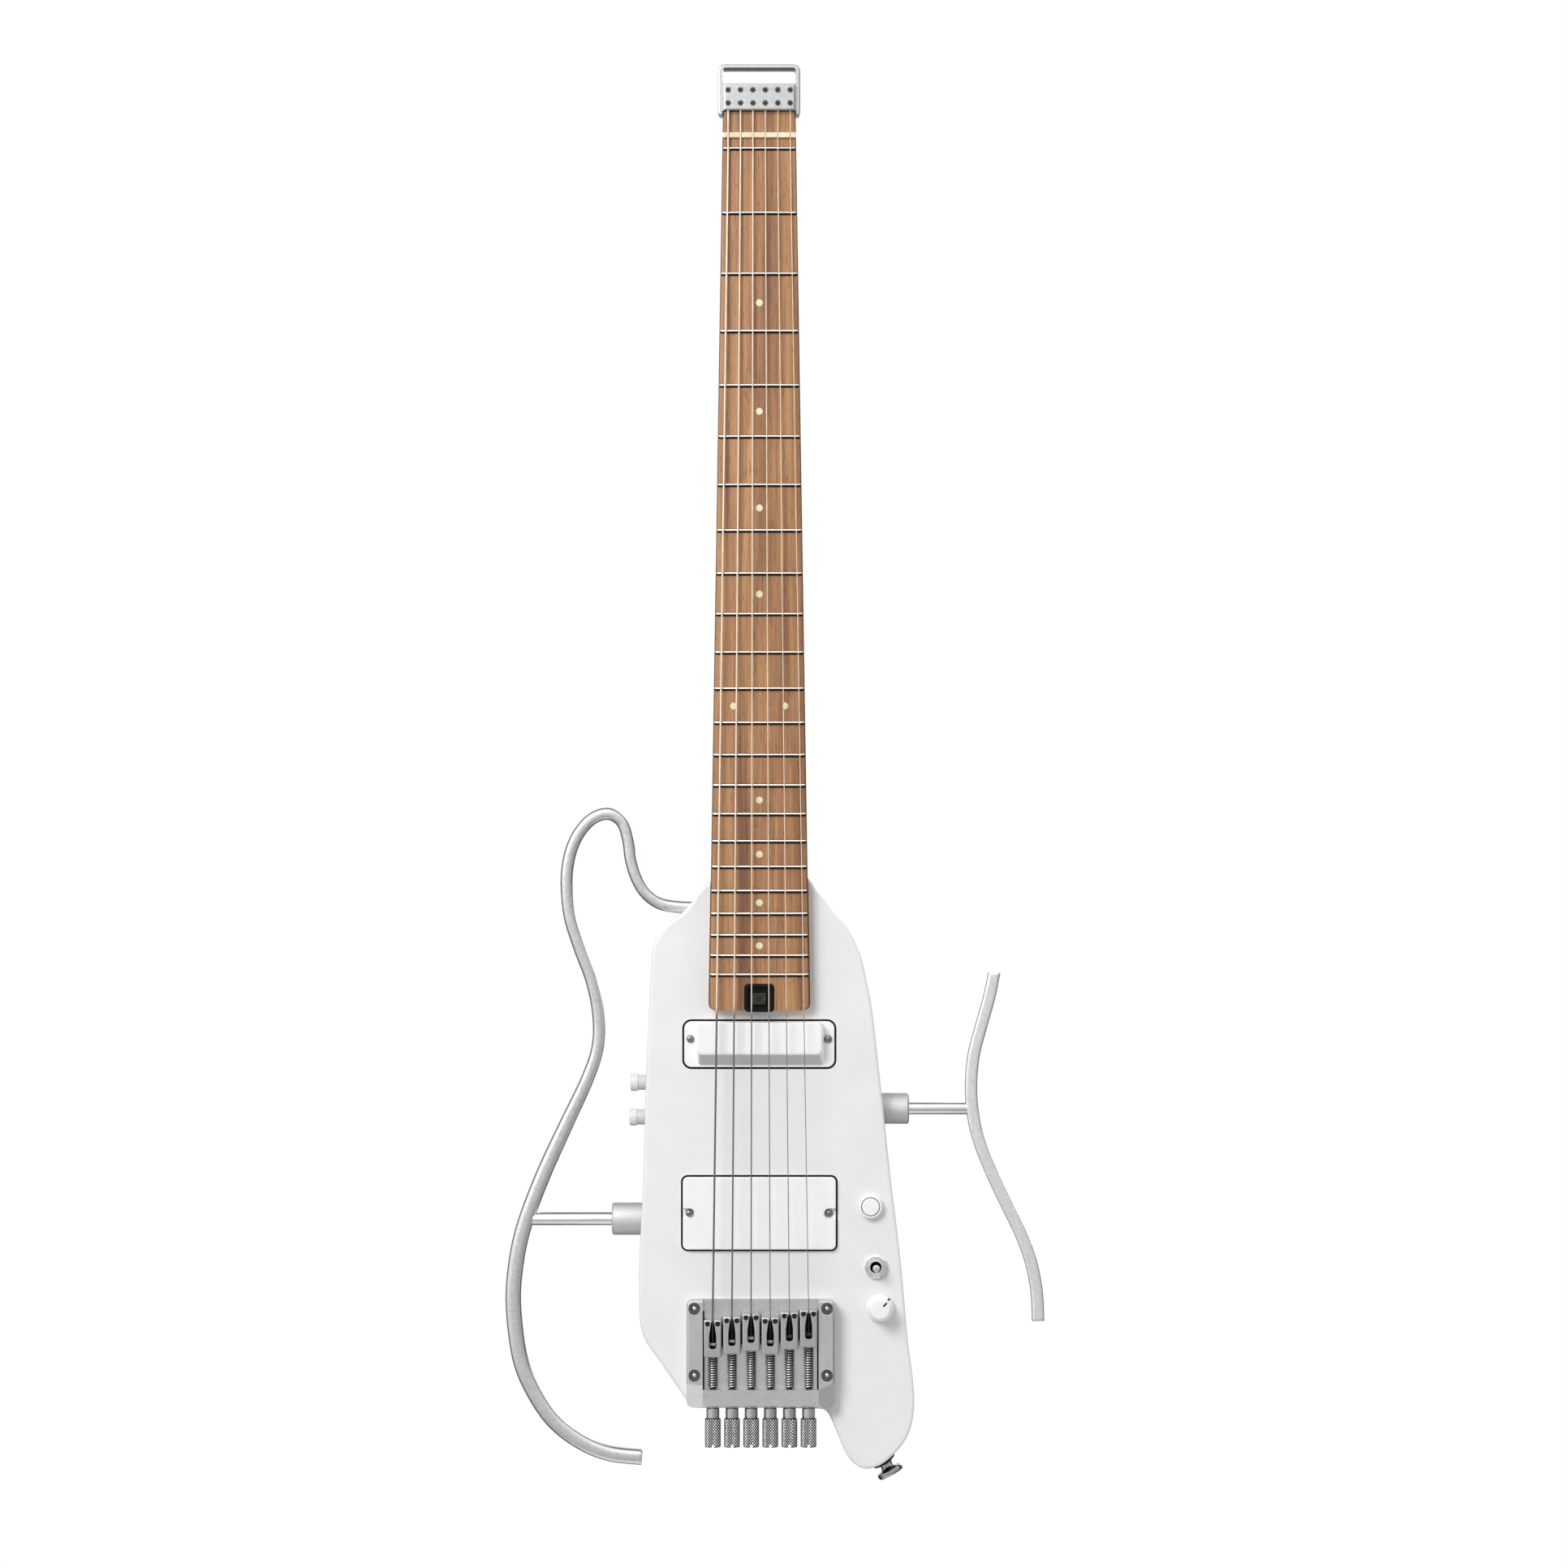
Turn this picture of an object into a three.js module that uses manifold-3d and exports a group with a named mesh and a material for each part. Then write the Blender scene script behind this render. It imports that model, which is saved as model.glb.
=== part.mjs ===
// Skeleton frame guitar: a headless six-string electric guitar that packs small. A slim body
// carries the neck, two pickups and a bridge with its tuners at the tail, and two bent aluminium
// bars on slide-out rods stand in for the wings of a full-size body.
//
// Axes: +X to the treble side, +Y from the playing side to the back, +Z up along the neck.
// Origin: under the top bar of the head loop, where the guitar hangs on a hook.
// Every length is in millimetres.

import * as THREE from 'three';
import { mergeVertices } from 'three/addons/utils/BufferGeometryUtils.js';
import Module from 'manifold-3d';

const wasm = await Module();
wasm.setup();

// Fits that many pieces share
const clearance = 0.3;
const overrun = 2;
const weldDistance = 1e-4;

// Scale and frets
const scaleLength = 647.7;
const fretCount = 22;
const semitonesPerOctave = 12;
const fretWidth = 2.3;
const fretHeight = 1.1;
const fretSink = 0.4;
const fretEndInset = 0.6;
const fretSteps = 3;
const fretProfileShares = [[-1, 0], [-1, 0.35], [-0.5, 1], [0.5, 1], [1, 0.35], [1, 0]];

// Head piece: a bail whose top bar hangs on a hook, a block that clamps the strings, and two arms
// beside the end of the fretboard
const headWidth = 46.4;
const headDepth = 14;
const loopBarHeight = 4.3;
const loopOpeningHeight = 7;
const loopSideWidth = 2.6;
const loopCornerRadius = 3;
const loopInnerRadius = 1.6;
const clampBlockHeight = 14.9;
const clampBlockWidth = 40.7;
const clampBlockProud = 3.5;
const headArmHeight = 3.9;
const blockEdge = 0.8;
const grubScrewRadius = 1.75;
const grubScrewDepth = 2.4;
const grubRowInset = 3.5;
const stringBoreDepth = 10;
const neckTongueWidth = 30;
const neckTongueThickness = 5;
const neckTongueLength = 12;
const neckTongueY = 3.5;

// Fretboard and nut
const fretboardWidthAtNut = 41.4;
const fretboardWidthAtEnd = 57;
const fretboardThickness = 6;
const fretboardRadius = 305;
const fretboardBeforeNut = 11.9;
const fretboardPastLastFret = 19.9;
const fretboardCornerRadius = 4.3;
const fretboardCamberSteps = 5;
const nutThickness = 3;
const nutSeatDepth = 3;
const nutProud = 2.2;
const nutToZeroFret = 6.1;

// Neck wood and the truss rod in it
const neckDepthAtNut = 14;
const neckDepthAtHeel = 17.5;
const neckPocketDepth = 16;
const neckPocketLength = 75;
const neckRoundness = 2.3;
const heelSquareness = 12;
const neckSectionSteps = 12;
const neckStationShares = [0, 0.06, 0.42, 0.79, 0.805, 0.82, 0.84, 1];
const heelStartShare = 0.79;
const heelEndShare = 0.84;
const trussRodWidth = 6;
const trussRodDepth = 8;
const trussRodStartBelowNut = 10;
const trussCoverWidth = 16.9;
const trussCoverHeight = 15.8;
const trussCoverRadius = 2.3;
const trussCoverOverhang = 0.9;
const trussCoverProud = 0.3;
const trussTrayRim = 1.8;
const trussTrayDepth = 2.6;
const trussWheelRadius = 3.4;
const trussNutWidth = 8;
const trussNutHeight = 6.7;
const trussNutDrop = 0.6;
const trussSocketRadius = 1.7;
const trussSocketDepth = 2;

// Body
const bodyWidth = 156;
const bodyLength = 335;
const bodyThickness = 42;
const bodyEdgeRadius = 4;
const fretboardAboveBody = 9;
const bodyCurveStep = 9;
const bodyLeftShares = [
  [-0.180, 0.007], [-0.219, 0.022], [-0.246, 0.043], [-0.282, 0.062], [-0.329, 0.077],
  [-0.368, 0.099], [-0.388, 0.124], [-0.396, 0.190], [-0.411, 0.337], [-0.422, 0.520],
  [-0.435, 0.638], [-0.436, 0.712], [-0.431, 0.756], [-0.413, 0.783], [-0.360, 0.818],
  [-0.266, 0.882], [-0.246, 0.894],
];
const bodyRightShares = [
  [0.237, 0.898], [0.249, 0.904], [0.282, 0.938], [0.312, 0.972], [0.345, 0.991],
  [0.384, 1.000], [0.441, 0.993], [0.490, 0.974], [0.526, 0.954], [0.551, 0.928],
  [0.562, 0.890], [0.555, 0.839], [0.539, 0.784], [0.512, 0.646], [0.476, 0.506],
  [0.441, 0.355], [0.410, 0.227], [0.386, 0.168], [0.370, 0.135], [0.347, 0.109],
  [0.315, 0.081], [0.268, 0.059], [0.229, 0.033], [0.201, 0.018], [0.182, 0],
];

// Electronics bay in the back with two deeper wells, its cover and the circuit board
const bayDepth = 12;
const bayCornerRadius = 8;
const bayLedge = 3;
const backCoverThickness = 2.5;
const bayOutlineShares = [
  [-0.330, 0.300], [0.376, 0.300], [0.510, 0.880], [0.300, 0.880], [0.260, 0.790], [-0.330, 0.740],
];
const wellWall = 6;
const wellCornerRadius = 4;
const leftWellOutlineShares = [[-0.328, 0.315], [-0.200, 0.315], [-0.200, 0.445], [-0.328, 0.445]];
const leftWellReach = 10;
const rightWellOutlineShares = [[0.310, 0.500], [0.420, 0.500], [0.505, 0.875], [0.310, 0.875]];
const circuitThickness = 1.6;
const circuitOutlineShares = [
  [-0.310, 0.320], [0.350, 0.320], [0.450, 0.760], [0.290, 0.760], [-0.310, 0.700],
];
const potRadius = 4.6;
const potLength = 9;
const legRadius = 1.5;
const tactRadius = 3;

// Strings: plain trebles and wound basses, bass side first
const stringDiameters = [1.17, 0.91, 0.66, 0.43, 0.33, 0.25];
const stringPitchAtNut = 7;
const stringSides = 6;
const actionAtSaddle = 4.3;
const ballRadius = 1.6;
const ballLength = 3.6;
const ballShoulder = 0.3;
const ballDrop = 2.4;

// Neck pickup: a white moulded cover with a raised, sloping top, and the coil under it
const pickupGap = 0.8;
const pickupFlangeThickness = 3.7;
const neckPickupBelowBoard = 5.4;
const neckPickupWidth = 87.2;
const neckPickupHeight = 28.2;
const neckPickupCornerRadius = 4.1;
const neckPickupRise = 7.6;
const neckCoverTopWidth = 70.5;
const neckCoverTopHeight = 17.7;
const neckCoverTopInset = 1.6;
const neckCoverSlope = 6.9;
const neckCoverSideSlope = 1.6;
const neckCoverCornerRadius = 3;
const neckCoverEdge = 0.5;
const coilWidth = 66;
const neckCoilHeight = 17;
const bridgeCoilHeight = 30;
const coilDepth = 7;
const cavityDepth = 15;
const pickupScrewInset = 4.7;
const pickupScrewHeadRadius = 2;
const pickupScrewHeadHeight = 1.4;
const pickupScrewRadius = 1.1;
const pickupScrewLength = 13;
const neckPickupScrewRise = 3;

// Bridge pickup: a low white cover with a notch at each side for its screw
const bridgePickupScaleShare = 0.9277;
const bridgePickupWidth = 88.3;
const bridgePickupHeight = 42.8;
const bridgePickupCornerRadius = 3.7;
const bridgePickupProud = 3;
const bridgePickupEdge = 0.6;
const notchRadius = 3;

// Bridge: a milled tray with two rails and a rear wall
const bridgeWidth = 83.8;
const bridgeOffsetX = 0.8;
const bridgeHeight = 60.7;
const bridgeBelowScaleEnd = 1.5;
const bridgeBaseThickness = 3;
const bridgeRailHeight = 10.5;
const bridgeRailWidth = 9.2;
const bridgeWallThickness = 10.2;
const bridgeCornerRadius = 3.4;
const bridgeEdge = 0.6;
const bridgeFacetDrop = 4;
const bridgeScrewInsetX = 4.5;
const bridgeScrewInsetTop = 4.7;
const bridgeScrewSpan = 37.7;
const bridgeScrewHeadRadius = 3;
const bridgeScrewHeadHeight = 3;
const bridgeScrewHeadSink = 0.4;
const bridgeScrewRadius = 1.6;
const bridgeScrewLength = 24;
const hexSocketRadius = 1.5;
const hexSocketDepth = 1.6;

// Saddles: blocks that the tuner screws draw towards the tail
const saddlePitch = 10.8;
const saddleWidth = 9.9;
const saddleLength = 20.9;
const saddleCrownAboveString = 0.5;
const saddleSetback = 6.6;
const saddleStagger = 5.6;
const saddleStaggerShares = [1, 0.68, 0.375, 0.73, 0.21, 0];
const saddleSlotTopWidth = 1.9;
const saddleSlotWidth = 4.1;
const saddleSlotStart = 1.5;
const saddleSlotTaper = 7.5;
const saddleSlotLength = 14.6;
const saddleSlotDepth = 5.9;
const saddleScrewRadius = 1.3;
const saddleScrewDepth = 2.5;
const saddleScrewInset = 2.1;

// Saddle springs: one wire each, a straight end at both sides
const springWire = 0.7;
const springDiameter = 5.4;
const springTurns = 11;
const springStepsPerTurn = 8;
const springSides = 5;

// Tuners: a knurled knob and its screw
const tunerScrewRadius = 1.5;
const tunerScrewReach = 7;
const tunerScrewTravel = 5;
const tunerAxisAboveBase = 3;
const tunerCollarRadius = 3.65;
const tunerCollarLength = 6;
const tunerKnobRadius = 4.5;
const tunerKnobLength = 16.1;
const tunerKnobEdge = 0.7;
const tunerSlotWidth = 1.4;
const tunerSlotDepth = 1.6;

// Controls on the front: a push button, a toggle switch and the volume knob
const buttonPlaceShares = [0.403, 0.556];
const buttonRadius = 5.2;
const buttonProud = 4.6;
const buttonThickness = 2;
const buttonStemRadius = 2;
const buttonRoom = 1.5;
const bezelRadius = 6.9;
const bezelProud = 4;
const bezelGap = 0.4;
const bezelFloor = 0.9;
const togglePlaceShares = [0.422, 0.658];
const toggleNutAcross = 12.6;
const toggleNutThickness = 2.6;
const toggleBushingRadius = 4.6;
const toggleBushingProud = 1.2;
const toggleBoreRadius = 3.5;
const toggleCaseWidth = 8;
const toggleCaseHeight = 12;
const toggleCaseDepth = 9;
const toggleLeverRadius = 1.2;
const toggleTipRadius = 1.8;
const toggleLeverLength = 15;
const volumePlaceShares = [0.437, 0.727];
const volumeSkirtRadius = 7.8;
const volumeSkirtHeight = 4.5;
const volumeCapRadius = 6;
const volumeCapHeight = 12;
const volumeShaftRadius = 3;
const knobEdge = 0.8;

// Two small knobs on the bass side, and the output socket in the treble side of the lower lobe
const sideKnobZShares = [0.350, 0.409];
const sideKnobRadius = 4.9;
const sideKnobCapLength = 4.2;
const sideKnobNeckRadius = 4.3;
const sideKnobLength = 8.8;
const sideShaftRadius = 2;
const jackZShare = 0.84;
const jackFlangeRadius = 8;
const jackFlangeThickness = 1.6;
const jackBarrelRadius = 4.8;
const jackBoreRadius = 3.2;
const jackBoreDepth = 26;
const jackEndThickness = 2;

// Strap button and its felt washer on the lower right lobe
const strapPlaceShares = [0.448, 0.987];
const strapTilt = THREE.MathUtils.degToRad(29);
const strapWasherRadius = 6.1;
const strapWasherThickness = 1.5;
const strapPostRadius = 3.6;
const strapFlangeRadius = 7.6;
const strapHeight = 8.6;
const strapFlangeThickness = 2.6;
const strapDish = 1.4;
const strapScrewRadius = 2;
const strapScrewLength = 20;

// Frame bars: bent flat bars, each on one rod with a locking collar
const barDepth = 9;
const barUpperWidth = 6.7;
const barLowerWidth = 8.4;
const barEdge = 1.6;
const leftBarSteps = 42;
const rightBarSteps = 21;
const leftBarTopAboveBody = 35.7;
const leftBarHeight = 366.3;
const leftBarWidth = 108.9;
const leftBarInsert = 10;
const leftBarWideningShares = [0.42, 0.62];
const leftBarRouteShares = [
  [1.000, 0.146], [0.860, 0.145], [0.763, 0.139], [0.691, 0.123], [0.644, 0.100],
  [0.614, 0.071], [0.600, 0.041], [0.568, 0.013], [0.496, 0.000], [0.411, 0.008],
  [0.339, 0.032], [0.294, 0.065], [0.278, 0.106], [0.294, 0.159], [0.347, 0.210],
  [0.409, 0.260], [0.443, 0.311], [0.441, 0.361], [0.388, 0.411], [0.269, 0.487],
  [0.153, 0.563], [0.055, 0.641], [0.011, 0.704], [0.000, 0.764], [0.030, 0.840],
  [0.091, 0.890], [0.203, 0.941], [0.347, 0.975], [0.500, 0.994], [0.672, 1.000],
];
const rightBarTopBelowBody = 54.6;
const rightBarHeight = 198.4;
const rightBarWidth = 38.2;
const rightBarBesideCollar = 35.4;
const rightBarRouteShares = [
  [0.347, 0.000], [0.262, 0.077], [0.141, 0.160], [0.033, 0.244], [0.000, 0.340],
  [0.045, 0.426], [0.141, 0.495], [0.317, 0.579], [0.522, 0.663], [0.734, 0.747],
  [0.891, 0.830], [0.976, 0.914], [1.000, 1.000],
];
const rodInsert = 28;
const rodSpigotRadius = 2.2;
const leftRodZShare = 0.582;
const leftRodRadius = 3.7;
const leftCollarRadius = 9.2;
const leftCollarLength = 18.2;
const rightRodZShare = 0.3945;
const rightRodRadius = 3.4;
const rightCollarRadius = 8.8;
const rightCollarLength = 16;
const collarEdge = 0.9;
const collarSeatDepth = 1.5;

// How finely round pieces are cut
const finePieceSides = 15;
const smallPieceSides = 10;
const holeSides = 8;
const hexSides = 6;
const cornerSteps = 3;

// Finishes
const finishes = {
  white_lacquer: { color: 0xf0f1f1, roughness: 0.5, metalness: 0 },
  white_plastic: { color: 0xf2f2ef, roughness: 0.35, metalness: 0 },
  roasted_maple: { color: 0xa97c56, roughness: 0.55, metalness: 0 },
  neck_maple: { color: 0xc79a6b, roughness: 0.5, metalness: 0 },
  nut_bone: { color: 0xeadfc0, roughness: 0.4, metalness: 0 },
  satin_aluminium: { color: 0xb9babb, roughness: 0.4, metalness: 1 },
  steel: { color: 0x9a9a98, roughness: 0.3, metalness: 1 },
  black_plastic: { color: 0x151515, roughness: 0.5, metalness: 0 },
  black_felt: { color: 0x111111, roughness: 1, metalness: 0 },
  circuit_green: { color: 0x1d5a36, roughness: 0.6, metalness: 0 },
};

// Levels along Y, the depth
const fretboardBackY = 0;
const fretboardFrontY = fretboardBackY - fretboardThickness;
const bodyFrontY = fretboardFrontY + fretboardAboveBody;
const bodyBackY = bodyFrontY + bodyThickness;
const bodyMiddleY = (bodyFrontY + bodyBackY) / 2;
const headFrontY = -headDepth / 2;
const clampFrontY = headFrontY - clampBlockProud;
const fretTopY = fretboardFrontY - fretHeight;

// Levels along Z, from the head loop down to the tail
const clampTopZ = -loopOpeningHeight;
const clampBottomZ = clampTopZ - clampBlockHeight;
const headBottomZ = clampBottomZ - headArmHeight;
const fretboardTopZ = clampBottomZ - clearance;
const neckTopZ = headBottomZ - clearance;
const nutTopZ = fretboardTopZ - fretboardBeforeNut;
const nutBottomZ = nutTopZ - nutThickness;
const zeroFretZ = nutBottomZ - nutToZeroFret;
const scaleEndZ = zeroFretZ - scaleLength;
const fretboardEndZ = fretZ(fretCount) - fretboardPastLastFret;
const bodyTopZ = fretboardEndZ + neckPocketLength;
const neckPickupZ = fretboardEndZ - neckPickupBelowBoard - neckPickupHeight / 2;
const bridgePickupZ = zeroFretZ - scaleLength * bridgePickupScaleShare;
const bridgeTopZ = scaleEndZ - bridgeBelowScaleEnd;
const bridgeBottomZ = bridgeTopZ - bridgeHeight;
const bridgeWallZ = bridgeBottomZ + bridgeWallThickness;
const bridgeBaseY = bodyFrontY - bridgeBaseThickness;
const bridgeFrontY = bodyFrontY - bridgeRailHeight;
const tunerAxisY = bridgeBaseY - tunerAxisAboveBase;

// Distance rule of the frets: each fret cuts the rest of the string by the twelfth root of two.
function fretZ(number) {
  return zeroFretZ - scaleLength * (1 - 2 ** (-number / semitonesPerOctave));
}

// A place on the body, from its shares of the body's width and length.
function onBody([xShare, zShare]) {
  return new THREE.Vector2(xShare * bodyWidth, bodyTopZ - zShare * bodyLength);
}

function fretboardWidthAt(z) {
  const share = (nutTopZ - z) / (nutTopZ - fretboardEndZ);
  return fretboardWidthAtNut + (fretboardWidthAtEnd - fretboardWidthAtNut) * share;
}

// The playing face is a slice of a wide cylinder, so it falls away towards both edges.
function fretboardFaceY(x) {
  return fretboardFrontY + fretboardRadius - Math.sqrt(fretboardRadius ** 2 - x ** 2);
}

// Solids: a closed geometry becomes a solid that can be joined and cut, and turns back again.
function solid(geometry) {
  const bare = geometry.clone();
  bare.deleteAttribute('normal');
  bare.deleteAttribute('uv');
  const welded = mergeVertices(bare, weldDistance);
  const places = welded.getAttribute('position');
  const corner = (index) => new THREE.Vector3().fromBufferAttribute(places, index);
  const triangles = [];
  let volume = 0;
  for (let i = 0; i < welded.index.count; i += 3) {
    const [a, b, c] = [i, i + 1, i + 2].map((k) => welded.index.getX(k));
    if (a !== b && b !== c && c !== a) {
      triangles.push(a, b, c);
      volume += corner(a).dot(corner(b).cross(corner(c)));
    }
  }
  if (volume < 0) triangles.reverse();
  const mesh = new wasm.Mesh({
    numProp: 3,
    vertProperties: Float32Array.from(places.array),
    triVerts: Uint32Array.from(triangles),
  });
  mesh.merge();
  return new wasm.Manifold(mesh);
}

function joined(first, ...others) {
  return others.reduce((sum, other) => sum.add(other), first);
}

function cut(first, ...others) {
  return others.reduce((rest, other) => rest.subtract(other), first);
}

const guitar = new THREE.Group();
guitar.name = 'skeleton_frame_guitar';

function addPiece(name, shape, finish) {
  const { vertProperties, triVerts } = shape.getMesh();
  const geometry = new THREE.BufferGeometry();
  geometry.setAttribute('position', new THREE.BufferAttribute(Float32Array.from(vertProperties), 3));
  geometry.setIndex(new THREE.BufferAttribute(Uint32Array.from(triVerts), 1));
  geometry.computeVertexNormals();
  const mesh = new THREE.Mesh(geometry, new THREE.MeshStandardMaterial(finishes[finish]));
  mesh.name = name;
  guitar.add(mesh);
}

// Shapes that several pieces use
function roundedOutline(points, radius) {
  const shape = new THREE.Shape();
  const count = points.length;
  points.forEach((point, i) => {
    const before = points[(i + count - 1) % count];
    const after = points[(i + 1) % count];
    const start = point.clone().add(before.clone().sub(point).setLength(radius));
    const end = point.clone().add(after.clone().sub(point).setLength(radius));
    if (i === 0) shape.moveTo(start.x, start.y);
    else shape.lineTo(start.x, start.y);
    shape.quadraticCurveTo(point.x, point.y, end.x, end.y);
  });
  shape.closePath();
  return shape;
}

function rectangleCorners(width, height, x, z) {
  const [left, right] = [x - width / 2, x + width / 2];
  const [bottom, top] = [z - height / 2, z + height / 2];
  const corners = [[left, bottom], [right, bottom], [right, top], [left, top]];
  return corners.map(([cornerX, cornerZ]) => new THREE.Vector2(cornerX, cornerZ));
}

function roundedRectangle(width, height, radius, x = 0, z = 0) {
  return roundedOutline(rectangleCorners(width, height, x, z), radius);
}

// A plate drawn in X and Z that lies between two depths, with a bevel of its own on both faces.
function plate(shape, frontY, backY, edge = 0, steps = cornerSteps, edgeSteps = 1) {
  const geometry = new THREE.ExtrudeGeometry(shape, {
    depth: backY - frontY - 2 * edge,
    bevelEnabled: edge > 0,
    bevelThickness: edge,
    bevelSize: edge,
    bevelOffset: -edge,
    bevelSegments: edgeSteps,
    curveSegments: steps,
  });
  geometry.rotateX(Math.PI / 2);
  geometry.translate(0, backY - edge, 0);
  return solid(geometry);
}

function box(low, high) {
  const size = new THREE.Vector3().subVectors(high, low);
  const middle = new THREE.Vector3().addVectors(low, high).divideScalar(2);
  const geometry = new THREE.BoxGeometry(size.x, size.y, size.z);
  geometry.translate(middle.x, middle.y, middle.z);
  return solid(geometry);
}

function span(lowX, highX, lowY, highY, lowZ, highZ) {
  return box(new THREE.Vector3(lowX, lowY, lowZ), new THREE.Vector3(highX, highY, highZ));
}

// A turned piece: its profile is [radius, height] pairs, and its axis is any direction.
function turned(profile, origin, direction, sides = finePieceSides) {
  const points = profile.map(([radius, height]) => new THREE.Vector2(radius, height));
  const geometry = new THREE.LatheGeometry(points, sides);
  const turn = new THREE.Quaternion().setFromUnitVectors(new THREE.Vector3(0, 1, 0), direction);
  geometry.applyQuaternion(turn);
  geometry.translate(origin.x, origin.y, origin.z);
  return solid(geometry);
}

function rod(radius, start, end, sides = finePieceSides) {
  const direction = new THREE.Vector3().subVectors(end, start);
  const length = direction.length();
  return turned([[0, 0], [radius, 0], [radius, length], [0, length]], start, direction.normalize(), sides);
}

const toFront = new THREE.Vector3(0, -1, 0);
const toBack = new THREE.Vector3(0, 1, 0);
const toTail = new THREE.Vector3(0, 0, -1);
const toTreble = new THREE.Vector3(1, 0, 0);
const toBass = new THREE.Vector3(-1, 0, 0);

// A hole's flats lie outside the circle of its radius, so that a round piece of that radius passes.
function bored(radius, start, end, sides = holeSides) {
  return rod(radius / Math.cos(Math.PI / sides), start, end, sides);
}

function hole(radius, x, z, frontY, backY, sides = holeSides) {
  return bored(radius, new THREE.Vector3(x, backY, z), new THREE.Vector3(x, frontY, z), sides);
}

function pin(radius, x, z, frontY, backY, sides = smallPieceSides) {
  return rod(radius, new THREE.Vector3(x, backY, z), new THREE.Vector3(x, frontY, z), sides);
}

// Closed skin over rings of equally many points. Each end ring is closed by a fan from its middle.
function loft(rings) {
  const count = rings[0].length;
  const points = rings.flat();
  const triangles = [];
  rings.slice(1).forEach((ring, i) => {
    ring.forEach((point, k) => {
      const [a, b] = [i * count + k, i * count + (k + 1) % count];
      triangles.push(a, b, b + count, a, b + count, a + count);
    });
  });
  [rings[0], rings.at(-1)].forEach((ring, end) => {
    const middle = ring.reduce((sum, point) => sum.add(point), new THREE.Vector3()).divideScalar(count);
    const first = end === 0 ? 0 : (rings.length - 1) * count;
    points.push(middle);
    ring.forEach((point, k) => {
      const pair = [first + k, first + (k + 1) % count];
      if (end === 0) pair.reverse();
      triangles.push(pair[0], pair[1], points.length - 1);
    });
  });
  const geometry = new THREE.BufferGeometry().setFromPoints(points);
  geometry.setIndex(triangles);
  return solid(geometry);
}

function ringAround(centre, firstSide, secondSide, sides) {
  return Array.from({ length: sides }, (_, k) => {
    const angle = (2 * Math.PI * k) / sides;
    return centre.clone()
      .addScaledVector(firstSide, Math.cos(angle))
      .addScaledVector(secondSide, Math.sin(angle));
  });
}

// Body outline, and where its two sides lie at a height
const bodyLeft = new THREE.SplineCurve(bodyLeftShares.map(onBody));
const bodyRight = new THREE.SplineCurve(bodyRightShares.map(onBody));

function bodyOutline() {
  return new THREE.Shape([bodyLeft, bodyRight].flatMap((side) => (
    side.getSpacedPoints(Math.round(side.getLength() / bodyCurveStep))
  )));
}

function sideX(curve, z) {
  const points = curve.getPoints(curve.points.length * cornerSteps ** 2);
  const crossings = points.slice(1).flatMap((point, i) => {
    const share = (z - points[i].y) / (point.y - points[i].y);
    return share >= 0 && share <= 1 ? [points[i].x + (point.x - points[i].x) * share] : [];
  });
  return crossings.reduce((best, x) => (Math.abs(x) > Math.abs(best) ? x : best), 0);
}

// Strings lie in a fan: one pitch at the nut, a wider one at the saddles
function nutStringX(index) {
  return (index - (stringDiameters.length - 1) / 2) * stringPitchAtNut;
}

function saddleX(index) {
  return bridgeOffsetX + (index - (stringDiameters.length - 1) / 2) * saddlePitch;
}

function saddleTopZ(index) {
  return scaleEndZ - saddleSetback - saddleStagger * saddleStaggerShares[index];
}

// Depth of a string over the zero fret, and over its saddle where the whole action is added.
function stringY(index, actionShare = 0) {
  return fretTopY - clearance - stringDiameters[index] / 2 - actionAtSaddle * actionShare;
}

// Head piece
const tongueFrontY = neckTongueY - neckTongueThickness / 2;
const tongueBackY = neckTongueY + neckTongueThickness / 2;
const tongueTopZ = neckTopZ + neckTongueLength;
const stringClampY = fretTopY - clearance - Math.max(...stringDiameters) / 2;

function prismAcross(profile, width, x = 0) {
  const rings = [x - width / 2, x + width / 2].map((place) => (
    profile.map(([y, z]) => new THREE.Vector3(place, y, z))
  ));
  return loft(rings);
}

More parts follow.
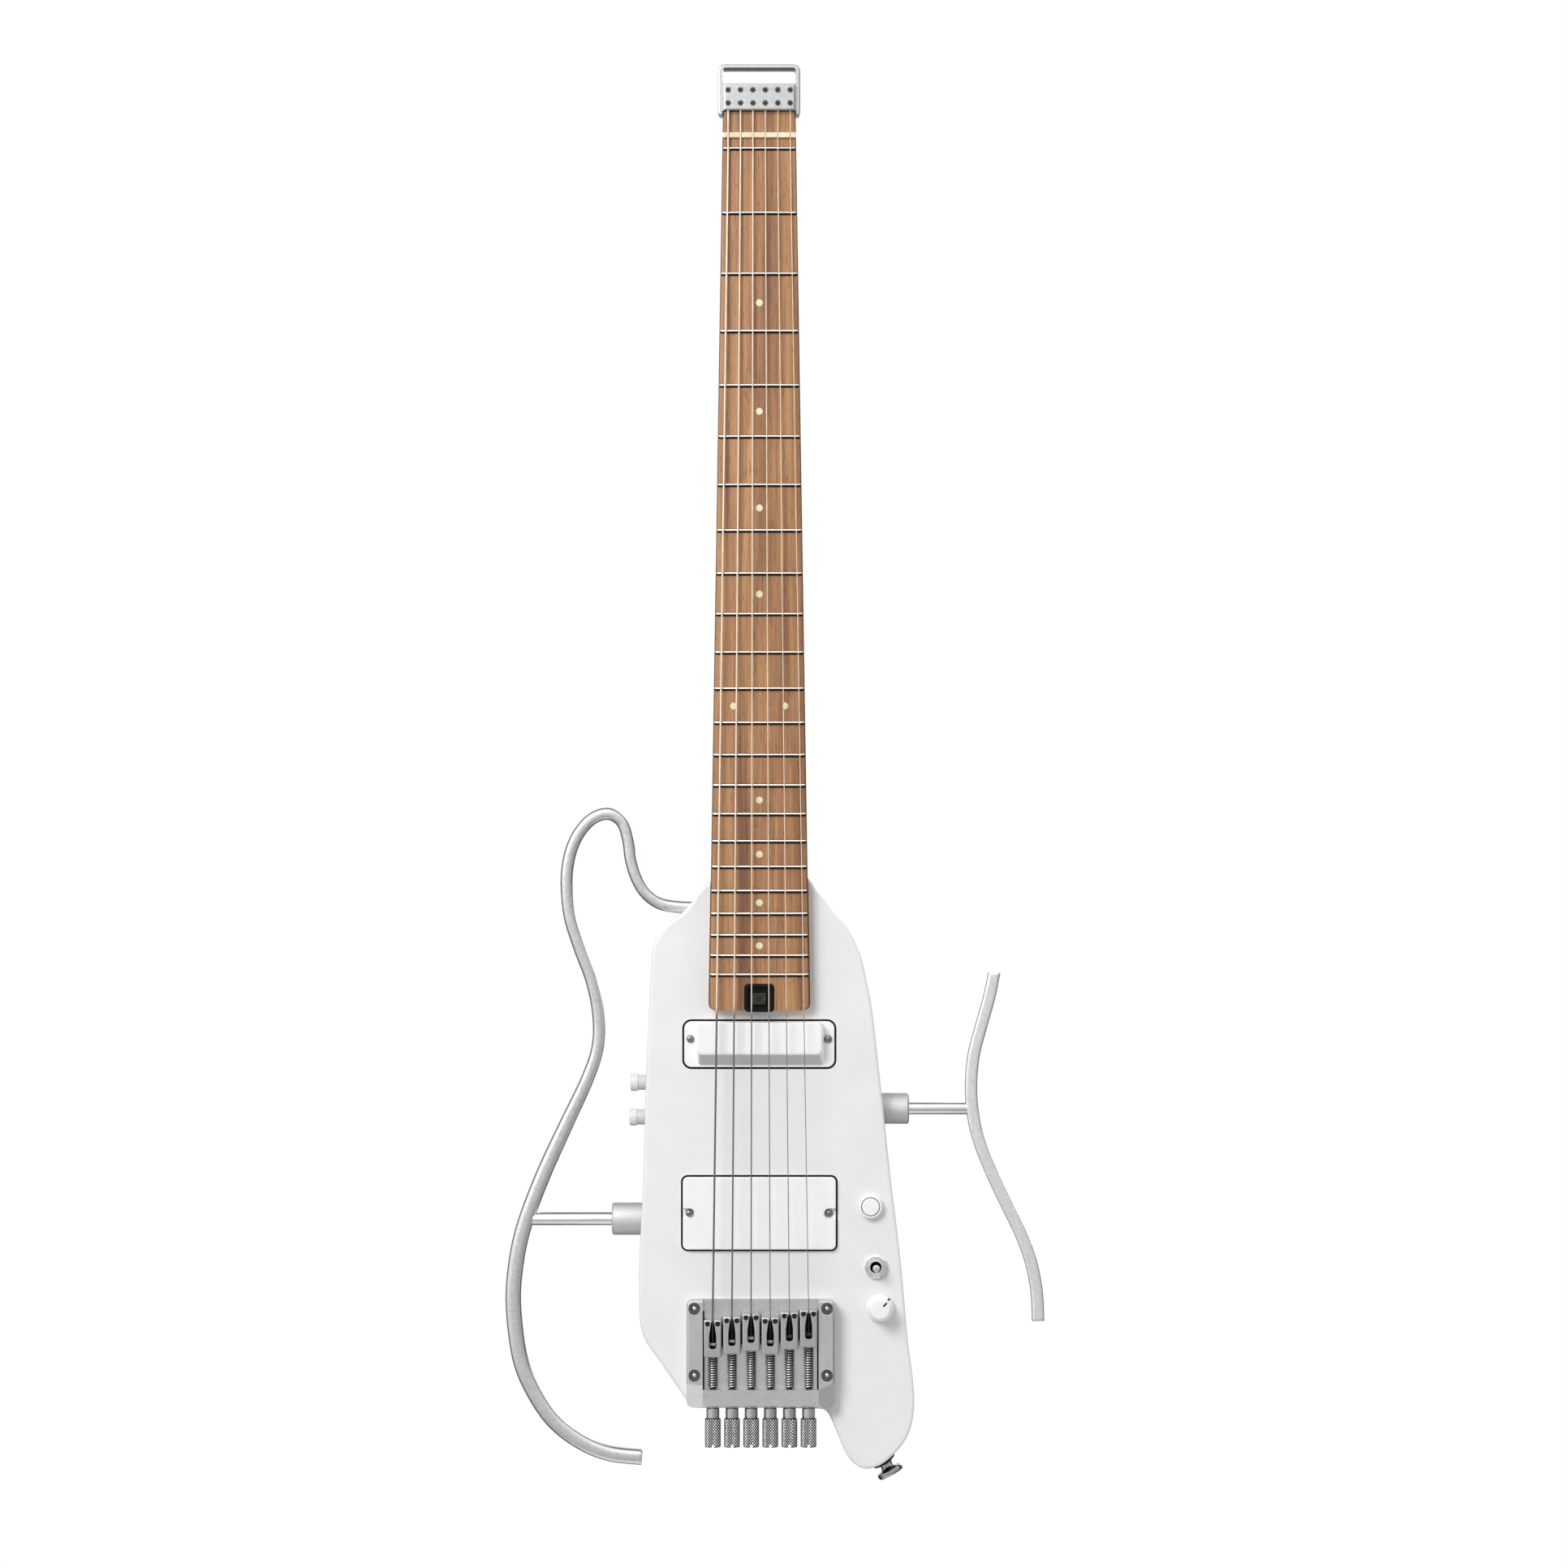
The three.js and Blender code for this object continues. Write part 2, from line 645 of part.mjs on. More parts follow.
function makeHeadPiece() {
  const outerHeight = loopBarHeight - headBottomZ;
  const middleZ = (loopBarHeight + headBottomZ) / 2;
  const outline = roundedRectangle(headWidth, outerHeight, loopCornerRadius, 0, middleZ);
  const openingWidth = headWidth - 2 * loopSideWidth;
  const opening = roundedRectangle(openingWidth, loopOpeningHeight, loopInnerRadius, 0, clampTopZ / 2);
  const bail = plate(outline, headFrontY, headDepth / 2, blockEdge / 2);
  const block = prismAcross([
    [0, clampTopZ], [clampFrontY + blockEdge, clampTopZ], [clampFrontY, clampTopZ - blockEdge],
    [clampFrontY, clampBottomZ + blockEdge], [clampFrontY + blockEdge, clampBottomZ], [0, clampBottomZ],
  ], clampBlockWidth);
  const boardHalf = fretboardWidthAt(headBottomZ) / 2 + clearance;
  const boardSeat = span(
    -boardHalf, boardHalf, clampFrontY, fretboardBackY, headBottomZ - overrun, clampBottomZ,
  );
  const grubRows = [clampTopZ - grubRowInset, clampBottomZ + grubRowInset];
  const grubHoles = stringDiameters.flatMap((_, i) => grubRows.map((z) => (
    hole(grubScrewRadius, nutStringX(i), z, clampFrontY - overrun, clampFrontY + grubScrewDepth)
  )));
  const stringBores = stringDiameters.map((diameter, i) => {
    const x = nutStringX(i);
    const start = new THREE.Vector3(x, stringClampY, headBottomZ - overrun);
    const end = new THREE.Vector3(x, stringClampY, headBottomZ + stringBoreDepth + clearance);
    return bored(diameter / 2 + clearance, start, end, stringSides);
  });
  const tongueSeat = span(
    -neckTongueWidth / 2 - clearance, neckTongueWidth / 2 + clearance,
    tongueFrontY - clearance, tongueBackY + clearance, headBottomZ - overrun, tongueTopZ + clearance,
  );
  const loopSpace = plate(opening, clampFrontY - overrun, headDepth / 2 + overrun);
  return cut(joined(bail, block), loopSpace, boardSeat, ...grubHoles, ...stringBores, tongueSeat);
}

// Neck: wood under the fretboard, D-shaped for the hand and square in the body's pocket
function boardPlan(margin = 0) {
  const [topHalf, endHalf] = [fretboardTopZ, fretboardEndZ].map((z) => fretboardWidthAt(z) / 2 + margin);
  const [top, end] = [fretboardTopZ, fretboardEndZ - margin];
  const radius = fretboardCornerRadius;
  const shape = new THREE.Shape();
  shape.moveTo(-topHalf, top);
  shape.lineTo(-endHalf, end + radius);
  shape.quadraticCurveTo(-endHalf, end, radius - endHalf, end);
  shape.lineTo(endHalf - radius, end);
  shape.quadraticCurveTo(endHalf, end, endHalf, end + radius);
  shape.lineTo(topHalf, top);
  shape.closePath();
  return shape;
}

const heelBackY = bodyFrontY + neckPocketDepth - clearance;
const trussRodTopZ = nutBottomZ - trussRodStartBelowNut;
const trussCoverTopZ = fretboardEndZ - trussCoverOverhang + trussCoverHeight;

function neckSection(share) {
  const z = neckTopZ + (fretboardEndZ - neckTopZ) * share;
  const heel = THREE.MathUtils.smoothstep(share, heelStartShare, heelEndShare);
  const slimBackY = THREE.MathUtils.lerp(neckDepthAtNut, neckDepthAtHeel, share);
  const backY = THREE.MathUtils.lerp(slimBackY, heelBackY, heel);
  const squareness = THREE.MathUtils.lerp(neckRoundness, heelSquareness, heel);
  const halfWidth = fretboardWidthAt(z) / 2;
  return Array.from({ length: neckSectionSteps + 1 }, (_, k) => {
    const angle = (Math.PI * k) / neckSectionSteps;
    const across = Math.sign(Math.cos(angle)) * Math.abs(Math.cos(angle)) ** (2 / squareness);
    const back = Math.abs(Math.sin(angle)) ** (2 / squareness);
    return new THREE.Vector3(halfWidth * across, fretboardBackY + backY * back, z);
  });
}

function makeNeck() {
  const wood = loft(neckStationShares.map(neckSection));
  const tongue = span(
    -neckTongueWidth / 2, neckTongueWidth / 2, tongueFrontY, tongueBackY,
    neckTopZ - overrun, tongueTopZ,
  );
  const heelLimit = plate(boardPlan(), fretboardBackY, heelBackY + overrun);
  const channel = span(
    -trussRodWidth / 2 - clearance, trussRodWidth / 2 + clearance,
    fretboardBackY - overrun, fretboardBackY + trussRodDepth + clearance,
    trussCoverTopZ, trussRodTopZ + clearance,
  );
  const wheelRoom = span(
    -trussWheelRadius - clearance, trussWheelRadius + clearance,
    fretboardBackY - overrun, fretboardBackY + trussRodDepth + clearance,
    fretboardEndZ - overrun, trussCoverTopZ + overrun + clearance,
  );
  return cut(joined(wood.intersect(heelLimit), tongue), channel, wheelRoom);
}

function makeTrussRod() {
  const bar = span(
    -trussRodWidth / 2, trussRodWidth / 2, fretboardBackY + clearance, fretboardBackY + trussRodDepth,
    trussCoverTopZ, trussRodTopZ,
  );
  const wheelY = fretboardBackY + (trussRodDepth + clearance) / 2;
  const start = new THREE.Vector3(0, wheelY, trussCoverTopZ + overrun);
  const end = new THREE.Vector3(0, wheelY, fretboardEndZ + clearance);
  return joined(bar, rod(trussWheelRadius, start, end, smallPieceSides));
}

// Fretboard: a slice of a cylinder with a slot for the nut, and the frets pressed into it
function fretBar(number) {
  const z = fretZ(number);
  const half = fretboardWidthAt(z) / 2 - fretEndInset;
  const rings = Array.from({ length: fretSteps + 1 }, (_, k) => {
    const x = -half + (2 * half * k) / fretSteps;
    return fretProfileShares.map(([across, height]) => new THREE.Vector3(
      x,
      fretboardFaceY(x) + fretSink - (fretHeight + fretSink) * height,
      z + across * fretWidth / 2,
    ));
  });
  return loft(rings);
}

function makeFretboard() {
  const half = fretboardWidthAtEnd / 2 + overrun;
  const face = Array.from({ length: fretboardCamberSteps + 1 }, (_, k) => {
    const x = -half + (2 * half * k) / fretboardCamberSteps;
    return [x, fretboardFaceY(x)];
  });
  const section = [...face, [half, fretboardBackY], [-half, fretboardBackY]];
  const slab = loft([fretboardTopZ, fretboardEndZ].map((z) => (
    section.map(([x, y]) => new THREE.Vector3(x, y, z))
  )));
  const plan = plate(boardPlan(), fretboardFrontY - overrun, fretboardBackY + overrun);
  const nutSeat = span(
    -half, half, fretboardFrontY - overrun, fretboardFrontY + nutSeatDepth,
    nutBottomZ - clearance, nutTopZ + clearance,
  );
  const coverSeat = plate(
    roundedRectangle(
      trussCoverWidth + 2 * clearance, trussCoverHeight + 2 * clearance, trussCoverRadius,
      0, trussCoverTopZ - trussCoverHeight / 2,
    ), fretboardFrontY - overrun, fretboardBackY + overrun,
  );
  const board = cut(slab.intersect(plan), nutSeat, coverSeat);
  const frets = Array.from({ length: fretCount + 1 }, (_, number) => fretBar(number));
  return joined(board, ...frets);
}

function makeNut() {
  const width = fretboardWidthAt((nutTopZ + nutBottomZ) / 2);
  const frontY = fretboardFrontY - nutProud;
  const bar = span(
    -width / 2, width / 2, frontY, fretboardFrontY + nutSeatDepth - clearance, nutBottomZ, nutTopZ,
  );
  const slots = stringDiameters.map((diameter, i) => span(
    nutStringX(i) - diameter / 2 - clearance, nutStringX(i) + diameter / 2 + clearance,
    frontY - overrun, stringY(i) + diameter / 2 + clearance, nutBottomZ - overrun, nutTopZ + overrun,
  ));
  return cut(bar, ...slots);
}

function makeTrussCover() {
  const z = trussCoverTopZ - trussCoverHeight / 2;
  const frontY = fretboardFrontY - trussCoverProud;
  const backY = fretboardBackY - clearance;
  const outline = roundedRectangle(trussCoverWidth, trussCoverHeight, trussCoverRadius, 0, z);
  const blank = plate(outline, frontY, backY);
  const tray = plate(
    roundedRectangle(
      trussCoverWidth - 2 * trussTrayRim, trussCoverHeight - 2 * trussTrayRim, trussCoverRadius, 0, z,
    ), frontY - overrun, frontY + trussTrayDepth,
  );
  const nut = span(
    -trussNutWidth / 2, trussNutWidth / 2, frontY + trussNutDrop, frontY + trussTrayDepth + clearance,
    z - trussNutHeight / 2, z + trussNutHeight / 2,
  );
  const socketFloorY = frontY + trussNutDrop + trussSocketDepth;
  const socket = hole(trussSocketRadius, 0, z, frontY - overrun, socketFloorY, hexSides);
  return cut(joined(cut(blank, tray), nut), socket);
}

// Strings: from the clamp over the zero fret and the saddle down to a ball end in the saddle's slot
function makeString(index) {
  const radius = stringDiameters[index] / 2;
  const crownZ = saddleTopZ(index);
  const ballEndZ = crownZ - saddleSlotLength + clearance;
  const ballTopZ = ballEndZ + ballLength;
  const saddleY = stringY(index, 1);
  const ballY = saddleY + ballDrop;
  const route = [
    [nutStringX(index), stringClampY, headBottomZ + stringBoreDepth, radius],
    [nutStringX(index), stringClampY, headBottomZ - clearance, radius],
    [nutStringX(index), stringY(index), zeroFretZ, radius],
    [saddleX(index), saddleY, crownZ, radius],
    [saddleX(index), saddleY, crownZ - saddleSlotStart, radius],
    [saddleX(index), ballY, ballTopZ, radius],
    [saddleX(index), ballY, ballTopZ - ballShoulder, ballRadius],
    [saddleX(index), ballY, ballEndZ, ballRadius],
  ];
  return loft(route.map(([x, y, z, size]) => ringAround(
    new THREE.Vector3(x, y, z), new THREE.Vector3(size, 0, 0), new THREE.Vector3(0, size, 0), stringSides,
  )));
}

// Saddles
const saddleFrontY = stringY(0, 1) - saddleCrownAboveString;
const saddleBackY = bridgeBaseY - clearance;

function saddleSlotPlan(index) {
  const x = saddleX(index);
  const top = saddleTopZ(index) - saddleSlotStart;
  const wide = top - saddleSlotTaper;
  const [half, end] = [saddleSlotWidth / 2, saddleTopZ(index) - saddleSlotLength - clearance];
  const shape = new THREE.Shape();
  shape.moveTo(x - saddleSlotTopWidth / 2, top);
  shape.lineTo(x - half, wide);
  shape.lineTo(x - half, end + half);
  shape.quadraticCurveTo(x - half, end, x, end);
  shape.quadraticCurveTo(x + half, end, x + half, end + half);
  shape.lineTo(x + half, wide);
  shape.lineTo(x + saddleSlotTopWidth / 2, top);
  shape.closePath();
  return shape;
}

function makeSaddle(index) {
  const x = saddleX(index);
  const top = saddleTopZ(index);
  const bottom = top - saddleLength;
  const block = span(
    x - saddleWidth / 2, x + saddleWidth / 2, saddleFrontY, saddleBackY, bottom, top,
  );
  const slot = plate(saddleSlotPlan(index), saddleFrontY - overrun, saddleFrontY + saddleSlotDepth);
  const grooveHalf = saddleSlotTopWidth / 2;
  const grooveFloorY = stringY(index, 1) + stringDiameters[index] / 2 + clearance;
  const groove = span(
    x - grooveHalf, x + grooveHalf, saddleFrontY - overrun, grooveFloorY,
    top - saddleSlotStart - overrun, top + overrun,
  );
  const boreDepth = tunerScrewReach + tunerScrewTravel + clearance;
  const bore = bored(
    tunerScrewRadius + clearance, new THREE.Vector3(x, tunerAxisY, bottom - overrun),
    new THREE.Vector3(x, tunerAxisY, bottom + boreDepth),
  );
  const screwHoles = [-1, 1].map((side) => hole(
    saddleScrewRadius, x + side * (saddleWidth / 2 - saddleScrewInset), top - saddleScrewInset,
    saddleFrontY - overrun, saddleFrontY + saddleScrewDepth,
  ));
  return cut(block, slot, groove, bore, ...screwHoles);
}

// Springs: one wire wound round the tuner's screw, straight for its own diameter at both ends
function springPath(index) {
  const high = saddleTopZ(index) - saddleLength - clearance;
  const low = bridgeWallZ + clearance;
  const coilRadius = (springDiameter - springWire) / 2;
  const steps = springTurns * springStepsPerTurn;
  const coil = Array.from({ length: steps + 1 }, (_, k) => ({
    angle: (2 * Math.PI * k) / springStepsPerTurn,
    z: low + springWire + ((high - low - 2 * springWire) * k) / steps,
  }));
  const ends = [{ angle: coil[0].angle, z: low }, ...coil, { angle: coil.at(-1).angle, z: high }];
  return ends.map(({ angle, z }) => {
    const outward = new THREE.Vector3(Math.cos(angle), Math.sin(angle), 0);
    const axis = new THREE.Vector3(saddleX(index), tunerAxisY, z);
    return { point: axis.addScaledVector(outward, coilRadius), outward };
  });
}

function makeSpring(index) {
  const path = springPath(index);
  const headings = path.slice(1).map(({ point }, i) => point.clone().sub(path[i].point).normalize());
  return loft(path.map(({ point, outward }, i) => {
    const arriving = headings[Math.max(i - 1, 0)];
    const leaving = headings[Math.min(i, headings.length - 1)];
    const tangent = arriving.clone().add(leaving).normalize();
    const stretch = 1 / tangent.dot(arriving);
    const across = new THREE.Vector3().crossVectors(tangent, outward);
    return ringAround(
      point, outward.clone().multiplyScalar(springWire / 2),
      across.multiplyScalar((stretch * springWire) / 2), springSides,
    );
  }));
}

// The least gap between two turns, measured on the points of the wire's middle line.
function springGap(index) {
  const path = springPath(index);
  let least = Infinity;
  path.forEach((place, i) => {
    path.slice(i + springStepsPerTurn - 1).forEach((other) => {
      least = Math.min(least, place.point.distanceTo(other.point) - springWire);
    });
  });
  return least;
}

// Tuners: a screw through the rear wall into the saddle, with a collar and a knurled knob outside
function makeTuner(index) {
  const top = saddleTopZ(index) - saddleLength + tunerScrewReach;
  const screwLength = top - bridgeBottomZ + clearance;
  const collarEnd = screwLength + tunerCollarLength;
  const knobEnd = collarEnd + tunerKnobLength;
  const start = new THREE.Vector3(saddleX(index), tunerAxisY, top);
  const body = turned([
    [0, 0], [tunerScrewRadius, 0], [tunerScrewRadius, screwLength],
    [tunerCollarRadius, screwLength], [tunerCollarRadius, collarEnd],
    [tunerKnobRadius - tunerKnobEdge, collarEnd], [tunerKnobRadius, collarEnd + tunerKnobEdge],
    [tunerKnobRadius, knobEnd - tunerKnobEdge], [tunerKnobRadius - tunerKnobEdge, knobEnd], [0, knobEnd],
  ], start, toTail, smallPieceSides);
  const endZ = top - knobEnd;
  const slot = span(
    start.x - tunerSlotWidth / 2, start.x + tunerSlotWidth / 2,
    tunerAxisY - tunerKnobRadius - overrun, tunerAxisY + tunerKnobRadius + overrun,
    endZ - overrun, endZ + tunerSlotDepth,
  );
  return cut(body, slot);
}

// Bridge tray
const bridgeMiddleZ = (bridgeTopZ + bridgeBottomZ) / 2;
const bridgeScrewX = bridgeWidth / 2 - bridgeScrewInsetX;
const bridgeScrewTopZ = bridgeTopZ - bridgeScrewInsetTop;
const bridgeScrewPlaces = [bridgeScrewTopZ, bridgeScrewTopZ - bridgeScrewSpan].flatMap((z) => (
  [-1, 1].map((side) => [bridgeOffsetX + side * bridgeScrewX, z])
));

function makeBridgePlate() {
  const middle = [bridgeOffsetX, bridgeMiddleZ];
  const outline = roundedRectangle(bridgeWidth, bridgeHeight, bridgeCornerRadius, ...middle);
  const block = plate(outline, bridgeFrontY, bodyFrontY, bridgeEdge);
  const trayHalf = bridgeWidth / 2 - bridgeRailWidth;
  const tray = span(
    bridgeOffsetX - trayHalf, bridgeOffsetX + trayHalf, bridgeFrontY - overrun, bridgeBaseY,
    bridgeWallZ, bridgeTopZ + overrun,
  );
  const facets = [-1, 1].map((side) => {
    const outer = bridgeOffsetX + (side * bridgeWidth) / 2;
    const inner = outer - side * bridgeRailWidth;
    const profile = [
      [inner, bridgeFrontY], [outer, bridgeFrontY + bridgeFacetDrop],
      [outer + side * overrun, bridgeFrontY + bridgeFacetDrop],
      [outer + side * overrun, bridgeFrontY - overrun],
      [inner, bridgeFrontY - overrun],
    ];
    return loft([bridgeBottomZ - overrun, bridgeWallZ].map((z) => (
      profile.map(([x, y]) => new THREE.Vector3(x, y, z))
    )));
  });
  const tunerHoles = stringDiameters.map((_, i) => bored(
    tunerScrewRadius + clearance, new THREE.Vector3(saddleX(i), tunerAxisY, bridgeBottomZ - overrun),
    new THREE.Vector3(saddleX(i), tunerAxisY, bridgeWallZ + overrun),
  ));
  const screwHoles = bridgeScrewPlaces.flatMap(([x, z]) => [
    hole(bridgeScrewRadius + clearance, x, z, bridgeFrontY - overrun, bodyFrontY + overrun),
    hole(
      bridgeScrewHeadRadius + clearance, x, z, bridgeFrontY - overrun,
      bridgeFrontY + bridgeScrewHeadSink + bridgeScrewHeadHeight + clearance,
    ),
  ]);
  return cut(block, tray, ...facets, ...tunerHoles, ...screwHoles);
}

// Screws along the depth: the bridge's have a hexagon socket, the pickups' a domed head
function makeSocketScrew([x, z]) {
  const headY = bridgeFrontY + bridgeScrewHeadSink;
  const shankStart = bridgeScrewHeadHeight;
  const body = turned([
    [0, 0], [bridgeScrewHeadRadius, 0], [bridgeScrewHeadRadius, shankStart],
    [bridgeScrewRadius, shankStart], [bridgeScrewRadius, bridgeScrewLength], [0, bridgeScrewLength],
  ], new THREE.Vector3(x, headY, z), toBack, smallPieceSides);
  return cut(body, hole(hexSocketRadius, x, z, headY - overrun, headY + hexSocketDepth, hexSides));
}

function makePickupScrew(x, z, seatY) {
  return turned([
    [0, -pickupScrewHeadHeight], [pickupScrewHeadRadius - knobEdge, -pickupScrewHeadHeight],
    [pickupScrewHeadRadius, 0], [pickupScrewRadius, 0],
    [pickupScrewRadius, pickupScrewLength], [0, pickupScrewLength],
  ], new THREE.Vector3(x, seatY - clearance, z), toBack, smallPieceSides);
}

// Neck pickup: flange, sloping raised top and the coil block behind
const pickupFlangeBackY = bodyFrontY + pickupFlangeThickness;
const neckFlangeFrontY = bodyFrontY - clearance;
const neckPickupScrewX = neckPickupWidth / 2 - pickupScrewInset;
const neckPickupScrewZ = neckPickupZ + neckPickupScrewRise;

function rectangleRing(width, height, radius, x, y, z) {
  const outline = roundedRectangle(width, height, radius, x, z).getPoints(cornerSteps);
  return outline.slice(0, -1).map((point) => new THREE.Vector3(point.x, y, point.y));
}

function makeNeckPickup() {
  const flangeWidth = neckPickupWidth - 2 * pickupGap;
  const flangeHeight = neckPickupHeight - 2 * pickupGap;
  const outline = roundedRectangle(
    flangeWidth, flangeHeight, neckPickupCornerRadius - pickupGap, 0, neckPickupZ,
  );
  const flange = plate(outline, neckFlangeFrontY, pickupFlangeBackY, clearance);
  const topZ = neckPickupZ + neckPickupHeight / 2 - neckCoverTopInset - neckCoverTopHeight / 2;
  const baseHeight = neckCoverTopHeight + neckCoverSlope;
  const topY = neckFlangeFrontY - neckPickupRise;
  const edgeY = topY + neckCoverEdge;
  const hump = loft([
    rectangleRing(
      neckCoverTopWidth + neckCoverSideSlope, baseHeight, neckCoverCornerRadius,
      neckCoverSideSlope / 2, neckFlangeFrontY + clearance, topZ - neckCoverSlope / 2,
    ),
    rectangleRing(neckCoverTopWidth, neckCoverTopHeight, neckCoverCornerRadius, 0, edgeY, topZ),
    rectangleRing(
      neckCoverTopWidth - 2 * neckCoverEdge, neckCoverTopHeight - 2 * neckCoverEdge,
      neckCoverCornerRadius - neckCoverEdge, 0, topY, topZ,
    ),
  ]);
  const coil = span(
    -coilWidth / 2, coilWidth / 2, pickupFlangeBackY - clearance, pickupFlangeBackY + coilDepth,
    neckPickupZ - neckCoilHeight / 2, neckPickupZ + neckCoilHeight / 2,
  );
  const screwHoles = [-1, 1].map((side) => hole(
    pickupScrewRadius + clearance, side * neckPickupScrewX, neckPickupScrewZ,
    neckFlangeFrontY - overrun, pickupFlangeBackY + overrun,
  ));
  return cut(joined(flange, hump, coil), ...screwHoles);
}

// Bridge pickup: a low block with a notch at each end, where the screw sits one step down
const bridgePickupFrontY = bodyFrontY - bridgePickupProud;
const notchFloorY = bodyFrontY + clearance;
const bridgePickupScrewX = bridgePickupWidth / 2 - pickupScrewInset;

function makeBridgePickup() {
  const outline = roundedRectangle(
    bridgePickupWidth - 2 * pickupGap, bridgePickupHeight - 2 * pickupGap,
    bridgePickupCornerRadius - pickupGap, 0, bridgePickupZ,
  );
  const block = plate(outline, bridgePickupFrontY, pickupFlangeBackY, bridgePickupEdge);
  const coil = span(
    -coilWidth / 2, coilWidth / 2, pickupFlangeBackY - clearance, pickupFlangeBackY + coilDepth,
    bridgePickupZ - bridgeCoilHeight / 2, bridgePickupZ + bridgeCoilHeight / 2,
  );
  const cuts = [-1, 1].flatMap((side) => {
    const x = side * bridgePickupScrewX;
    const [low, high] = [x, side * (bridgePickupWidth / 2 + overrun)].sort((a, b) => a - b);
    return [
      hole(notchRadius, x, bridgePickupZ, bridgePickupFrontY - overrun, notchFloorY),
      span(
        low, high, bridgePickupFrontY - overrun, notchFloorY,
        bridgePickupZ - notchRadius, bridgePickupZ + notchRadius,
      ),
      hole(
        pickupScrewRadius + clearance, x, bridgePickupZ,
        notchFloorY - overrun, pickupFlangeBackY + overrun,
      ),
    ];
  });
  return cut(joined(block, coil), ...cuts);
}

// A polygon with each of its edges moved outward by a distance, or inward by a negative one.
function grown(points, distance) {
  const count = points.length;
  const area = points.reduce((sum, point, i) => sum + point.cross(points[(i + 1) % count]), 0);
  const outward = Math.sign(area) * distance;
  const edges = points.map((point, i) => {
    const along = points[(i + 1) % count].clone().sub(point).normalize();
    const shift = new THREE.Vector2(along.y, -along.x).multiplyScalar(outward);
    return { start: point.clone().add(shift), along };
  });
  return edges.map((edge, i) => {
    const before = edges[(i + count - 1) % count];
    const gap = edge.start.clone().sub(before.start);
    const reach = gap.cross(edge.along) / before.along.cross(edge.along);
    return before.start.clone().addScaledVector(before.along, reach);
  });
}

// Places of the controls
const bayCorners = bayOutlineShares.map(onBody);
const bayFloorY = bodyBackY - bayDepth;
const rightWellFloorY = bodyFrontY + wellWall;
const leftWellFloorY = bodyMiddleY - leftWellReach;
const leftWellX = onBody(leftWellOutlineShares[0]).x;
const button = onBody(buttonPlaceShares);
const toggle = onBody(togglePlaceShares);
const volume = onBody(volumePlaceShares);
const sideKnobZs = sideKnobZShares.map((share) => bodyTopZ - share * bodyLength);
const jackZ = bodyTopZ - jackZShare * bodyLength;
const jackSeatX = sideX(bodyRight, jackZ) - jackFlangeThickness - clearance;
const bezelTailRadius = buttonStemRadius + bezelGap + bezelFloor;
const buttonStemEndY = rightWellFloorY + buttonThickness;
const volumeShaftEndY = rightWellFloorY + volumeShaftRadius;

// Strap button: its seat is cut flat across the end of the lower lobe
const strapPlace = onBody(strapPlaceShares);
const strapSeat = new THREE.Vector3(strapPlace.x, bodyMiddleY, strapPlace.y);
const strapDirection = new THREE.Vector3(Math.sin(strapTilt), 0, -Math.cos(strapTilt));

function alongStrap(distance) {
  return strapSeat.clone().addScaledVector(strapDirection, distance);
}

function makeStrapWasher() {
  const ring = rod(strapWasherRadius, alongStrap(clearance), alongStrap(clearance + strapWasherThickness));
  const bore = bored(strapScrewRadius + clearance, alongStrap(-overrun), alongStrap(strapHeight));
  return cut(ring, bore);
}

function makeStrapButton() {
  const base = clearance + strapWasherThickness + clearance;
  const flangeStart = base + strapHeight - strapFlangeThickness;
  const end = base + strapHeight;
  return turned([
    [0, -strapScrewLength], [strapScrewRadius, -strapScrewLength], [strapScrewRadius, base],
    [strapWasherRadius - strapFlangeThickness / 2, base], [strapPostRadius, base + strapFlangeThickness],
    [strapPostRadius, flangeStart - strapFlangeThickness / 2],
    [strapFlangeRadius, flangeStart], [strapFlangeRadius, end - strapFlangeThickness / 2],
    [strapWasherRadius, end], [strapPostRadius, end - strapDish], [0, end - strapDish],
  ], strapSeat, strapDirection);
}

// Frame bars: a closed loft along a smooth route, with a chamfered rectangle as its section
const leftBarTopZ = bodyTopZ + leftBarTopAboveBody;
const leftBarEntryZ = leftBarTopZ - leftBarRouteShares[0][1] * leftBarHeight;
const leftBarInnerX = sideX(bodyLeft, leftBarEntryZ) + leftBarInsert;
const leftRodZ = bodyTopZ - leftRodZShare * bodyLength;
const rightRodZ = bodyTopZ - rightRodZShare * bodyLength;
const leftCollarInnerX = sideX(bodyLeft, leftRodZ) + collarSeatDepth - clearance;
const rightCollarInnerX = sideX(bodyRight, rightRodZ) - collarSeatDepth + clearance;
const rightBarInnerX = rightCollarInnerX + rightCollarLength + rightBarBesideCollar;
const rightBarTopZ = bodyTopZ - rightBarTopBelowBody;

const leftRoute = new THREE.CatmullRomCurve3(leftBarRouteShares.map(([across, down]) => new THREE.Vector3(
  leftBarInnerX - (1 - across) * leftBarWidth, bodyMiddleY, leftBarTopZ - down * leftBarHeight,
)));
const rightRoute = new THREE.CatmullRomCurve3(rightBarRouteShares.map(([across, down]) => new THREE.Vector3(
  rightBarInnerX + across * rightBarWidth, bodyMiddleY, rightBarTopZ - down * rightBarHeight,
)));

function leftBarSize(share) {
  const widening = THREE.MathUtils.smoothstep(share, ...leftBarWideningShares);
  return THREE.MathUtils.lerp(barUpperWidth, barLowerWidth, widening);
}

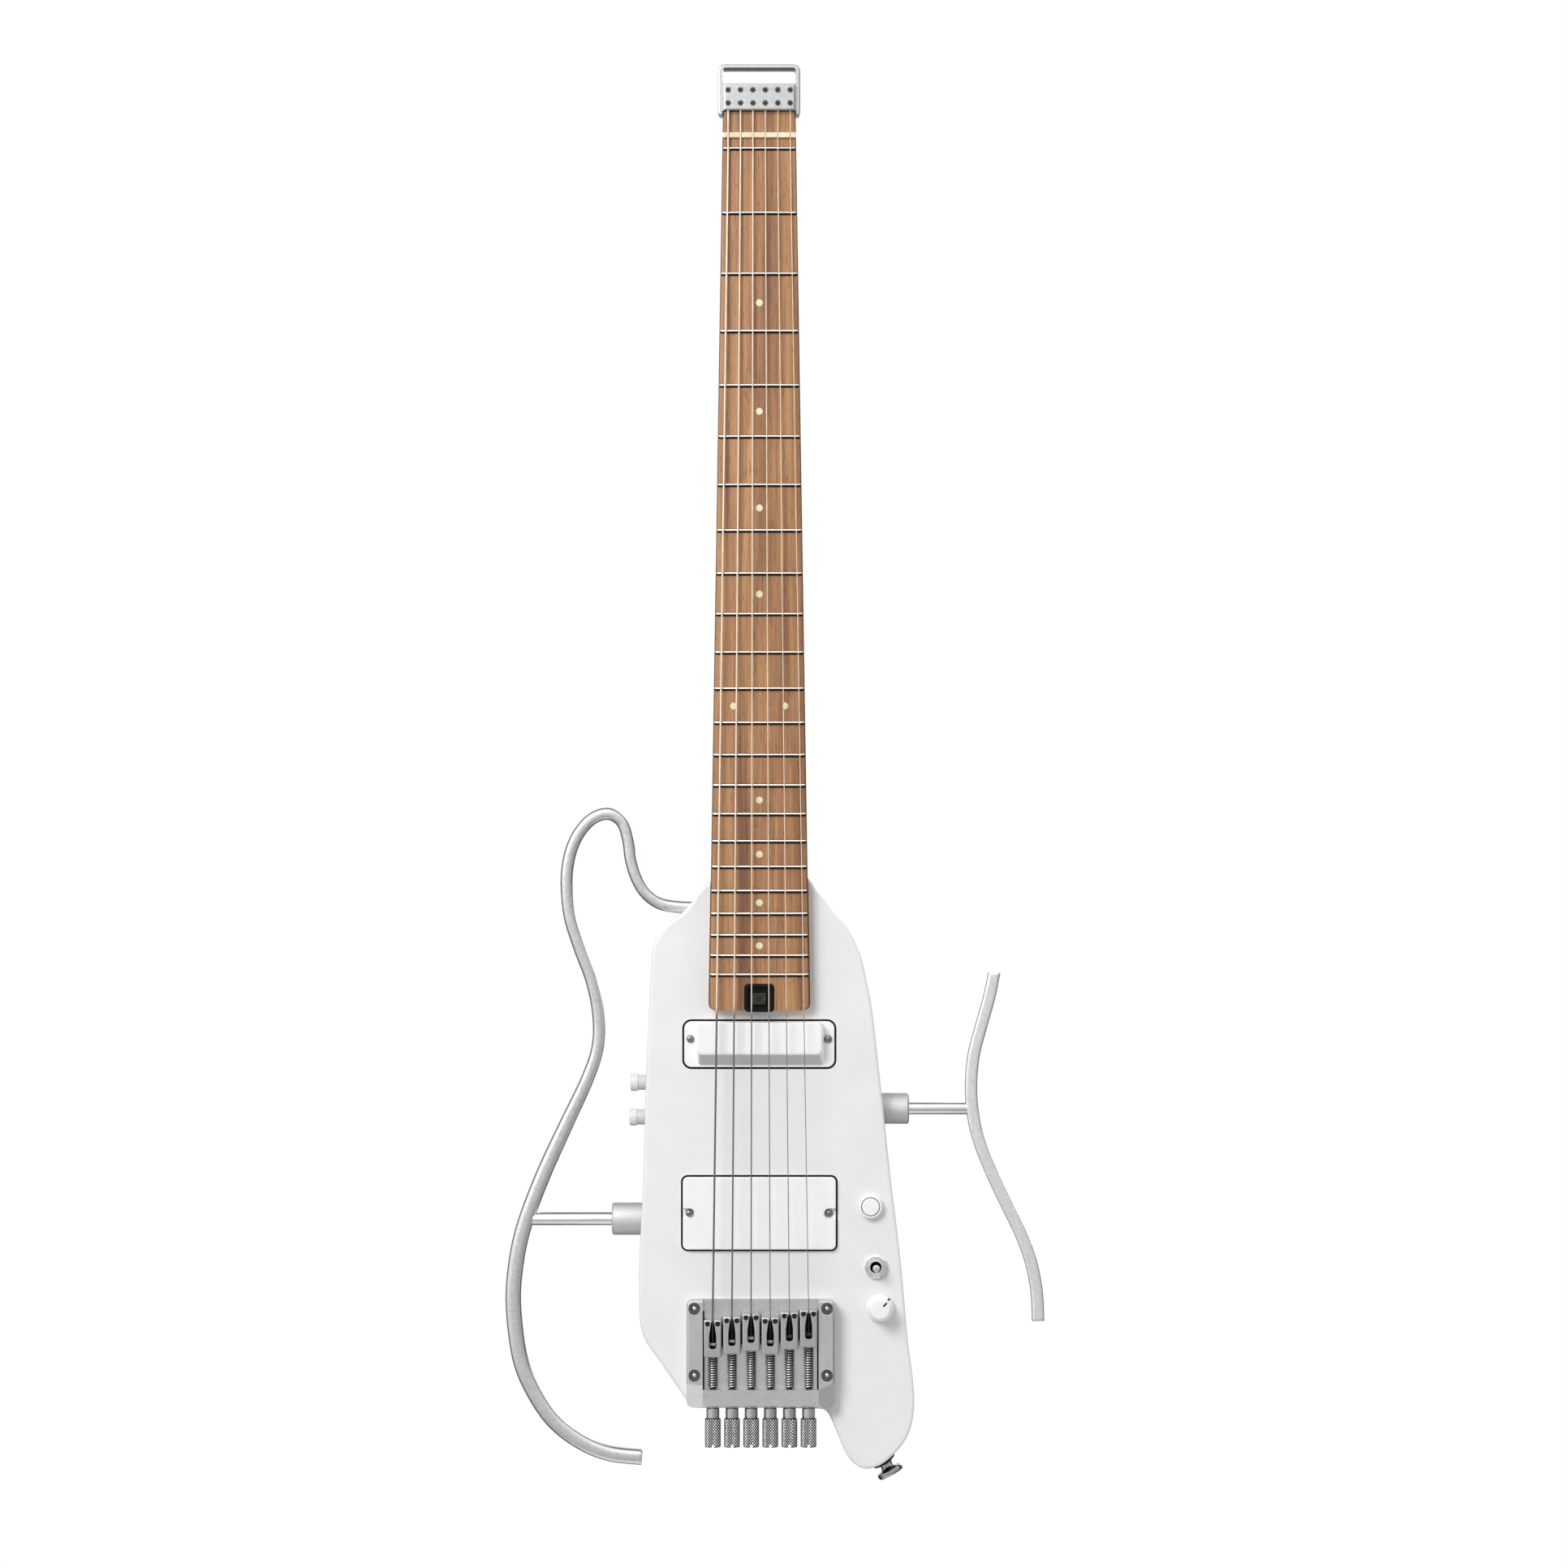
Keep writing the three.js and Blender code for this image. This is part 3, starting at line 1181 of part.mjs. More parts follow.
function barAlong(route, steps, widthAt, margin = 0) {
  const rings = Array.from({ length: steps + 1 }, (_, i) => {
    const share = i / steps;
    const tangent = route.getTangent(share);
    const side = new THREE.Vector3(tangent.z, 0, -tangent.x);
    const half = widthAt(share) / 2 + margin;
    const deep = barDepth / 2 + margin;
    const corners = [
      [half, deep - barEdge], [half - barEdge, deep], [barEdge - half, deep], [-half, deep - barEdge],
      [-half, barEdge - deep], [barEdge - half, -deep], [half - barEdge, -deep], [half, barEdge - deep],
    ];
    return corners.map(([across, back]) => (
      route.getPoint(share).addScaledVector(side, across).addScaledVector(toBack, back)
    ));
  });
  return loft(rings);
}

function leftBar(margin = 0) {
  return barAlong(leftRoute, leftBarSteps, leftBarSize, margin);
}

function rightBar(margin = 0) {
  return barAlong(rightRoute, rightBarSteps, () => barLowerWidth, margin);
}

// The middle of a bar where its rod meets it.
function routeX(route, z, steps) {
  const points = route.getPoints(steps);
  const missBy = (point) => Math.abs(point.z - z);
  return points.reduce((best, point) => (missBy(point) < missBy(best) ? point : best)).x;
}

const leftRodEndX = routeX(leftRoute, leftRodZ, leftBarSteps * cornerSteps);
const rightRodEndX = routeX(rightRoute, rightRodZ, rightBarSteps * cornerSteps);
const leftRodInnerX = leftCollarInnerX + rodInsert;
const rightRodInnerX = rightCollarInnerX - rodInsert;

function acrossRod(radius, startX, endX, z, sides = smallPieceSides) {
  return rod(
    radius, new THREE.Vector3(startX, bodyMiddleY, z), new THREE.Vector3(endX, bodyMiddleY, z), sides,
  );
}

function acrossBore(radius, startX, endX, z, sides = holeSides) {
  return acrossRod(radius / Math.cos(Math.PI / sides), startX, endX, z, sides);
}

function makeFrame(bar, barX, innerX, z) {
  return cut(bar, acrossBore(rodSpigotRadius + clearance, barX, innerX, z));
}

function makeRod(radius, innerX, barX, z, spaceOfBar) {
  const outward = Math.sign(barX - innerX);
  const shank = cut(acrossRod(radius, innerX, barX, z), spaceOfBar);
  return joined(shank, acrossRod(rodSpigotRadius, innerX, barX - outward * clearance, z));
}

function makeCollar(radius, length, boreRadius, innerX, z, direction) {
  const ring = turned([
    [0, 0], [radius, 0], [radius, length - collarEdge], [radius - collarEdge, length], [0, length],
  ], new THREE.Vector3(innerX, bodyMiddleY, z), direction);
  const endX = innerX + direction.x * length;
  return cut(ring, acrossBore(boreRadius, innerX - direction.x * overrun, endX + direction.x * overrun, z));
}

// Body
function makeBody() {
  const block = plate(bodyOutline(), bodyFrontY, bodyBackY, bodyEdgeRadius);
  const neckPocket = plate(boardPlan(clearance), bodyFrontY - overrun, bodyFrontY + neckPocketDepth);
  const pickups = [
    [
      neckPickupWidth, neckPickupHeight, neckPickupCornerRadius, neckPickupZ,
      neckCoilHeight, neckPickupScrewX, neckPickupScrewZ,
    ],
    [
      bridgePickupWidth, bridgePickupHeight, bridgePickupCornerRadius, bridgePickupZ,
      bridgeCoilHeight, bridgePickupScrewX, bridgePickupZ,
    ],
  ];
  const routs = pickups.flatMap(([width, height, radius, z, coilHeight, screwX, screwZ]) => [
    plate(
      roundedRectangle(width, height, radius, 0, z),
      bodyFrontY - overrun, pickupFlangeBackY + clearance,
    ),
    span(
      -coilWidth / 2 - pickupGap, coilWidth / 2 + pickupGap, pickupFlangeBackY, bodyFrontY + cavityDepth,
      z - coilHeight / 2 - pickupGap, z + coilHeight / 2 + pickupGap,
    ),
    ...[-1, 1].map((side) => hole(
      pickupScrewRadius + clearance, side * screwX, screwZ,
      pickupFlangeBackY, pickupFlangeBackY + pickupScrewLength,
    )),
  ]);
  const bridgePilots = bridgeScrewPlaces.map(([x, z]) => hole(
    bridgeScrewRadius + clearance, x, z, bodyFrontY - overrun, bridgeFrontY + bridgeScrewLength + overrun,
  ));
  const bay = [
    plate(
      roundedOutline(grown(bayCorners, bayLedge), bayCornerRadius),
      bodyBackY - backCoverThickness - clearance, bodyBackY + overrun,
    ),
    plate(roundedOutline(bayCorners, bayCornerRadius), bayFloorY, bodyBackY + overrun),
    plate(
      roundedOutline(leftWellOutlineShares.map(onBody), wellCornerRadius),
      leftWellFloorY, bodyBackY + overrun,
    ),
    plate(
      roundedOutline(rightWellOutlineShares.map(onBody), wellCornerRadius),
      rightWellFloorY, bodyBackY + overrun,
    ),
  ];
  const controlHoles = [
    [bezelTailRadius, button], [toggleBushingRadius, toggle], [volumeShaftRadius, volume],
  ].map(([radius, place]) => hole(
    radius + clearance, place.x, place.y, bodyFrontY - overrun, rightWellFloorY + overrun,
  ));
  const sideHoles = sideKnobZs.map((z) => (
    acrossBore(sideShaftRadius + clearance, sideX(bodyLeft, z) - overrun, leftWellX + overrun, z)
  ));
  const jackHoles = [
    acrossBore(
      jackFlangeRadius + clearance, jackSeatX, jackSeatX + jackFlangeRadius, jackZ, finePieceSides,
    ),
    acrossBore(jackBarrelRadius + clearance, jackSeatX - jackBoreDepth, jackSeatX + overrun, jackZ),
  ];
  const rodBores = [
    acrossBore(leftRodRadius + clearance, leftCollarInnerX - overrun, leftRodInnerX + clearance, leftRodZ),
    acrossBore(
      rightRodRadius + clearance, rightRodInnerX - clearance, rightCollarInnerX + overrun, rightRodZ,
    ),
  ];
  const collarSeats = [
    acrossBore(
      leftCollarRadius + clearance, leftCollarInnerX - leftCollarLength, leftCollarInnerX + clearance,
      leftRodZ, finePieceSides,
    ),
    acrossBore(
      rightCollarRadius + clearance, rightCollarInnerX - clearance, rightCollarInnerX + rightCollarLength,
      rightRodZ, finePieceSides,
    ),
  ];
  const barSlotHalf = barUpperWidth / 2 + 2 * clearance;
  const barSlot = span(
    leftBarInnerX - leftBarInsert * 2, leftBarInnerX + clearance,
    bodyMiddleY - barDepth / 2 - clearance, bodyMiddleY + barDepth / 2 + clearance,
    leftBarEntryZ - barSlotHalf, leftBarEntryZ + barSlotHalf,
  );
  const strapCuts = [
    bored(strapFlangeRadius + overrun, alongStrap(0), alongStrap(strapHeight), finePieceSides),
    bored(strapScrewRadius + clearance, alongStrap(-strapScrewLength - clearance), alongStrap(overrun)),
  ];
  return cut(
    block, neckPocket, ...routs, ...bridgePilots, ...bay, ...controlHoles, ...sideHoles, ...jackHoles,
    ...rodBores, ...collarSeats, barSlot, ...strapCuts,
  );
}

function makeBackCover() {
  const outline = roundedOutline(grown(bayCorners, bayLedge - clearance), bayCornerRadius);
  return plate(outline, bodyBackY - backCoverThickness, bodyBackY, clearance);
}

// Controls
function makeVolumeKnob() {
  const shaftEnd = bodyFrontY - volumeShaftEndY;
  return turned([
    [0, shaftEnd], [volumeShaftRadius, shaftEnd],
    [volumeShaftRadius, clearance], [volumeSkirtRadius, clearance],
    [volumeSkirtRadius, volumeSkirtHeight - knobEdge], [volumeSkirtRadius - knobEdge, volumeSkirtHeight],
    [volumeCapRadius, volumeSkirtHeight], [volumeCapRadius, volumeCapHeight - knobEdge],
    [volumeCapRadius - knobEdge, volumeCapHeight], [0, volumeCapHeight],
  ], new THREE.Vector3(volume.x, bodyFrontY, volume.y), toFront);
}

function makeButton() {
  const capBack = buttonProud - buttonThickness;
  return turned([
    [0, bodyFrontY - buttonStemEndY], [buttonStemRadius, bodyFrontY - buttonStemEndY],
    [buttonStemRadius, capBack], [buttonRadius, capBack], [buttonRadius, buttonProud - knobEdge / 2],
    [buttonRadius - knobEdge / 2, buttonProud], [0, buttonProud],
  ], new THREE.Vector3(button.x, bodyFrontY, button.y), toFront);
}

function makeBezel() {
  const wellRadius = buttonRadius + bezelGap;
  const boreRadius = buttonStemRadius + bezelGap;
  const cup = turned([
    [0, clearance - wellWall], [bezelTailRadius, clearance - wellWall], [bezelTailRadius, 0],
    [bezelRadius, 0], [bezelRadius, bezelProud - knobEdge / 2], [bezelRadius - knobEdge / 2, bezelProud],
    [wellRadius, bezelProud], [wellRadius, bezelFloor], [0, bezelFloor],
  ], new THREE.Vector3(button.x, bodyFrontY, button.y), toFront);
  return cut(cup, hole(boreRadius, button.x, button.y, bodyFrontY - bezelProud, rightWellFloorY + overrun));
}

const togglePivotY = rightWellFloorY;
const toggleCaseFrontY = rightWellFloorY + clearance;

function makeToggleSwitch() {
  const nutRadius = toggleNutAcross / 2;
  const rim = toggleNutThickness + toggleBushingProud;
  const bushingEnd = bodyFrontY - toggleCaseFrontY - overrun;
  const body = turned([
    [0, bushingEnd], [toggleBushingRadius, bushingEnd], [toggleBushingRadius, 0],
    [nutRadius, 0], [nutRadius, toggleNutThickness],
    [toggleBushingRadius, toggleNutThickness], [toggleBushingRadius, rim], [0, rim],
  ], new THREE.Vector3(toggle.x, bodyFrontY, toggle.y), toFront, smallPieceSides);
  const caseBlock = span(
    toggle.x - toggleCaseWidth / 2, toggle.x + toggleCaseWidth / 2,
    toggleCaseFrontY, toggleCaseFrontY + toggleCaseDepth,
    toggle.y - toggleCaseHeight / 2, toggle.y + toggleCaseHeight / 2,
  );
  const bore = hole(
    toggleBoreRadius, toggle.x, toggle.y, bodyFrontY - rim - overrun, togglePivotY + toggleBoreRadius,
  );
  return cut(joined(body, caseBlock), bore);
}

function makeToggleLever() {
  const pivotRadius = toggleBoreRadius - clearance;
  const ball = Array.from({ length: cornerSteps * 2 }, (_, k) => {
    const angle = (k / (cornerSteps * 2)) * (Math.PI - Math.asin(toggleLeverRadius / pivotRadius));
    return [pivotRadius * Math.sin(angle), -pivotRadius * Math.cos(angle)];
  });
  const neck = Math.sqrt(pivotRadius ** 2 - toggleLeverRadius ** 2);
  return turned([
    ...ball, [toggleLeverRadius, neck], [toggleTipRadius, toggleLeverLength - toggleTipRadius],
    [toggleTipRadius - toggleLeverRadius / 2, toggleLeverLength], [0, toggleLeverLength],
  ], new THREE.Vector3(toggle.x, togglePivotY, toggle.y), toFront, smallPieceSides);
}

function makeSideKnob(z) {
  const baseX = sideX(bodyLeft, z) - clearance;
  const shaft = leftWellX - baseX + sideShaftRadius;
  return turned([
    [0, -shaft], [sideShaftRadius, -shaft], [sideShaftRadius, 0], [sideKnobNeckRadius, 0],
    [sideKnobNeckRadius, sideKnobLength - sideKnobCapLength],
    [sideKnobRadius, sideKnobLength - sideKnobCapLength], [sideKnobRadius, sideKnobLength - knobEdge],
    [sideKnobRadius - knobEdge, sideKnobLength], [0, sideKnobLength],
  ], new THREE.Vector3(baseX, bodyMiddleY, z), toBass);
}

function makeJack() {
  const barrelEnd = clearance - jackBoreDepth - jackEndThickness;
  const flangeTop = clearance + jackFlangeThickness;
  const outer = turned([
    [0, barrelEnd], [jackBarrelRadius, barrelEnd], [jackBarrelRadius, clearance],
    [jackFlangeRadius, clearance], [jackFlangeRadius, flangeTop - knobEdge / 2],
    [jackFlangeRadius - knobEdge / 2, flangeTop], [0, flangeTop],
  ], new THREE.Vector3(jackSeatX, bodyMiddleY, jackZ), toTreble);
  const bore = acrossBore(jackBoreRadius, jackSeatX - jackBoreDepth, jackSeatX + jackFlangeRadius, jackZ);
  return cut(outer, bore);
}

function makeCircuitBoard() {
  const boardFrontY = bayFloorY + clearance;
  const outline = roundedOutline(circuitOutlineShares.map(onBody), wellCornerRadius);
  const board = plate(outline, boardFrontY, boardFrontY + circuitThickness);
  const potFrontY = volumeShaftEndY + clearance;
  const volumePot = [
    pin(potRadius, volume.x, volume.y, potFrontY, potFrontY + potLength),
    pin(legRadius, volume.x, volume.y, potFrontY + potLength - overrun, boardFrontY + circuitThickness / 2),
  ];
  const tact = pin(
    tactRadius, button.x, button.y,
    buttonStemEndY + buttonRoom + clearance, boardFrontY + circuitThickness / 2,
  );
  const sidePots = sideKnobZs.flatMap((z) => {
    const startX = leftWellX + sideShaftRadius + clearance;
    const middleX = startX + potLength / 2;
    return [
      acrossRod(potRadius, startX, startX + potLength, z),
      pin(legRadius, middleX, z, bodyMiddleY, boardFrontY + circuitThickness / 2),
    ];
  });
  return joined(board, ...volumePot, tact, ...sidePots);
}

// The guitar
addPiece('body', makeBody(), 'white_lacquer');
addPiece('back_cover', makeBackCover(), 'black_plastic');
addPiece('circuit_board', makeCircuitBoard(), 'circuit_green');
addPiece('neck', makeNeck(), 'neck_maple');
addPiece('fretboard', makeFretboard(), 'roasted_maple');
addPiece('nut', makeNut(), 'nut_bone');
addPiece('truss_rod', makeTrussRod(), 'steel');
addPiece('truss_rod_cover', makeTrussCover(), 'black_plastic');
addPiece('head_piece', makeHeadPiece(), 'satin_aluminium');

stringDiameters.forEach((_, i) => {
  const number = i + 1;
  addPiece(`string_${number}`, makeString(i), 'steel');
  addPiece(`saddle_${number}`, makeSaddle(i), 'satin_aluminium');
  addPiece(`saddle_spring_${number}`, makeSpring(i), 'steel');
  addPiece(`tuner_knob_${number}`, makeTuner(i), 'satin_aluminium');
  console.log(`saddle_spring_${number}: least gap between turns ${springGap(i).toFixed(2)} mm`);
});

addPiece('bridge_plate', makeBridgePlate(), 'satin_aluminium');
bridgeScrewPlaces.forEach((place, i) => {
  addPiece(`bridge_screw_${i + 1}`, makeSocketScrew(place), 'steel');
});

addPiece('neck_pickup', makeNeckPickup(), 'white_plastic');
addPiece('bridge_pickup', makeBridgePickup(), 'white_plastic');
[-1, 1].forEach((side, i) => {
  const neckScrew = makePickupScrew(side * neckPickupScrewX, neckPickupScrewZ, neckFlangeFrontY);
  const bridgeScrew = makePickupScrew(side * bridgePickupScrewX, bridgePickupZ, notchFloorY);
  addPiece(`neck_pickup_screw_${i + 1}`, neckScrew, 'steel');
  addPiece(`bridge_pickup_screw_${i + 1}`, bridgeScrew, 'steel');
});

addPiece('volume_knob', makeVolumeKnob(), 'white_plastic');
addPiece('push_button', makeButton(), 'white_plastic');
addPiece('button_bezel', makeBezel(), 'white_plastic');
addPiece('toggle_switch', makeToggleSwitch(), 'steel');
addPiece('toggle_lever', makeToggleLever(), 'steel');
addPiece('output_socket', makeJack(), 'steel');
sideKnobZs.forEach((z, i) => addPiece(`side_knob_${i + 1}`, makeSideKnob(z), 'white_plastic'));

addPiece('strap_washer', makeStrapWasher(), 'black_felt');
addPiece('strap_button', makeStrapButton(), 'steel');

addPiece('left_frame', makeFrame(leftBar(), leftRodEndX, leftRodInnerX, leftRodZ), 'satin_aluminium');
addPiece(
  'left_rod', makeRod(leftRodRadius, leftRodInnerX, leftRodEndX, leftRodZ, leftBar(clearance)),
  'satin_aluminium',
);
addPiece('left_collar', makeCollar(
  leftCollarRadius, leftCollarLength, leftRodRadius + clearance, leftCollarInnerX, leftRodZ, toBass,
), 'satin_aluminium');
addPiece('right_frame', makeFrame(rightBar(), rightRodEndX, rightRodInnerX, rightRodZ), 'satin_aluminium');
addPiece(
  'right_rod', makeRod(rightRodRadius, rightRodInnerX, rightRodEndX, rightRodZ, rightBar(clearance)),
  'satin_aluminium',
);
addPiece('right_collar', makeCollar(
  rightCollarRadius, rightCollarLength, rightRodRadius + clearance, rightCollarInnerX, rightRodZ, toTreble,
), 'satin_aluminium');

export default guitar;
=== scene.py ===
# %% [markdown]
# # A skeleton frame guitar, dressed for a studio photograph
#
# The guitar has a slim white body, a long neck with metal frets, two pickups, a bridge with six
# knurled tuners at its tail, and two bent aluminium bars that stand in for the wings of a full-size
# body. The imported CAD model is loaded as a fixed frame. Each piece here is a smoother and fuller
# surface for one of its nodes, and rides on the same moving body.
#
# All shapes are worked out in millimetres with numpy. They become metres when a mesh is made.

import bmesh
import bpy
import numpy as np
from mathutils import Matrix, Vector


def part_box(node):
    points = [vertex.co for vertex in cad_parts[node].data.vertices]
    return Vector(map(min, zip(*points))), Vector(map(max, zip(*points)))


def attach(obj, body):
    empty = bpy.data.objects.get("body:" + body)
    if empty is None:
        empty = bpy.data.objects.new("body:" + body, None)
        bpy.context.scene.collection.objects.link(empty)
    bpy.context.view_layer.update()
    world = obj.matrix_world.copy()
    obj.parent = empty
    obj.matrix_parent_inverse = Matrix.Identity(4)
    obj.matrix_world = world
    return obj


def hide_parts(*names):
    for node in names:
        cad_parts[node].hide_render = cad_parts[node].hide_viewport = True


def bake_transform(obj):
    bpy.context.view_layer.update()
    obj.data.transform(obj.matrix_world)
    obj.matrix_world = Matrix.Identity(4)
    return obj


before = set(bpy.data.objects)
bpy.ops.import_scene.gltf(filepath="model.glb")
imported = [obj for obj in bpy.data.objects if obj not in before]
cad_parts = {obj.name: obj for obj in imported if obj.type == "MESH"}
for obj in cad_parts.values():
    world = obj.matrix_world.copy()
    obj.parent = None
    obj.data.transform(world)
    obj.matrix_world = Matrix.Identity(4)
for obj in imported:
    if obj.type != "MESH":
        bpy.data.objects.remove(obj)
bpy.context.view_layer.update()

# %% [markdown]
# The camera stands three metres in front of the guitar, a little to the treble side of its middle,
# with a long lens. At that distance the frame is 884 mm wide, and the far bars look only slightly
# smaller than the near strings, as in the photograph.

# %% Camera
MM = 0.001
CAMERA_DISTANCE, CAMERA_X, CAMERA_Z = 3.0, 0.01395, -0.4014
VIEW_WIDTH, SENSOR_WIDTH, FACE_DEPTH = 0.8838, 36.0, -0.007


def put(name, data):
    """A new object that holds the data, linked into the scene."""
    obj = bpy.data.objects.new(name, data)
    bpy.context.scene.collection.objects.link(obj)
    return obj


camera_data = bpy.data.cameras.new("photo_view")
camera_data.sensor_width = SENSOR_WIDTH
camera_data.lens = SENSOR_WIDTH * CAMERA_DISTANCE / VIEW_WIDTH
camera = put("photo_view", camera_data)
camera.location = (CAMERA_X, FACE_DEPTH - CAMERA_DISTANCE, CAMERA_Z)
camera.rotation_euler = (np.pi / 2, 0, 0)
bpy.context.scene.camera = camera
print("lens", round(camera_data.lens, 1), "mm")

# %% [markdown]
# Nearly every shape starts as a line: an outline seen from the front, a profile to be spun, or a path
# for a section. A maker would draw these with compass and spline. Here they are whole arrays of
# points, so that one formula draws, softens, shrinks or re-spaces a line at once.

# %% Lines and outlines


def unit(vector):
    """The vector divided by its own length."""
    vector = np.asarray(vector, float)
    return vector / np.linalg.norm(vector)


def eased(points, radius, steps=5, closed=False):
    """A line with soft corners: each corner P becomes (1-t)^2 A + 2t(1-t) P + t^2 B, where A and B
    lie on the two legs, one radius from P or just under half a leg."""
    points = np.asarray(points, float)
    before, after = np.roll(points, 1, axis=0), np.roll(points, -1, axis=0)
    legs = [np.linalg.norm(side - points, axis=1) for side in (before, after)]
    reach = np.minimum(np.broadcast_to(radius, len(points)), 0.48 * np.minimum(*legs))
    reach = reach[:, None, None]
    start = points[:, None] + (before - points)[:, None] / legs[0][:, None, None] * reach
    end = points[:, None] + (after - points)[:, None] / legs[1][:, None, None] * reach
    t = np.linspace(0, 1, steps + 1)[None, :, None]
    curve = (1 - t) ** 2 * start + 2 * t * (1 - t) * points[:, None] + t ** 2 * end
    if closed:
        return curve.reshape(-1, points.shape[1])
    middle = curve[1:-1].reshape(-1, points.shape[1])
    return np.vstack([points[:1], middle, points[-1:]])


def box(left, right, bottom, top):
    """The four corners of a plain rectangle."""
    return np.array([(left, bottom), (right, bottom), (right, top), (left, top)])


def rectangle(width, height, radius, x=0.0, z=0.0, steps=8):
    """A rectangle with arcs at its corners: each point is the arc's centre plus radius times
    (cos a, sin a), with a running round in equal steps."""
    turn = np.linspace(0, np.pi / 2, steps + 1)
    quarter = np.arange(4)[:, None] * np.pi / 2
    angle = (turn + quarter).ravel()
    signs = np.array([(1, 1), (-1, 1), (-1, -1), (1, -1)]).repeat(steps + 1, axis=0)
    centre = signs * (width / 2 - radius, height / 2 - radius) + (x, z)
    return centre + radius * np.stack([np.cos(angle), np.sin(angle)], axis=1)


def inset(outline, distance):
    """An outline moved inwards: each point goes along the mean of its two edges' inward normals,
    stretched so that both edges move by the distance."""
    after = np.roll(outline, -1, axis=0)
    ahead = after - outline
    ahead /= np.linalg.norm(ahead, axis=1)[:, None]
    area = np.sum(outline[:, 0] * after[:, 1] - outline[:, 1] * after[:, 0])
    legs = (np.roll(ahead, 1, axis=0), ahead)
    normals = [np.sign(area) * np.stack([-leg[:, 1], leg[:, 0]], axis=1) for leg in legs]
    share = 1 + np.sum(normals[0] * normals[1], axis=1)
    return outline + distance * (normals[0] + normals[1]) / share[:, None]


def spline(points, samples=12):
    """A smooth line through points: between two of them, a cubic whose slopes are half the step from
    the point before to the point after."""
    points = np.asarray(points, float)
    line = np.vstack([points[:1], points, points[-1:]])
    t = np.linspace(0, 1, samples, endpoint=False)[None, :, None]
    p0, p1, p2, p3 = (line[k:len(line) - 3 + k][:, None] for k in range(4))
    slope1, slope2 = (p2 - p0) / 2, (p3 - p1) / 2
    cubic = 2 * p1 - 2 * p2 + slope1 + slope2
    square = 3 * p2 - 3 * p1 - 2 * slope1 - slope2
    curve = cubic * t ** 3 + square * t ** 2 + slope1 * t + p1
    return np.vstack([curve.reshape(-1, points.shape[1]), points[-1:]])


def spaced(points, step, closed=False):
    """The same line with points at equal steps of its own length, by linear interpolation."""
    points = np.vstack([points, points[:1]]) if closed else np.asarray(points, float)
    length = np.concatenate([[0], np.cumsum(np.linalg.norm(np.diff(points, axis=0), axis=1))])
    places = np.linspace(0, length[-1], max(int(round(length[-1] / step)), 2) + 1)
    line = np.stack([np.interp(places, length, column) for column in points.T], axis=1)
    return line[:-1] if closed else line


print("line helpers ready:", len(rectangle(2, 1, 0.2)), "points in a rounded rectangle")

# %% [markdown]
# Nearly every piece is a skin over rings of points: a profile spun about an axis as on a lathe, an
# outline carried through a few depths as on a router, or a section carried along a path as in a
# bender. Rings of equal length need no modelling by hand: neighbours are joined by a grid of faces.

# %% Rings


def turned(profile, origin, axis, sides=72):
    """A profile of (radius, distance) pairs spun about an axis: a ring's points are the origin, plus
    the axis times the distance, plus the radius times (cos a, sin a) across the axis."""
    profile = np.asarray(profile, float)
    axis = unit(axis)
    first = unit(np.cross(axis, (0, 0, 1) if abs(axis[2]) < 0.9 else (1, 0, 0)))
    second = np.cross(axis, first)
    angle = np.linspace(0, 2 * np.pi, sides, endpoint=False)[:, None]
    circle = np.cos(angle) * first + np.sin(angle) * second
    along = profile[:, 1, None, None] * axis
    return np.asarray(origin, float) + along + profile[:, 0, None, None] * circle


def flipped(profile):
    """A profile with its distances counted the other way."""
    return [(radius, -distance) for radius, distance in profile]


def plate(outline, levels):
    """An outline in X and Z carried through depths: each level is (depth, distance inwards)."""
    return np.stack([np.insert(inset(outline, inwards), 1, depth, axis=1) for depth, inwards in levels])


def slab(width, height, radius, x, z, levels, steps=8):
    """A rounded rectangle carried through depths. Each level has its own rectangle, smaller by the
    distance inwards on every side, and its corners' radius shrinks by as much."""
    rings = []
    for depth, i in levels:
        outline = rectangle(width - 2 * i, height - 2 * i, max(radius - i, 0.02), x, z, steps)
        rings.append(np.insert(outline, 1, depth, axis=1))
    return np.stack(rings)


def rounded_levels(front, back, front_edge, back_edge, steps=6, land=0.3):
    """Levels for a plate with quarter-round edges: inwards = r (1 - sin a), depth = r (1 - cos a) past
    the face, with a from 0 at the face to a quarter turn at the side. A last ring a little further in
    keeps the flat faces flat under smooth shading."""
    turn = np.linspace(0, np.pi / 2, steps + 1)
    levels = [(front, front_edge + land)]
    levels += [(front + front_edge * (1 - np.cos(a)), front_edge * (1 - np.sin(a))) for a in turn]
    levels += [(back - back_edge * (1 - np.cos(a)), back_edge * (1 - np.sin(a))) for a in turn[::-1]]
    return levels + [(back, back_edge + land)]


def skin(rings, loop=False):
    """Points and faces of a skin over rings. Neighbouring rings are joined by four-sided faces, and an
    end ring of some size is closed by one flat face. With loop, the last ring joins the first."""
    rings = np.asarray(rings, float)
    count, around = rings.shape[:2]
    index = np.arange(count * around).reshape(count, around)
    ahead = np.roll(index, -1, axis=0)
    rows = slice(None) if loop else slice(0, -1)
    quads = [index[rows], np.roll(index, -1, axis=1)[rows], np.roll(ahead, -1, axis=1)[rows], ahead[rows]]
    faces = np.stack(quads, axis=-1).reshape(-1, 4).tolist()
    if not loop:
        ends = [(rings[0], index[0][::-1]), (rings[-1], index[-1])]
        faces += [ring.tolist() for points, ring in ends if np.ptp(points, axis=0).max() > 1e-6]
    return rings.reshape(-1, 3), faces


def skinned(shape):
    """Plain rings become a skin, and a skin stays as it is."""
    return shape if isinstance(shape, tuple) else skin(shape)


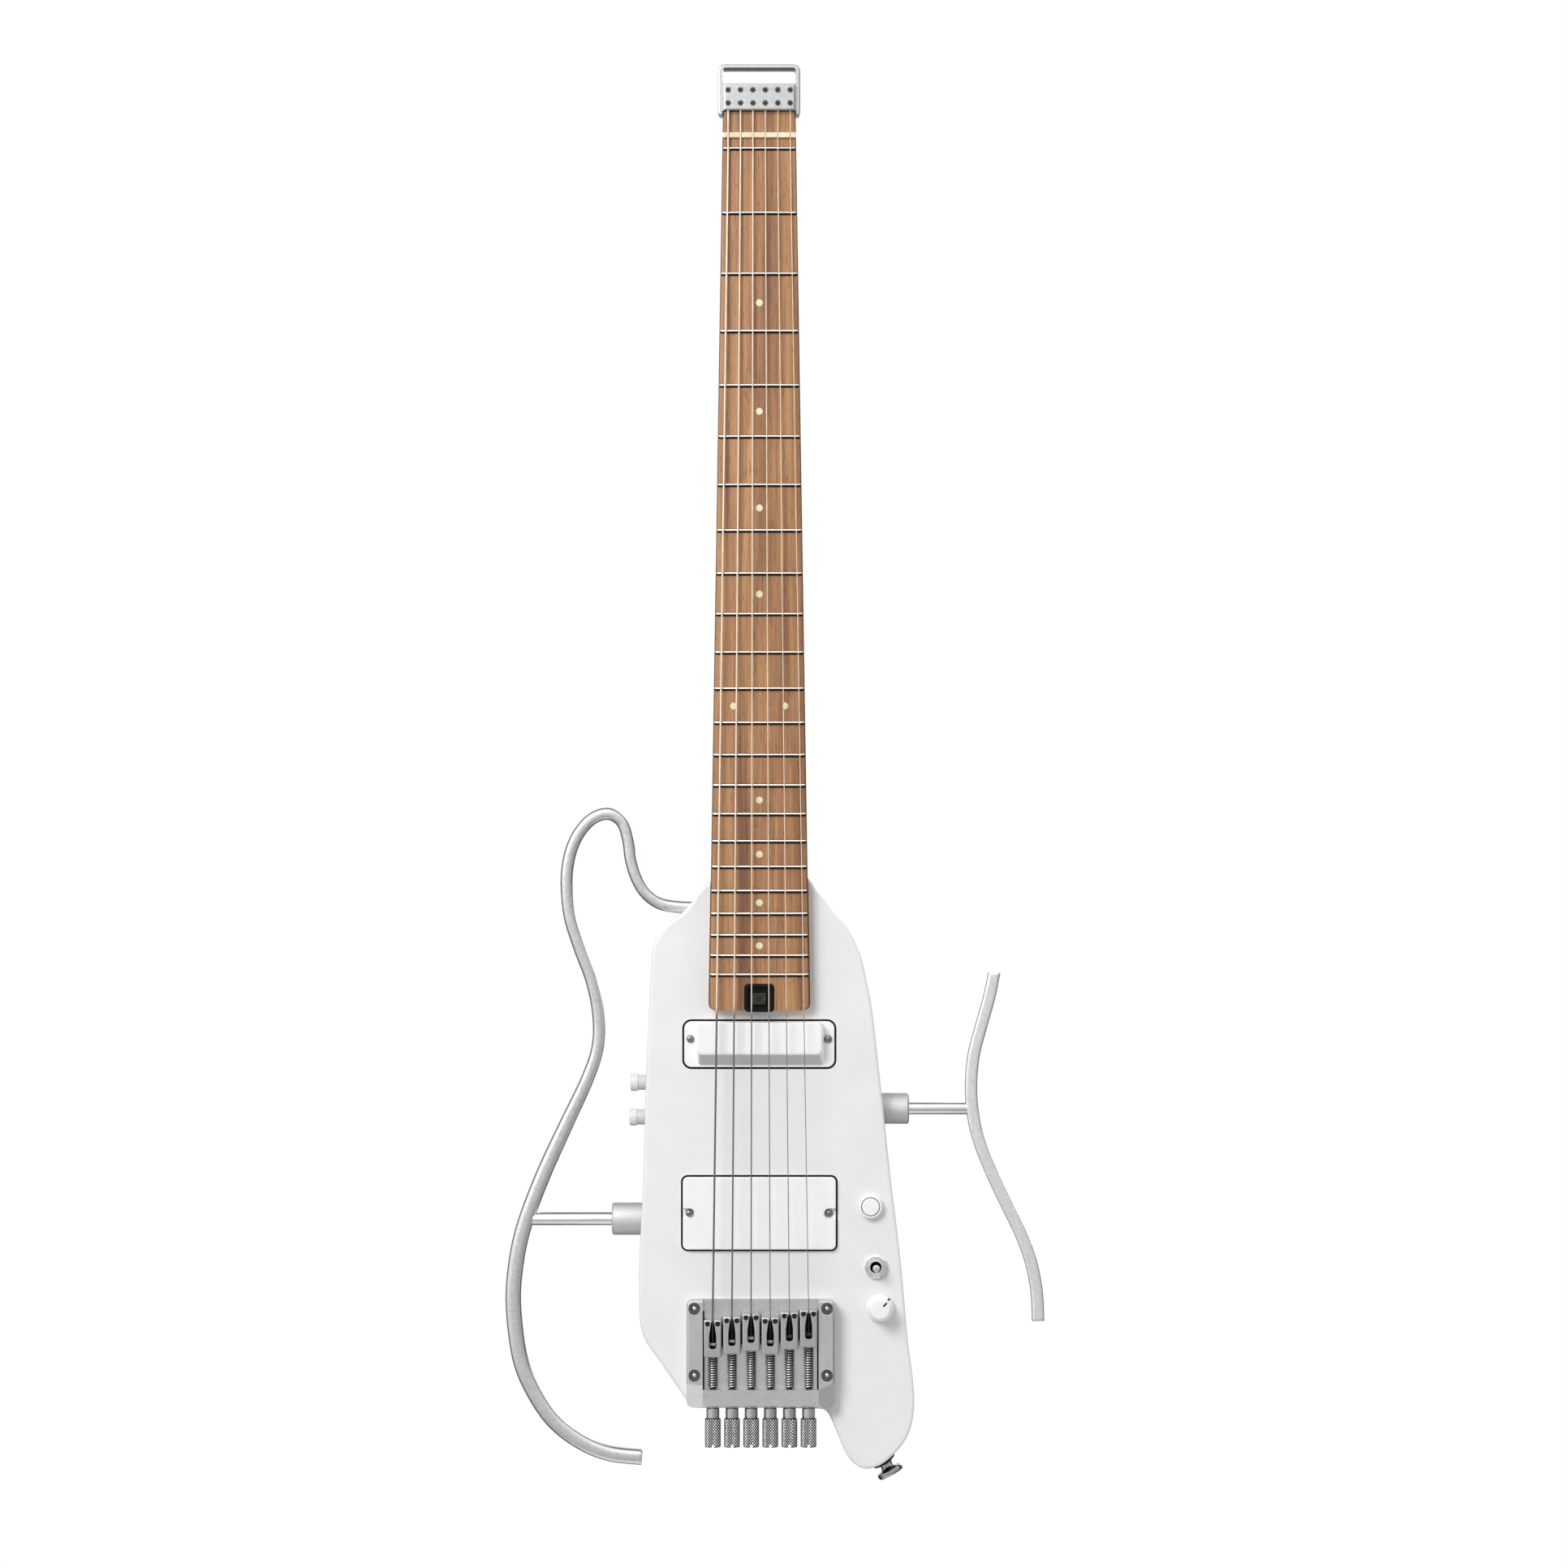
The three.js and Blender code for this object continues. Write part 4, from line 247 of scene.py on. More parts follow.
def together(*shapes):
    """Several shapes as one: the points are stacked, and each skin's faces count on from the last."""
    skins = [skinned(shape) for shape in shapes]
    starts = np.cumsum([0] + [len(points) for points, _ in skins])
    faces = [[k + start for k in face] for (_, part), start in zip(skins, starts) for face in part]
    return np.vstack([points for points, _ in skins]), faces


print("ring helpers ready:", len(rounded_levels(0, 1, 0.1, 0.1)), "levels in a rounded plate")

# %% [markdown]
# A piece is a mesh with one finish, on one moving body of the frame. Pockets could be modelled face by
# face, but an exact Boolean cuts them as a milling tool would. The cutters are thrown away, and the
# result is kept as a plain mesh, at the origin, so that patterns on Object coordinates stay put.

# %% Meshes
SHARP_ANGLE = np.radians(32)
FINISHES = {}


def mesh_from(name, shape):
    """A mesh in metres from points in millimetres, with doubled points merged into one and all faces
    turned outwards."""
    points, faces = skinned(shape)
    mesh = bpy.data.meshes.new(name)
    mesh.from_pydata((points * MM).tolist(), [], faces)
    work = bmesh.new()
    work.from_mesh(mesh)
    bmesh.ops.remove_doubles(work, verts=work.verts, dist=1e-7)
    bmesh.ops.dissolve_degenerate(work, dist=1e-8, edges=work.edges)
    bmesh.ops.recalc_face_normals(work, faces=work.faces)
    work.to_mesh(mesh)
    work.free()
    return mesh


def dress(obj, finish):
    """Gives an object one finish, in place of what it has."""
    obj.data.materials.clear()
    obj.data.materials.append(FINISHES[finish][0])


def piece(name, shape, finish, body="guitar", node=None, cuts=(), sharp=SHARP_ANGLE):
    """A piece of the guitar. Each cut is one closed shape, or several that don't touch, taken away by
    Blender's exact Boolean. The piece replaces one node of the CAD frame, or adds to it."""
    obj = put(name, mesh_from(name, shape))
    tools = [put(name + "_cut", mesh_from(name + "_cut", cut)) for cut in cuts]
    for tool in tools:
        modifier = obj.modifiers.new("cut", "BOOLEAN")
        modifier.solver = "EXACT"
        modifier.object = tool
    if tools:
        bpy.context.view_layer.update()
        evaluated = obj.evaluated_get(bpy.context.evaluated_depsgraph_get())
        obj.data = bpy.data.meshes.new_from_object(evaluated)
        obj.modifiers.clear()
    for tool in tools:
        bpy.data.objects.remove(tool)
    obj.data.shade_smooth()
    obj.data.set_sharp_from_angle(angle=sharp)
    dress(obj, finish)
    if node:
        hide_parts(node)
    if body:
        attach(obj, body)
    print(name, len(obj.data.polygons), "faces")
    return obj


def mark(obj, name, rule):
    """One value for each point of a piece, worked out by a rule from its place in millimetres, for the
    finish to read as an attribute."""
    places = np.empty(3 * len(obj.data.vertices), np.float32)
    obj.data.vertices.foreach_get("co", places)
    values = rule(places.reshape(-1, 3) / MM)
    attribute = obj.data.attributes.new(name, "FLOAT", "POINT")
    attribute.data.foreach_set("value", np.asarray(values, np.float32))


def cad(node):
    """Lowest corner, highest corner and middle of a CAD node, in millimetres."""
    low, high = (np.array(corner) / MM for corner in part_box(node))
    return low, high, (low + high) / 2


print("mesh helpers ready")

# %% [markdown]
# No finish on the guitar is one flat colour. Lacquer has a faint unevenness, cast and bead-blasted
# aluminium is mottled and full of tiny pits, moulded plastic has a fine skin, and roasted maple shows
# growth rings, fibres and short dark pores along the neck. Each finish is built from noise on the
# Object coordinates, so that it sits still on the piece, and drives colour, roughness and bump.

# %% Finish helpers
NOISE_RANGE = (0.3, 0.7)


def paint(red, green, blue):
    """Colour values from 0 to 255 as linear light: ((c + 0.055) / 1.055) to the power 2.4."""
    value = np.array([red, green, blue]) / 255
    linear = np.where(value > 0.04045, ((value + 0.055) / 1.055) ** 2.4, value / 12.92)
    return (*linear.tolist(), 1.0)


def shade(level):
    """A plain grey, to be multiplied into another colour."""
    return (level, level, level, 1)


class Nodes:
    """The nodes of a material or of the world. A socket's value is a number, a colour, or another
    node's output, which is linked."""

    def __init__(self, owner):
        owner.use_nodes = True
        self.tree = owner.node_tree

    def fill(self, socket, value):
        if isinstance(value, bpy.types.NodeSocket):
            self.tree.links.new(value, socket)
        else:
            socket.default_value = value

    def set(self, node, **values):
        for name, value in values.items():
            self.fill(node.inputs[name.replace("_", " ")], value)
        return node

    def add(self, kind, settings=None, **values):
        node = self.tree.nodes.new("ShaderNode" + kind)
        for name, value in (settings or {}).items():
            setattr(node, name, value)
        return self.set(node, **values)

    def ramp(self, value, stops):
        """Colours by value, from (place, colour) pairs."""
        node = self.add("ValToRGB", Fac=value)
        for place, _ in stops[2:]:
            node.color_ramp.elements.new(place)
        for element, (place, colour) in zip(node.color_ramp.elements, stops):
            element.position = place
            element.color = colour
        return node.outputs["Color"]

    def mapped(self, value, low, high, before, after, kind="LINEAR"):
        """The value, moved from the range low..high to before..after."""
        ends = {"From_Min": low, "From_Max": high, "To_Min": before, "To_Max": after}
        return self.add("MapRange", {"interpolation_type": kind}, Value=value, **ends).outputs["Result"]


class Finish(Nodes):
    """A material and its slot, with noise on the piece's own coordinates."""

    def __init__(self, name, slot):
        self.material = bpy.data.materials.new(name)
        super().__init__(self.material)
        self.shader = self.tree.nodes["Principled BSDF"]
        self.place = self.add("TexCoord").outputs["Object"]
        FINISHES[name] = (self.material, slot)

    def noise(self, stretch, detail=4.0, rough=0.55, warp=0.0):
        """Noise of about one lump for each 1/stretch metres along X, Y and Z."""
        vector = self.add("Mapping", Vector=self.place, Scale=stretch).outputs["Vector"]
        return self.add(
            "TexNoise", Vector=vector, Scale=1.0, Detail=detail, Roughness=rough, Distortion=warp,
        ).outputs["Fac"]

    def stored(self, name):
        """A value stored on the piece's own points."""
        return self.add("Attribute", {"attribute_name": name}).outputs["Fac"]

    def levels(self, value, low, high):
        """The value, moved from the range where most noise lies to low..high."""
        return self.mapped(value, *NOISE_RANGE, low, high)

    def multiply(self, colour, by):
        node = self.add("Mix", {"data_type": "RGBA", "blend_type": "MULTIPLY"})
        node.inputs["Factor"].default_value = 1.0
        self.tree.links.new(colour, node.inputs[6])
        self.tree.links.new(by, node.inputs[7])
        return node.outputs[2]

    def bump(self, height, distance, strength=1.0):
        """The height field as bump, with its full height in metres."""
        node = self.add("Bump", Height=height, Distance=distance, Strength=strength)
        self.set(self.shader, Normal=node.outputs["Normal"])

    def shine(self, colour, value, rough, metallic, **sockets):
        """Colour, roughness that follows a value, and how metallic the finish is."""
        roughness = self.levels(value, *rough)
        self.set(self.shader, Base_Color=colour, Roughness=roughness, Metallic=metallic, **sockets)


print("finish helpers ready")

# %% [markdown]
# Lacquer, plastic, felt, bone and cast or blasted metal share one recipe: two close colours in soft
# lumps, and much finer pits as bump. Only the sizes, the depth and the gloss differ, so they stand in
# a table. The greys were settled by comparing test renders with the photograph.

# %% Mottled finishes
MICRON = 1e-6


def mottled(name, slot, light, dark, lump, pit, depth, rough, metallic=0.0, **sockets):
    """A finish between two colours: lumps of one size vary the colour and the roughness, and pits of
    another size are its bump. Both sizes are in millimetres, and the pits' depth in micrometres."""
    finish = Finish(name, slot)
    lumps = finish.noise((1 / (lump * MM),) * 3, detail=3.0)
    colour = finish.ramp(lumps, [(0.32, paint(*dark)), (0.68, paint(*light))])
    finish.shine(colour, lumps, rough, metallic, **sockets)
    finish.bump(finish.noise((1 / (pit * MM),) * 3, detail=5.0), depth * MICRON)


MATERIALS = [  # name, slot, light, dark, lump, pit, pit depth, roughness, metallic
    ("white_lacquer", "body_lacquer", (238, 238, 238), (234, 234, 235), 30, 1.2, 2, (0.32, 0.40)),
    ("white_plastic", "white_plastic", (248, 248, 246), (244, 244, 241), 10, 0.6, 3, (0.34, 0.42)),
    ("grey_plastic", "white_plastic", (207, 207, 205), (203, 203, 201), 10, 0.6, 3, (0.34, 0.42)),
    ("knob_plastic", "white_plastic", (228, 228, 226), (223, 223, 221), 6, 0.6, 3, (0.34, 0.42)),
    ("cover_plastic", "black_plastic", (46, 46, 48), (36, 36, 38), 8, 0.7, 30, (0.38, 0.5)),
    ("cream_bone", "nut_bone", (241, 231, 203), (228, 212, 177), 5, 1, 2, (0.25, 0.35)),
    ("black_felt", "black_felt", (24, 24, 25), (9, 9, 10), 1.5, 0.3, 200, (0.9, 1.0)),
    ("circuit_green", "circuit_board", (34, 98, 62), (24, 80, 50), 4, 1, 20, (0.3, 0.5)),
    ("blasted_aluminium", "satin_aluminium", (212, 212, 212), (204, 204, 205), 2, 0.35, 4, (0.26, 0.34), 1),
    # The next row is a lit copy of the bars' aluminium, for the right bar: painted light, because the studio
    # lights that bar less than the left one.
    ("lit_copy_aluminium", "satin_aluminium", (234, 234, 234), (226, 226, 227), 2, 0.35, 4, (0.28, 0.36), 1),
    ("milled_aluminium", "satin_aluminium", (214, 214, 214), (196, 196, 197), 1.5, 0.4, 10, (0.26, 0.38), 1),
    ("bright_nickel", "steel", (238, 237, 236), (226, 225, 223), 4, 0.8, 1, (0.10, 0.18), 1),
    ("dull_steel", "steel", (150, 149, 146), (112, 111, 109), 1, 0.3, 4, (0.28, 0.42), 1),
    ("polished_steel", "steel", (186, 185, 183), (158, 157, 155), 2, 0.5, 2, (0.10, 0.18), 1),
    ("spring_steel", "steel", (186, 185, 184), (150, 149, 148), 1, 0.3, 2, (0.28, 0.38), 1),
    ("dark_steel", "steel", (74, 73, 72), (46, 46, 46), 1, 0.4, 4, (0.3, 0.5), 1),
    ("dark_iron", "steel", (88, 88, 89), (66, 66, 67), 1, 0.4, 4, (0.35, 0.5), 0.3),
    ("black_steel", "steel", (34, 34, 34), (22, 22, 22), 1, 0.4, 4, (0.4, 0.6), 0.2),
]
for row in MATERIALS:
    mottled(*row)
mottled(
    "black_plastic", "black_plastic", (12, 12, 13), (6, 6, 7), 6, 0.5, 10, (0.42, 0.55),
    Specular_IOR_Level=0.14,
)
print(len(FINISHES), "mottled finishes")

# %% [markdown]
# Brushed metal carries fine scratches along one direction. Noise stretched along the scratches gives
# them, in the colour, the roughness and the bump. Frets, knurls and strings take their colour from a
# value stored on their own points, because it follows the shape and not a place. That colour is
# painted light: a painted highlight on each fret's crown and painted shade on its flank, painted
# shade in the knurls' grooves, and on the strings a painted reflection of the board and painted
# shade in the saddles.

# %% Brushed, lined and wound metals
FULL = shade(1)


def brushed(name, light, dark, stretch, rough, depth=6e-6):
    """A metal whose noise is stretched along the scratches."""
    finish = Finish(name, "satin_aluminium")
    scratches = finish.noise(stretch, detail=6.0, rough=0.7)
    patches = finish.noise((60, 60, 60), detail=2.0)
    colour = finish.ramp(scratches, [(0.3, paint(*dark)), (0.7, paint(*light))])
    colour = finish.multiply(colour, finish.ramp(patches, [(0.3, shade(0.93)), (0.7, FULL)]))
    finish.shine(colour, scratches, rough, 1.0)
    finish.bump(scratches, depth)


def lined(name, attribute, stops, rough):
    """A metal whose colour follows a value stored on the piece's own points, over a faint mottle.
    The value paints highlight and shade that follow the shape.
    """
    finish = Finish(name, "steel")
    colour = finish.ramp(finish.stored(attribute), [(place, paint(*rgb)) for place, rgb in stops])
    mottle = finish.noise((900, 900, 900), detail=3.0)
    colour = finish.multiply(colour, finish.ramp(mottle, [(0.3, shade(0.90)), (0.7, FULL)]))
    finish.shine(colour, mottle, rough, 1.0)
    finish.bump(mottle, 2e-6)


def wound(name, light, dark, pitch):
    """A string's metal: fine rings along Z, 2 pi times the pitch apart. Over the board it carries a
    bright and warm painted reflection of the wood, over the body it is greyer, and inside the saddle it
    is dark with painted shade."""
    finish = Finish(name, "steel")
    bands = {"wave_type": "BANDS", "bands_direction": "Z"}
    rings = finish.add("TexWave", bands, Vector=finish.place, Scale=0.05 / pitch)
    patches = finish.noise((900, 900, 120), detail=3.0)
    painted_light_stops = [(0.0, paint(252, 236, 214)), (0.5, paint(*light)), (1.0, paint(*dark))]
    colour = finish.multiply(
        finish.ramp(patches, [(0.3, shade(0.88)), (0.7, FULL)]), finish.ramp(finish.stored("shade"), painted_light_stops),
    )
    finish.shine(colour, patches, (0.22, 0.34), 1.0)
    finish.bump(rings.outputs["Fac"], pitch * 0.08, 0.5)


brushed("collar_metal", (214, 214, 214), (190, 190, 191), (2600, 240, 90), (0.60, 0.74))
brushed("rod_metal", (232, 232, 232), (218, 218, 219), (60, 1800, 1800), (0.24, 0.34))
brushed("saddle_metal", (192, 192, 191), (172, 172, 171), (240, 240, 2400), (0.28, 0.40))
brushed("bridge_metal", (208, 208, 207), (198, 198, 197), (300, 900, 900), (0.26, 0.36), 3e-6)
brushed("bail_metal", (196, 196, 196), (187, 187, 187), (700, 700, 700), (0.26, 0.36), 3e-6)
# The fret's colour is painted light: a painted highlight on the crown's upper half, and painted shade on its
# lower flank and at both edges.
lined("fret_metal", "across", [
    (0.0, (96, 86, 76)), (0.06, (120, 108, 98)), (0.14, (240, 236, 230)), (0.40, (242, 238, 232)),
    (0.50, (58, 53, 50)), (0.88, (46, 42, 40)), (1.0, (120, 104, 90)),
], (0.16, 0.24))
# The knurl's colour is painted shade: the grooves darken with their depth, and the crests stay bright.
lined("knurl_metal", "groove", [
    (0.0, (240, 240, 239)), (0.35, (222, 222, 221)), (0.70, (96, 96, 96)), (1.0, (52, 52, 52)),
], (0.36, 0.46))
wound("wound_nickel", (122, 120, 117), (84, 83, 82), 0.0003)
wound("plain_steel", (140, 139, 137), (96, 95, 94), 0.0012)
print("five brushed, two lined and two wound metals")

# %% [markdown]
# Wood is the one finish with a direction of its own. Broad bands of brown lie along the neck, warped
# a little sideways; fine fibres run inside them; and short dark pores are cut lengthwise. All three
# come from the same noise with very different stretches along Z.

# %% Wood
BAND_PLACES = (0.26, 0.42, 0.55, 0.74)


def wood(name, colours, pores, rough):
    """Three layers along Z: bands about 7 mm wide and 250 mm long, fibres under 1 mm wide and 60 mm
    long, and pores that are the noise's highest peaks only. The attribute "rim" darkens the edges as
    painted shade."""
    finish = Finish(name, name)
    bands = finish.noise((150, 150, 4.0), detail=5.0, rough=0.66, warp=0.4)
    fibres = finish.noise((1500, 1500, 16), detail=4.0, rough=0.6)
    specks = finish.noise((2600, 2600, 130), detail=1.0)
    browns = [(place, paint(*rgb)) for place, rgb in zip(BAND_PLACES, colours)]
    colour = finish.ramp(bands, browns)
    for value, stops in (
        (fibres, [(0.30, (0.78, 0.75, 0.72, 1)), (0.62, (1.06, 1.05, 1.04, 1))]),
        (specks, [(0.62, FULL), (0.72, pores)]),
        # The rim is painted shade along the board's long edges.
        (finish.stored("rim"), [(0.0, FULL), (1.0, (0.28, 0.30, 0.36, 1))]),
    ):
        colour = finish.multiply(colour, finish.ramp(value, stops))
    finish.shine(colour, fibres, rough, 0.0)
    finish.bump(fibres, 1.2e-5)


wood("fretboard_wood", [(109, 73, 50), (151, 107, 74), (178, 132, 90), (208, 159, 109)],
     (0.45, 0.38, 0.32, 1), (0.42, 0.55))
wood("neck_wood", [(168, 122, 82), (190, 144, 100), (205, 160, 116), (220, 178, 134)],
     (0.7, 0.62, 0.55, 1), (0.38, 0.48))
print("two woods")

# %% [markdown]
# The body is one slab of wood in white lacquer. Its outline is two smooth lines, one for each side,
# through points given as shares of its width and length. A short running mean softens the corners
# where the two lines meet, as sandpaper does.

# %% Body outline
BODY_WIDTH, BODY_LENGTH = 156.0, 335.0
BODY_TOP = cad("neck")[0][2] + 75.0
BODY_FRONT, BODY_BACK = 3.0, 45.0
BODY_MIDDLE = (BODY_FRONT + BODY_BACK) / 2
BODY_LEFT = [
    (-0.180, 0.007), (-0.219, 0.022), (-0.246, 0.043), (-0.282, 0.062), (-0.329, 0.077), (-0.368, 0.099),
    (-0.388, 0.124), (-0.396, 0.190), (-0.411, 0.337), (-0.422, 0.520), (-0.435, 0.638), (-0.436, 0.712),
    (-0.431, 0.756), (-0.413, 0.783), (-0.360, 0.818), (-0.266, 0.882), (-0.246, 0.894),
]
BODY_RIGHT = [
    (0.237, 0.898), (0.249, 0.904), (0.282, 0.938), (0.312, 0.972), (0.345, 0.991), (0.384, 1.000),
    (0.441, 0.993), (0.490, 0.974), (0.526, 0.954), (0.551, 0.928), (0.562, 0.890), (0.555, 0.839),
    (0.539, 0.784), (0.512, 0.646), (0.476, 0.506), (0.441, 0.355), (0.410, 0.227), (0.386, 0.168),
    (0.370, 0.135), (0.347, 0.109), (0.315, 0.081), (0.268, 0.059), (0.229, 0.033), (0.201, 0.018),
    (0.182, 0.0),
]


def on_body(shares):
    """Places on the body from shares of its width and length: x = share W, z = top - share L."""
    return np.asarray(shares, float) * (BODY_WIDTH, -BODY_LENGTH) + (0, BODY_TOP)


def softened(outline, window):
    """Each point of a closed line becomes the mean of its neighbours within the window."""
    shifts = range(-window, window + 1)
    return sum(np.roll(outline, shift, axis=0) for shift in shifts) / len(shifts)


body_outline = np.vstack([spline(on_body(BODY_LEFT)), spline(on_body(BODY_RIGHT))])
body_outline = softened(spaced(body_outline, 1.1, closed=True), 3)
print("body outline:", len(body_outline), "points")

# %% [markdown]
# Neck, board, frets and strings share one plan. The board widens in a straight line, its face is a
# slice of a wide cylinder, and the frets follow the rule of equal temperament. The plan comes before
# the body, because the body's pocket for the neck has the board's outline.

# %% Neck and board plan
BOARD_BOX, NUT_BOX = cad("fretboard"), cad("nut")
BOARD_TOP, BOARD_END = BOARD_BOX[1][2], BOARD_BOX[0][2]
NUT_TOP, NUT_BOTTOM = NUT_BOX[1][2], NUT_BOX[0][2]
WIDTH_AT_NUT, WIDTH_AT_END, BOARD_CORNER = 41.4, 57.0, 4.3
BOARD_FACE, BOARD_RADIUS = -6.0, 305.0
ZERO_FRET, SCALE_LENGTH = NUT_BOTTOM - 6.1, 647.7


def half_width(z):
    """Half of the board's width, which grows in a straight line from the nut to the end."""
    share = (NUT_TOP - np.asarray(z)) / (NUT_TOP - BOARD_END)
    return (WIDTH_AT_NUT + (WIDTH_AT_END - WIDTH_AT_NUT) * share) / 2


def face_depth(x):
    """Depth of the playing face, a slice of a cylinder: y = front + R - sqrt(R^2 - x^2)."""
    return BOARD_FACE + BOARD_RADIUS - np.sqrt(BOARD_RADIUS ** 2 - np.asarray(x) ** 2)


def fret_place(number):
    """Each fret cuts the rest of the string by the twelfth root of two."""
    return ZERO_FRET - SCALE_LENGTH * (1 - 2 ** (-np.asarray(number) / 12))


def corner_loss(z, end, radius):
    """What a round corner takes off the half width near the end: r - sqrt(r^2 - d^2), where d is how
    far a place lies inside the last r millimetres."""
    depth = np.clip(end + radius - np.asarray(z), 0, radius)
    return radius - np.sqrt(radius ** 2 - depth ** 2)


top_half, end_half = half_width(BOARD_TOP), half_width(BOARD_END)
board_corners = [
    (-top_half, BOARD_TOP), (-end_half, BOARD_END), (end_half, BOARD_END), (top_half, BOARD_TOP),
]
board_plan = eased(board_corners, [0.01, BOARD_CORNER, BOARD_CORNER, 0.01], steps=8, closed=True)
print("22nd fret at", round(float(fret_place(22)), 1), "mm")

# %% [markdown]
# Cutters are shapes too: a pocket is an outline carried straight in, and a drill is a plain cylinder.
# Seats for rods, socket and strap screw are turned in steps, like a counterbore. Each pickup's pocket
# is given by its width, height and corner radius, and by its middle.

# %% Cutters
NECK_PICKUP = (87.2, 28.2, 5.2, 0.0, cad("neck_pickup")[2][2])
BRIDGE_PICKUP = (88.7, 43.2, 3.9, 0.0, cad("bridge_pickup")[2][2])
COLLARS = {"left": cad("left_collar"), "right": cad("right_collar")}
OUTWARD = {"left": -1, "right": 1}
ROD_RADII = {"left": 3.7, "right": 3.4}
COLLAR_RADII = {"left": 9.2, "right": 8.8}
ROD_DEPTH, FIT = 28, 0.3


def pocket(outline, front, back):
    """A cutter with straight walls: an outline carried from one depth to another."""
    return plate(outline, [(front, 0), (back, 0)])


def drill(radius, start, end, sides=48):
    """A round cutter between two points."""
    start, end = np.asarray(start, float), np.asarray(end, float)
    return turned([(radius, 0), (radius, np.linalg.norm(end - start))], start, end - start, sides)


def bore(radius, place, front, back, sides=48):
    """A round cutter through the depth, at a place in X and Z."""
    x, z = place
    return drill(radius, (x, front, z), (x, back, z), sides)


def spot(node):
    """The middle of a CAD node in X and Z."""
    return cad(node)[2][[0, 2]]


def collar_seat(side):
    """Where a collar meets the body: the end of its box that faces the body's middle."""
    low, high, middle = COLLARS[side]
    return (low if OUTWARD[side] > 0 else high)[0], middle[2]


def rod_bore(side):
    """The bore for a rod, with a wider seat for its collar at the body's side."""
    seat, z = collar_seat(side)
    wall, rim = ROD_RADII[side] + FIT, COLLAR_RADII[side] + FIT
    profile = [(wall, -ROD_DEPTH), (wall, 0), (rim, 0), (rim, 15)]
    return turned(profile, (seat, BODY_MIDDLE, z), (OUTWARD[side], 0, 0))


print("cutters ready")

# %% [markdown]
# The body is routed from both faces: the neck pocket and the pickups from the front, the electronics
# bay with its two deep wells from the back. Rods, socket and strap screw enter from the sides. Its
# edges are rounded less in front than behind, where it rests against the player.

# %% Body and its pockets
FRONT_ROUND, BACK_ROUND = 1.8, 4.0
PICKUP_DEPTH, BAY_DEPTH, COVER_REBATE = 7.0, 12, 2.8
BAY = on_body([
    (-0.330, 0.300), (0.376, 0.300), (0.510, 0.880), (0.300, 0.880), (0.260, 0.790), (-0.330, 0.740),
])
BAY_OUTLINE = eased(BAY, 8, closed=True)
KNOB_WELL_FLOOR, SWITCH_WELL_FLOOR = 14, 9
KNOB_WELL = on_body([(-0.328, 0.315), (-0.200, 0.315), (-0.200, 0.445), (-0.328, 0.445)])
SWITCH_WELL = on_body([(0.310, 0.500), (0.420, 0.500), (0.505, 0.875), (0.310, 0.875)])
JACK, JACK_SINK = cad("output_socket"), 3.6
JACK_SEAT = (JACK[1][0] - JACK_SINK, BODY_MIDDLE, JACK[2][2])
STRAP_TILT = np.radians(29)
STRAP_AXIS = np.array([np.sin(STRAP_TILT), 0, -np.cos(STRAP_TILT)])
STRAP_SEAT = np.insert(on_body([0.448, 0.987]), 1, BODY_MIDDLE)

shallow = together(
    pocket(inset(board_plan, -FIT), -2, BODY_FRONT + 16),
    *[pocket(rectangle(*opening), -2, PICKUP_DEPTH) for opening in (NECK_PICKUP, BRIDGE_PICKUP)],
    pocket(inset(BAY_OUTLINE, -3.3), BODY_BACK - COVER_REBATE, BODY_BACK + 2),
    rod_bore("left"), rod_bore("right"),
    turned([(5.1, -26), (5.1, 0), (8.3, 0), (8.3, 8)], JACK_SEAT, (1, 0, 0)),
    turned([(2.3, -22), (2.3, 10)], STRAP_SEAT, STRAP_AXIS),
)
wells = together(
    pocket(eased(KNOB_WELL, 4, closed=True), KNOB_WELL_FLOOR, BODY_BACK + 3),
    pocket(eased(SWITCH_WELL, 4, closed=True), SWITCH_WELL_FLOOR, BODY_BACK + 3),
)
controls = [("push_button", 3.9), ("toggle_lever", 4.9), ("volume_knob", 3.3)]
holes = [bore(radius, spot(node), -2, 14) for node, radius in controls]
holes += [bore(1.9, spot(f"bridge_screw_{k}"), -2, 18) for k in range(1, 5)]
bay = pocket(BAY_OUTLINE, BODY_BACK - BAY_DEPTH, BODY_BACK + 2)
body_cuts = [shallow, bay, wells, together(*holes)]
body_levels = rounded_levels(BODY_FRONT, BODY_BACK, FRONT_ROUND, BACK_ROUND, 8)
piece("body_slab", plate(body_outline, body_levels), "white_lacquer", node="body", cuts=body_cuts)

# %% [markdown]
# The neck is rounded for the hand: each section behind the board is half of a superellipse, where
# |x/a|^n + |y/b|^n = 1. Near the body the power grows until the section is nearly square, because the
# heel has to fill its pocket.

# %% Neck
NECK_TOP = -26.1
HEEL_SHARES, HEEL_DEPTH = (0.79, 0.84), 18.7
DEPTH_AT_NUT, DEPTH_GAIN = 14, 3.5
HAND_POWER, HEEL_POWER = 2.3, 12
TRUSS_CHANNEL = box(-3.3, 3.3, -514.15, -46.8)
WHEEL_CHANNEL = box(-3.7, 3.7, -531, -511.8)


def smoothstep(value, low, high):
    """3t^2 - 2t^3, with t running from 0 at low to 1 at high."""
    t = np.clip((value - low) / (high - low), 0, 1)
    return t * t * (3 - 2 * t)


def board_stations(top, count, first, corner_count):
    """Heights down the board: even steps to the round corners, then r (1 - sin a) past their start."""
    corner = BOARD_END + BOARD_CORNER * (1 - np.sin(np.linspace(first, 1.5, corner_count)))
    return np.concatenate([np.linspace(top, BOARD_END + BOARD_CORNER, count), corner])


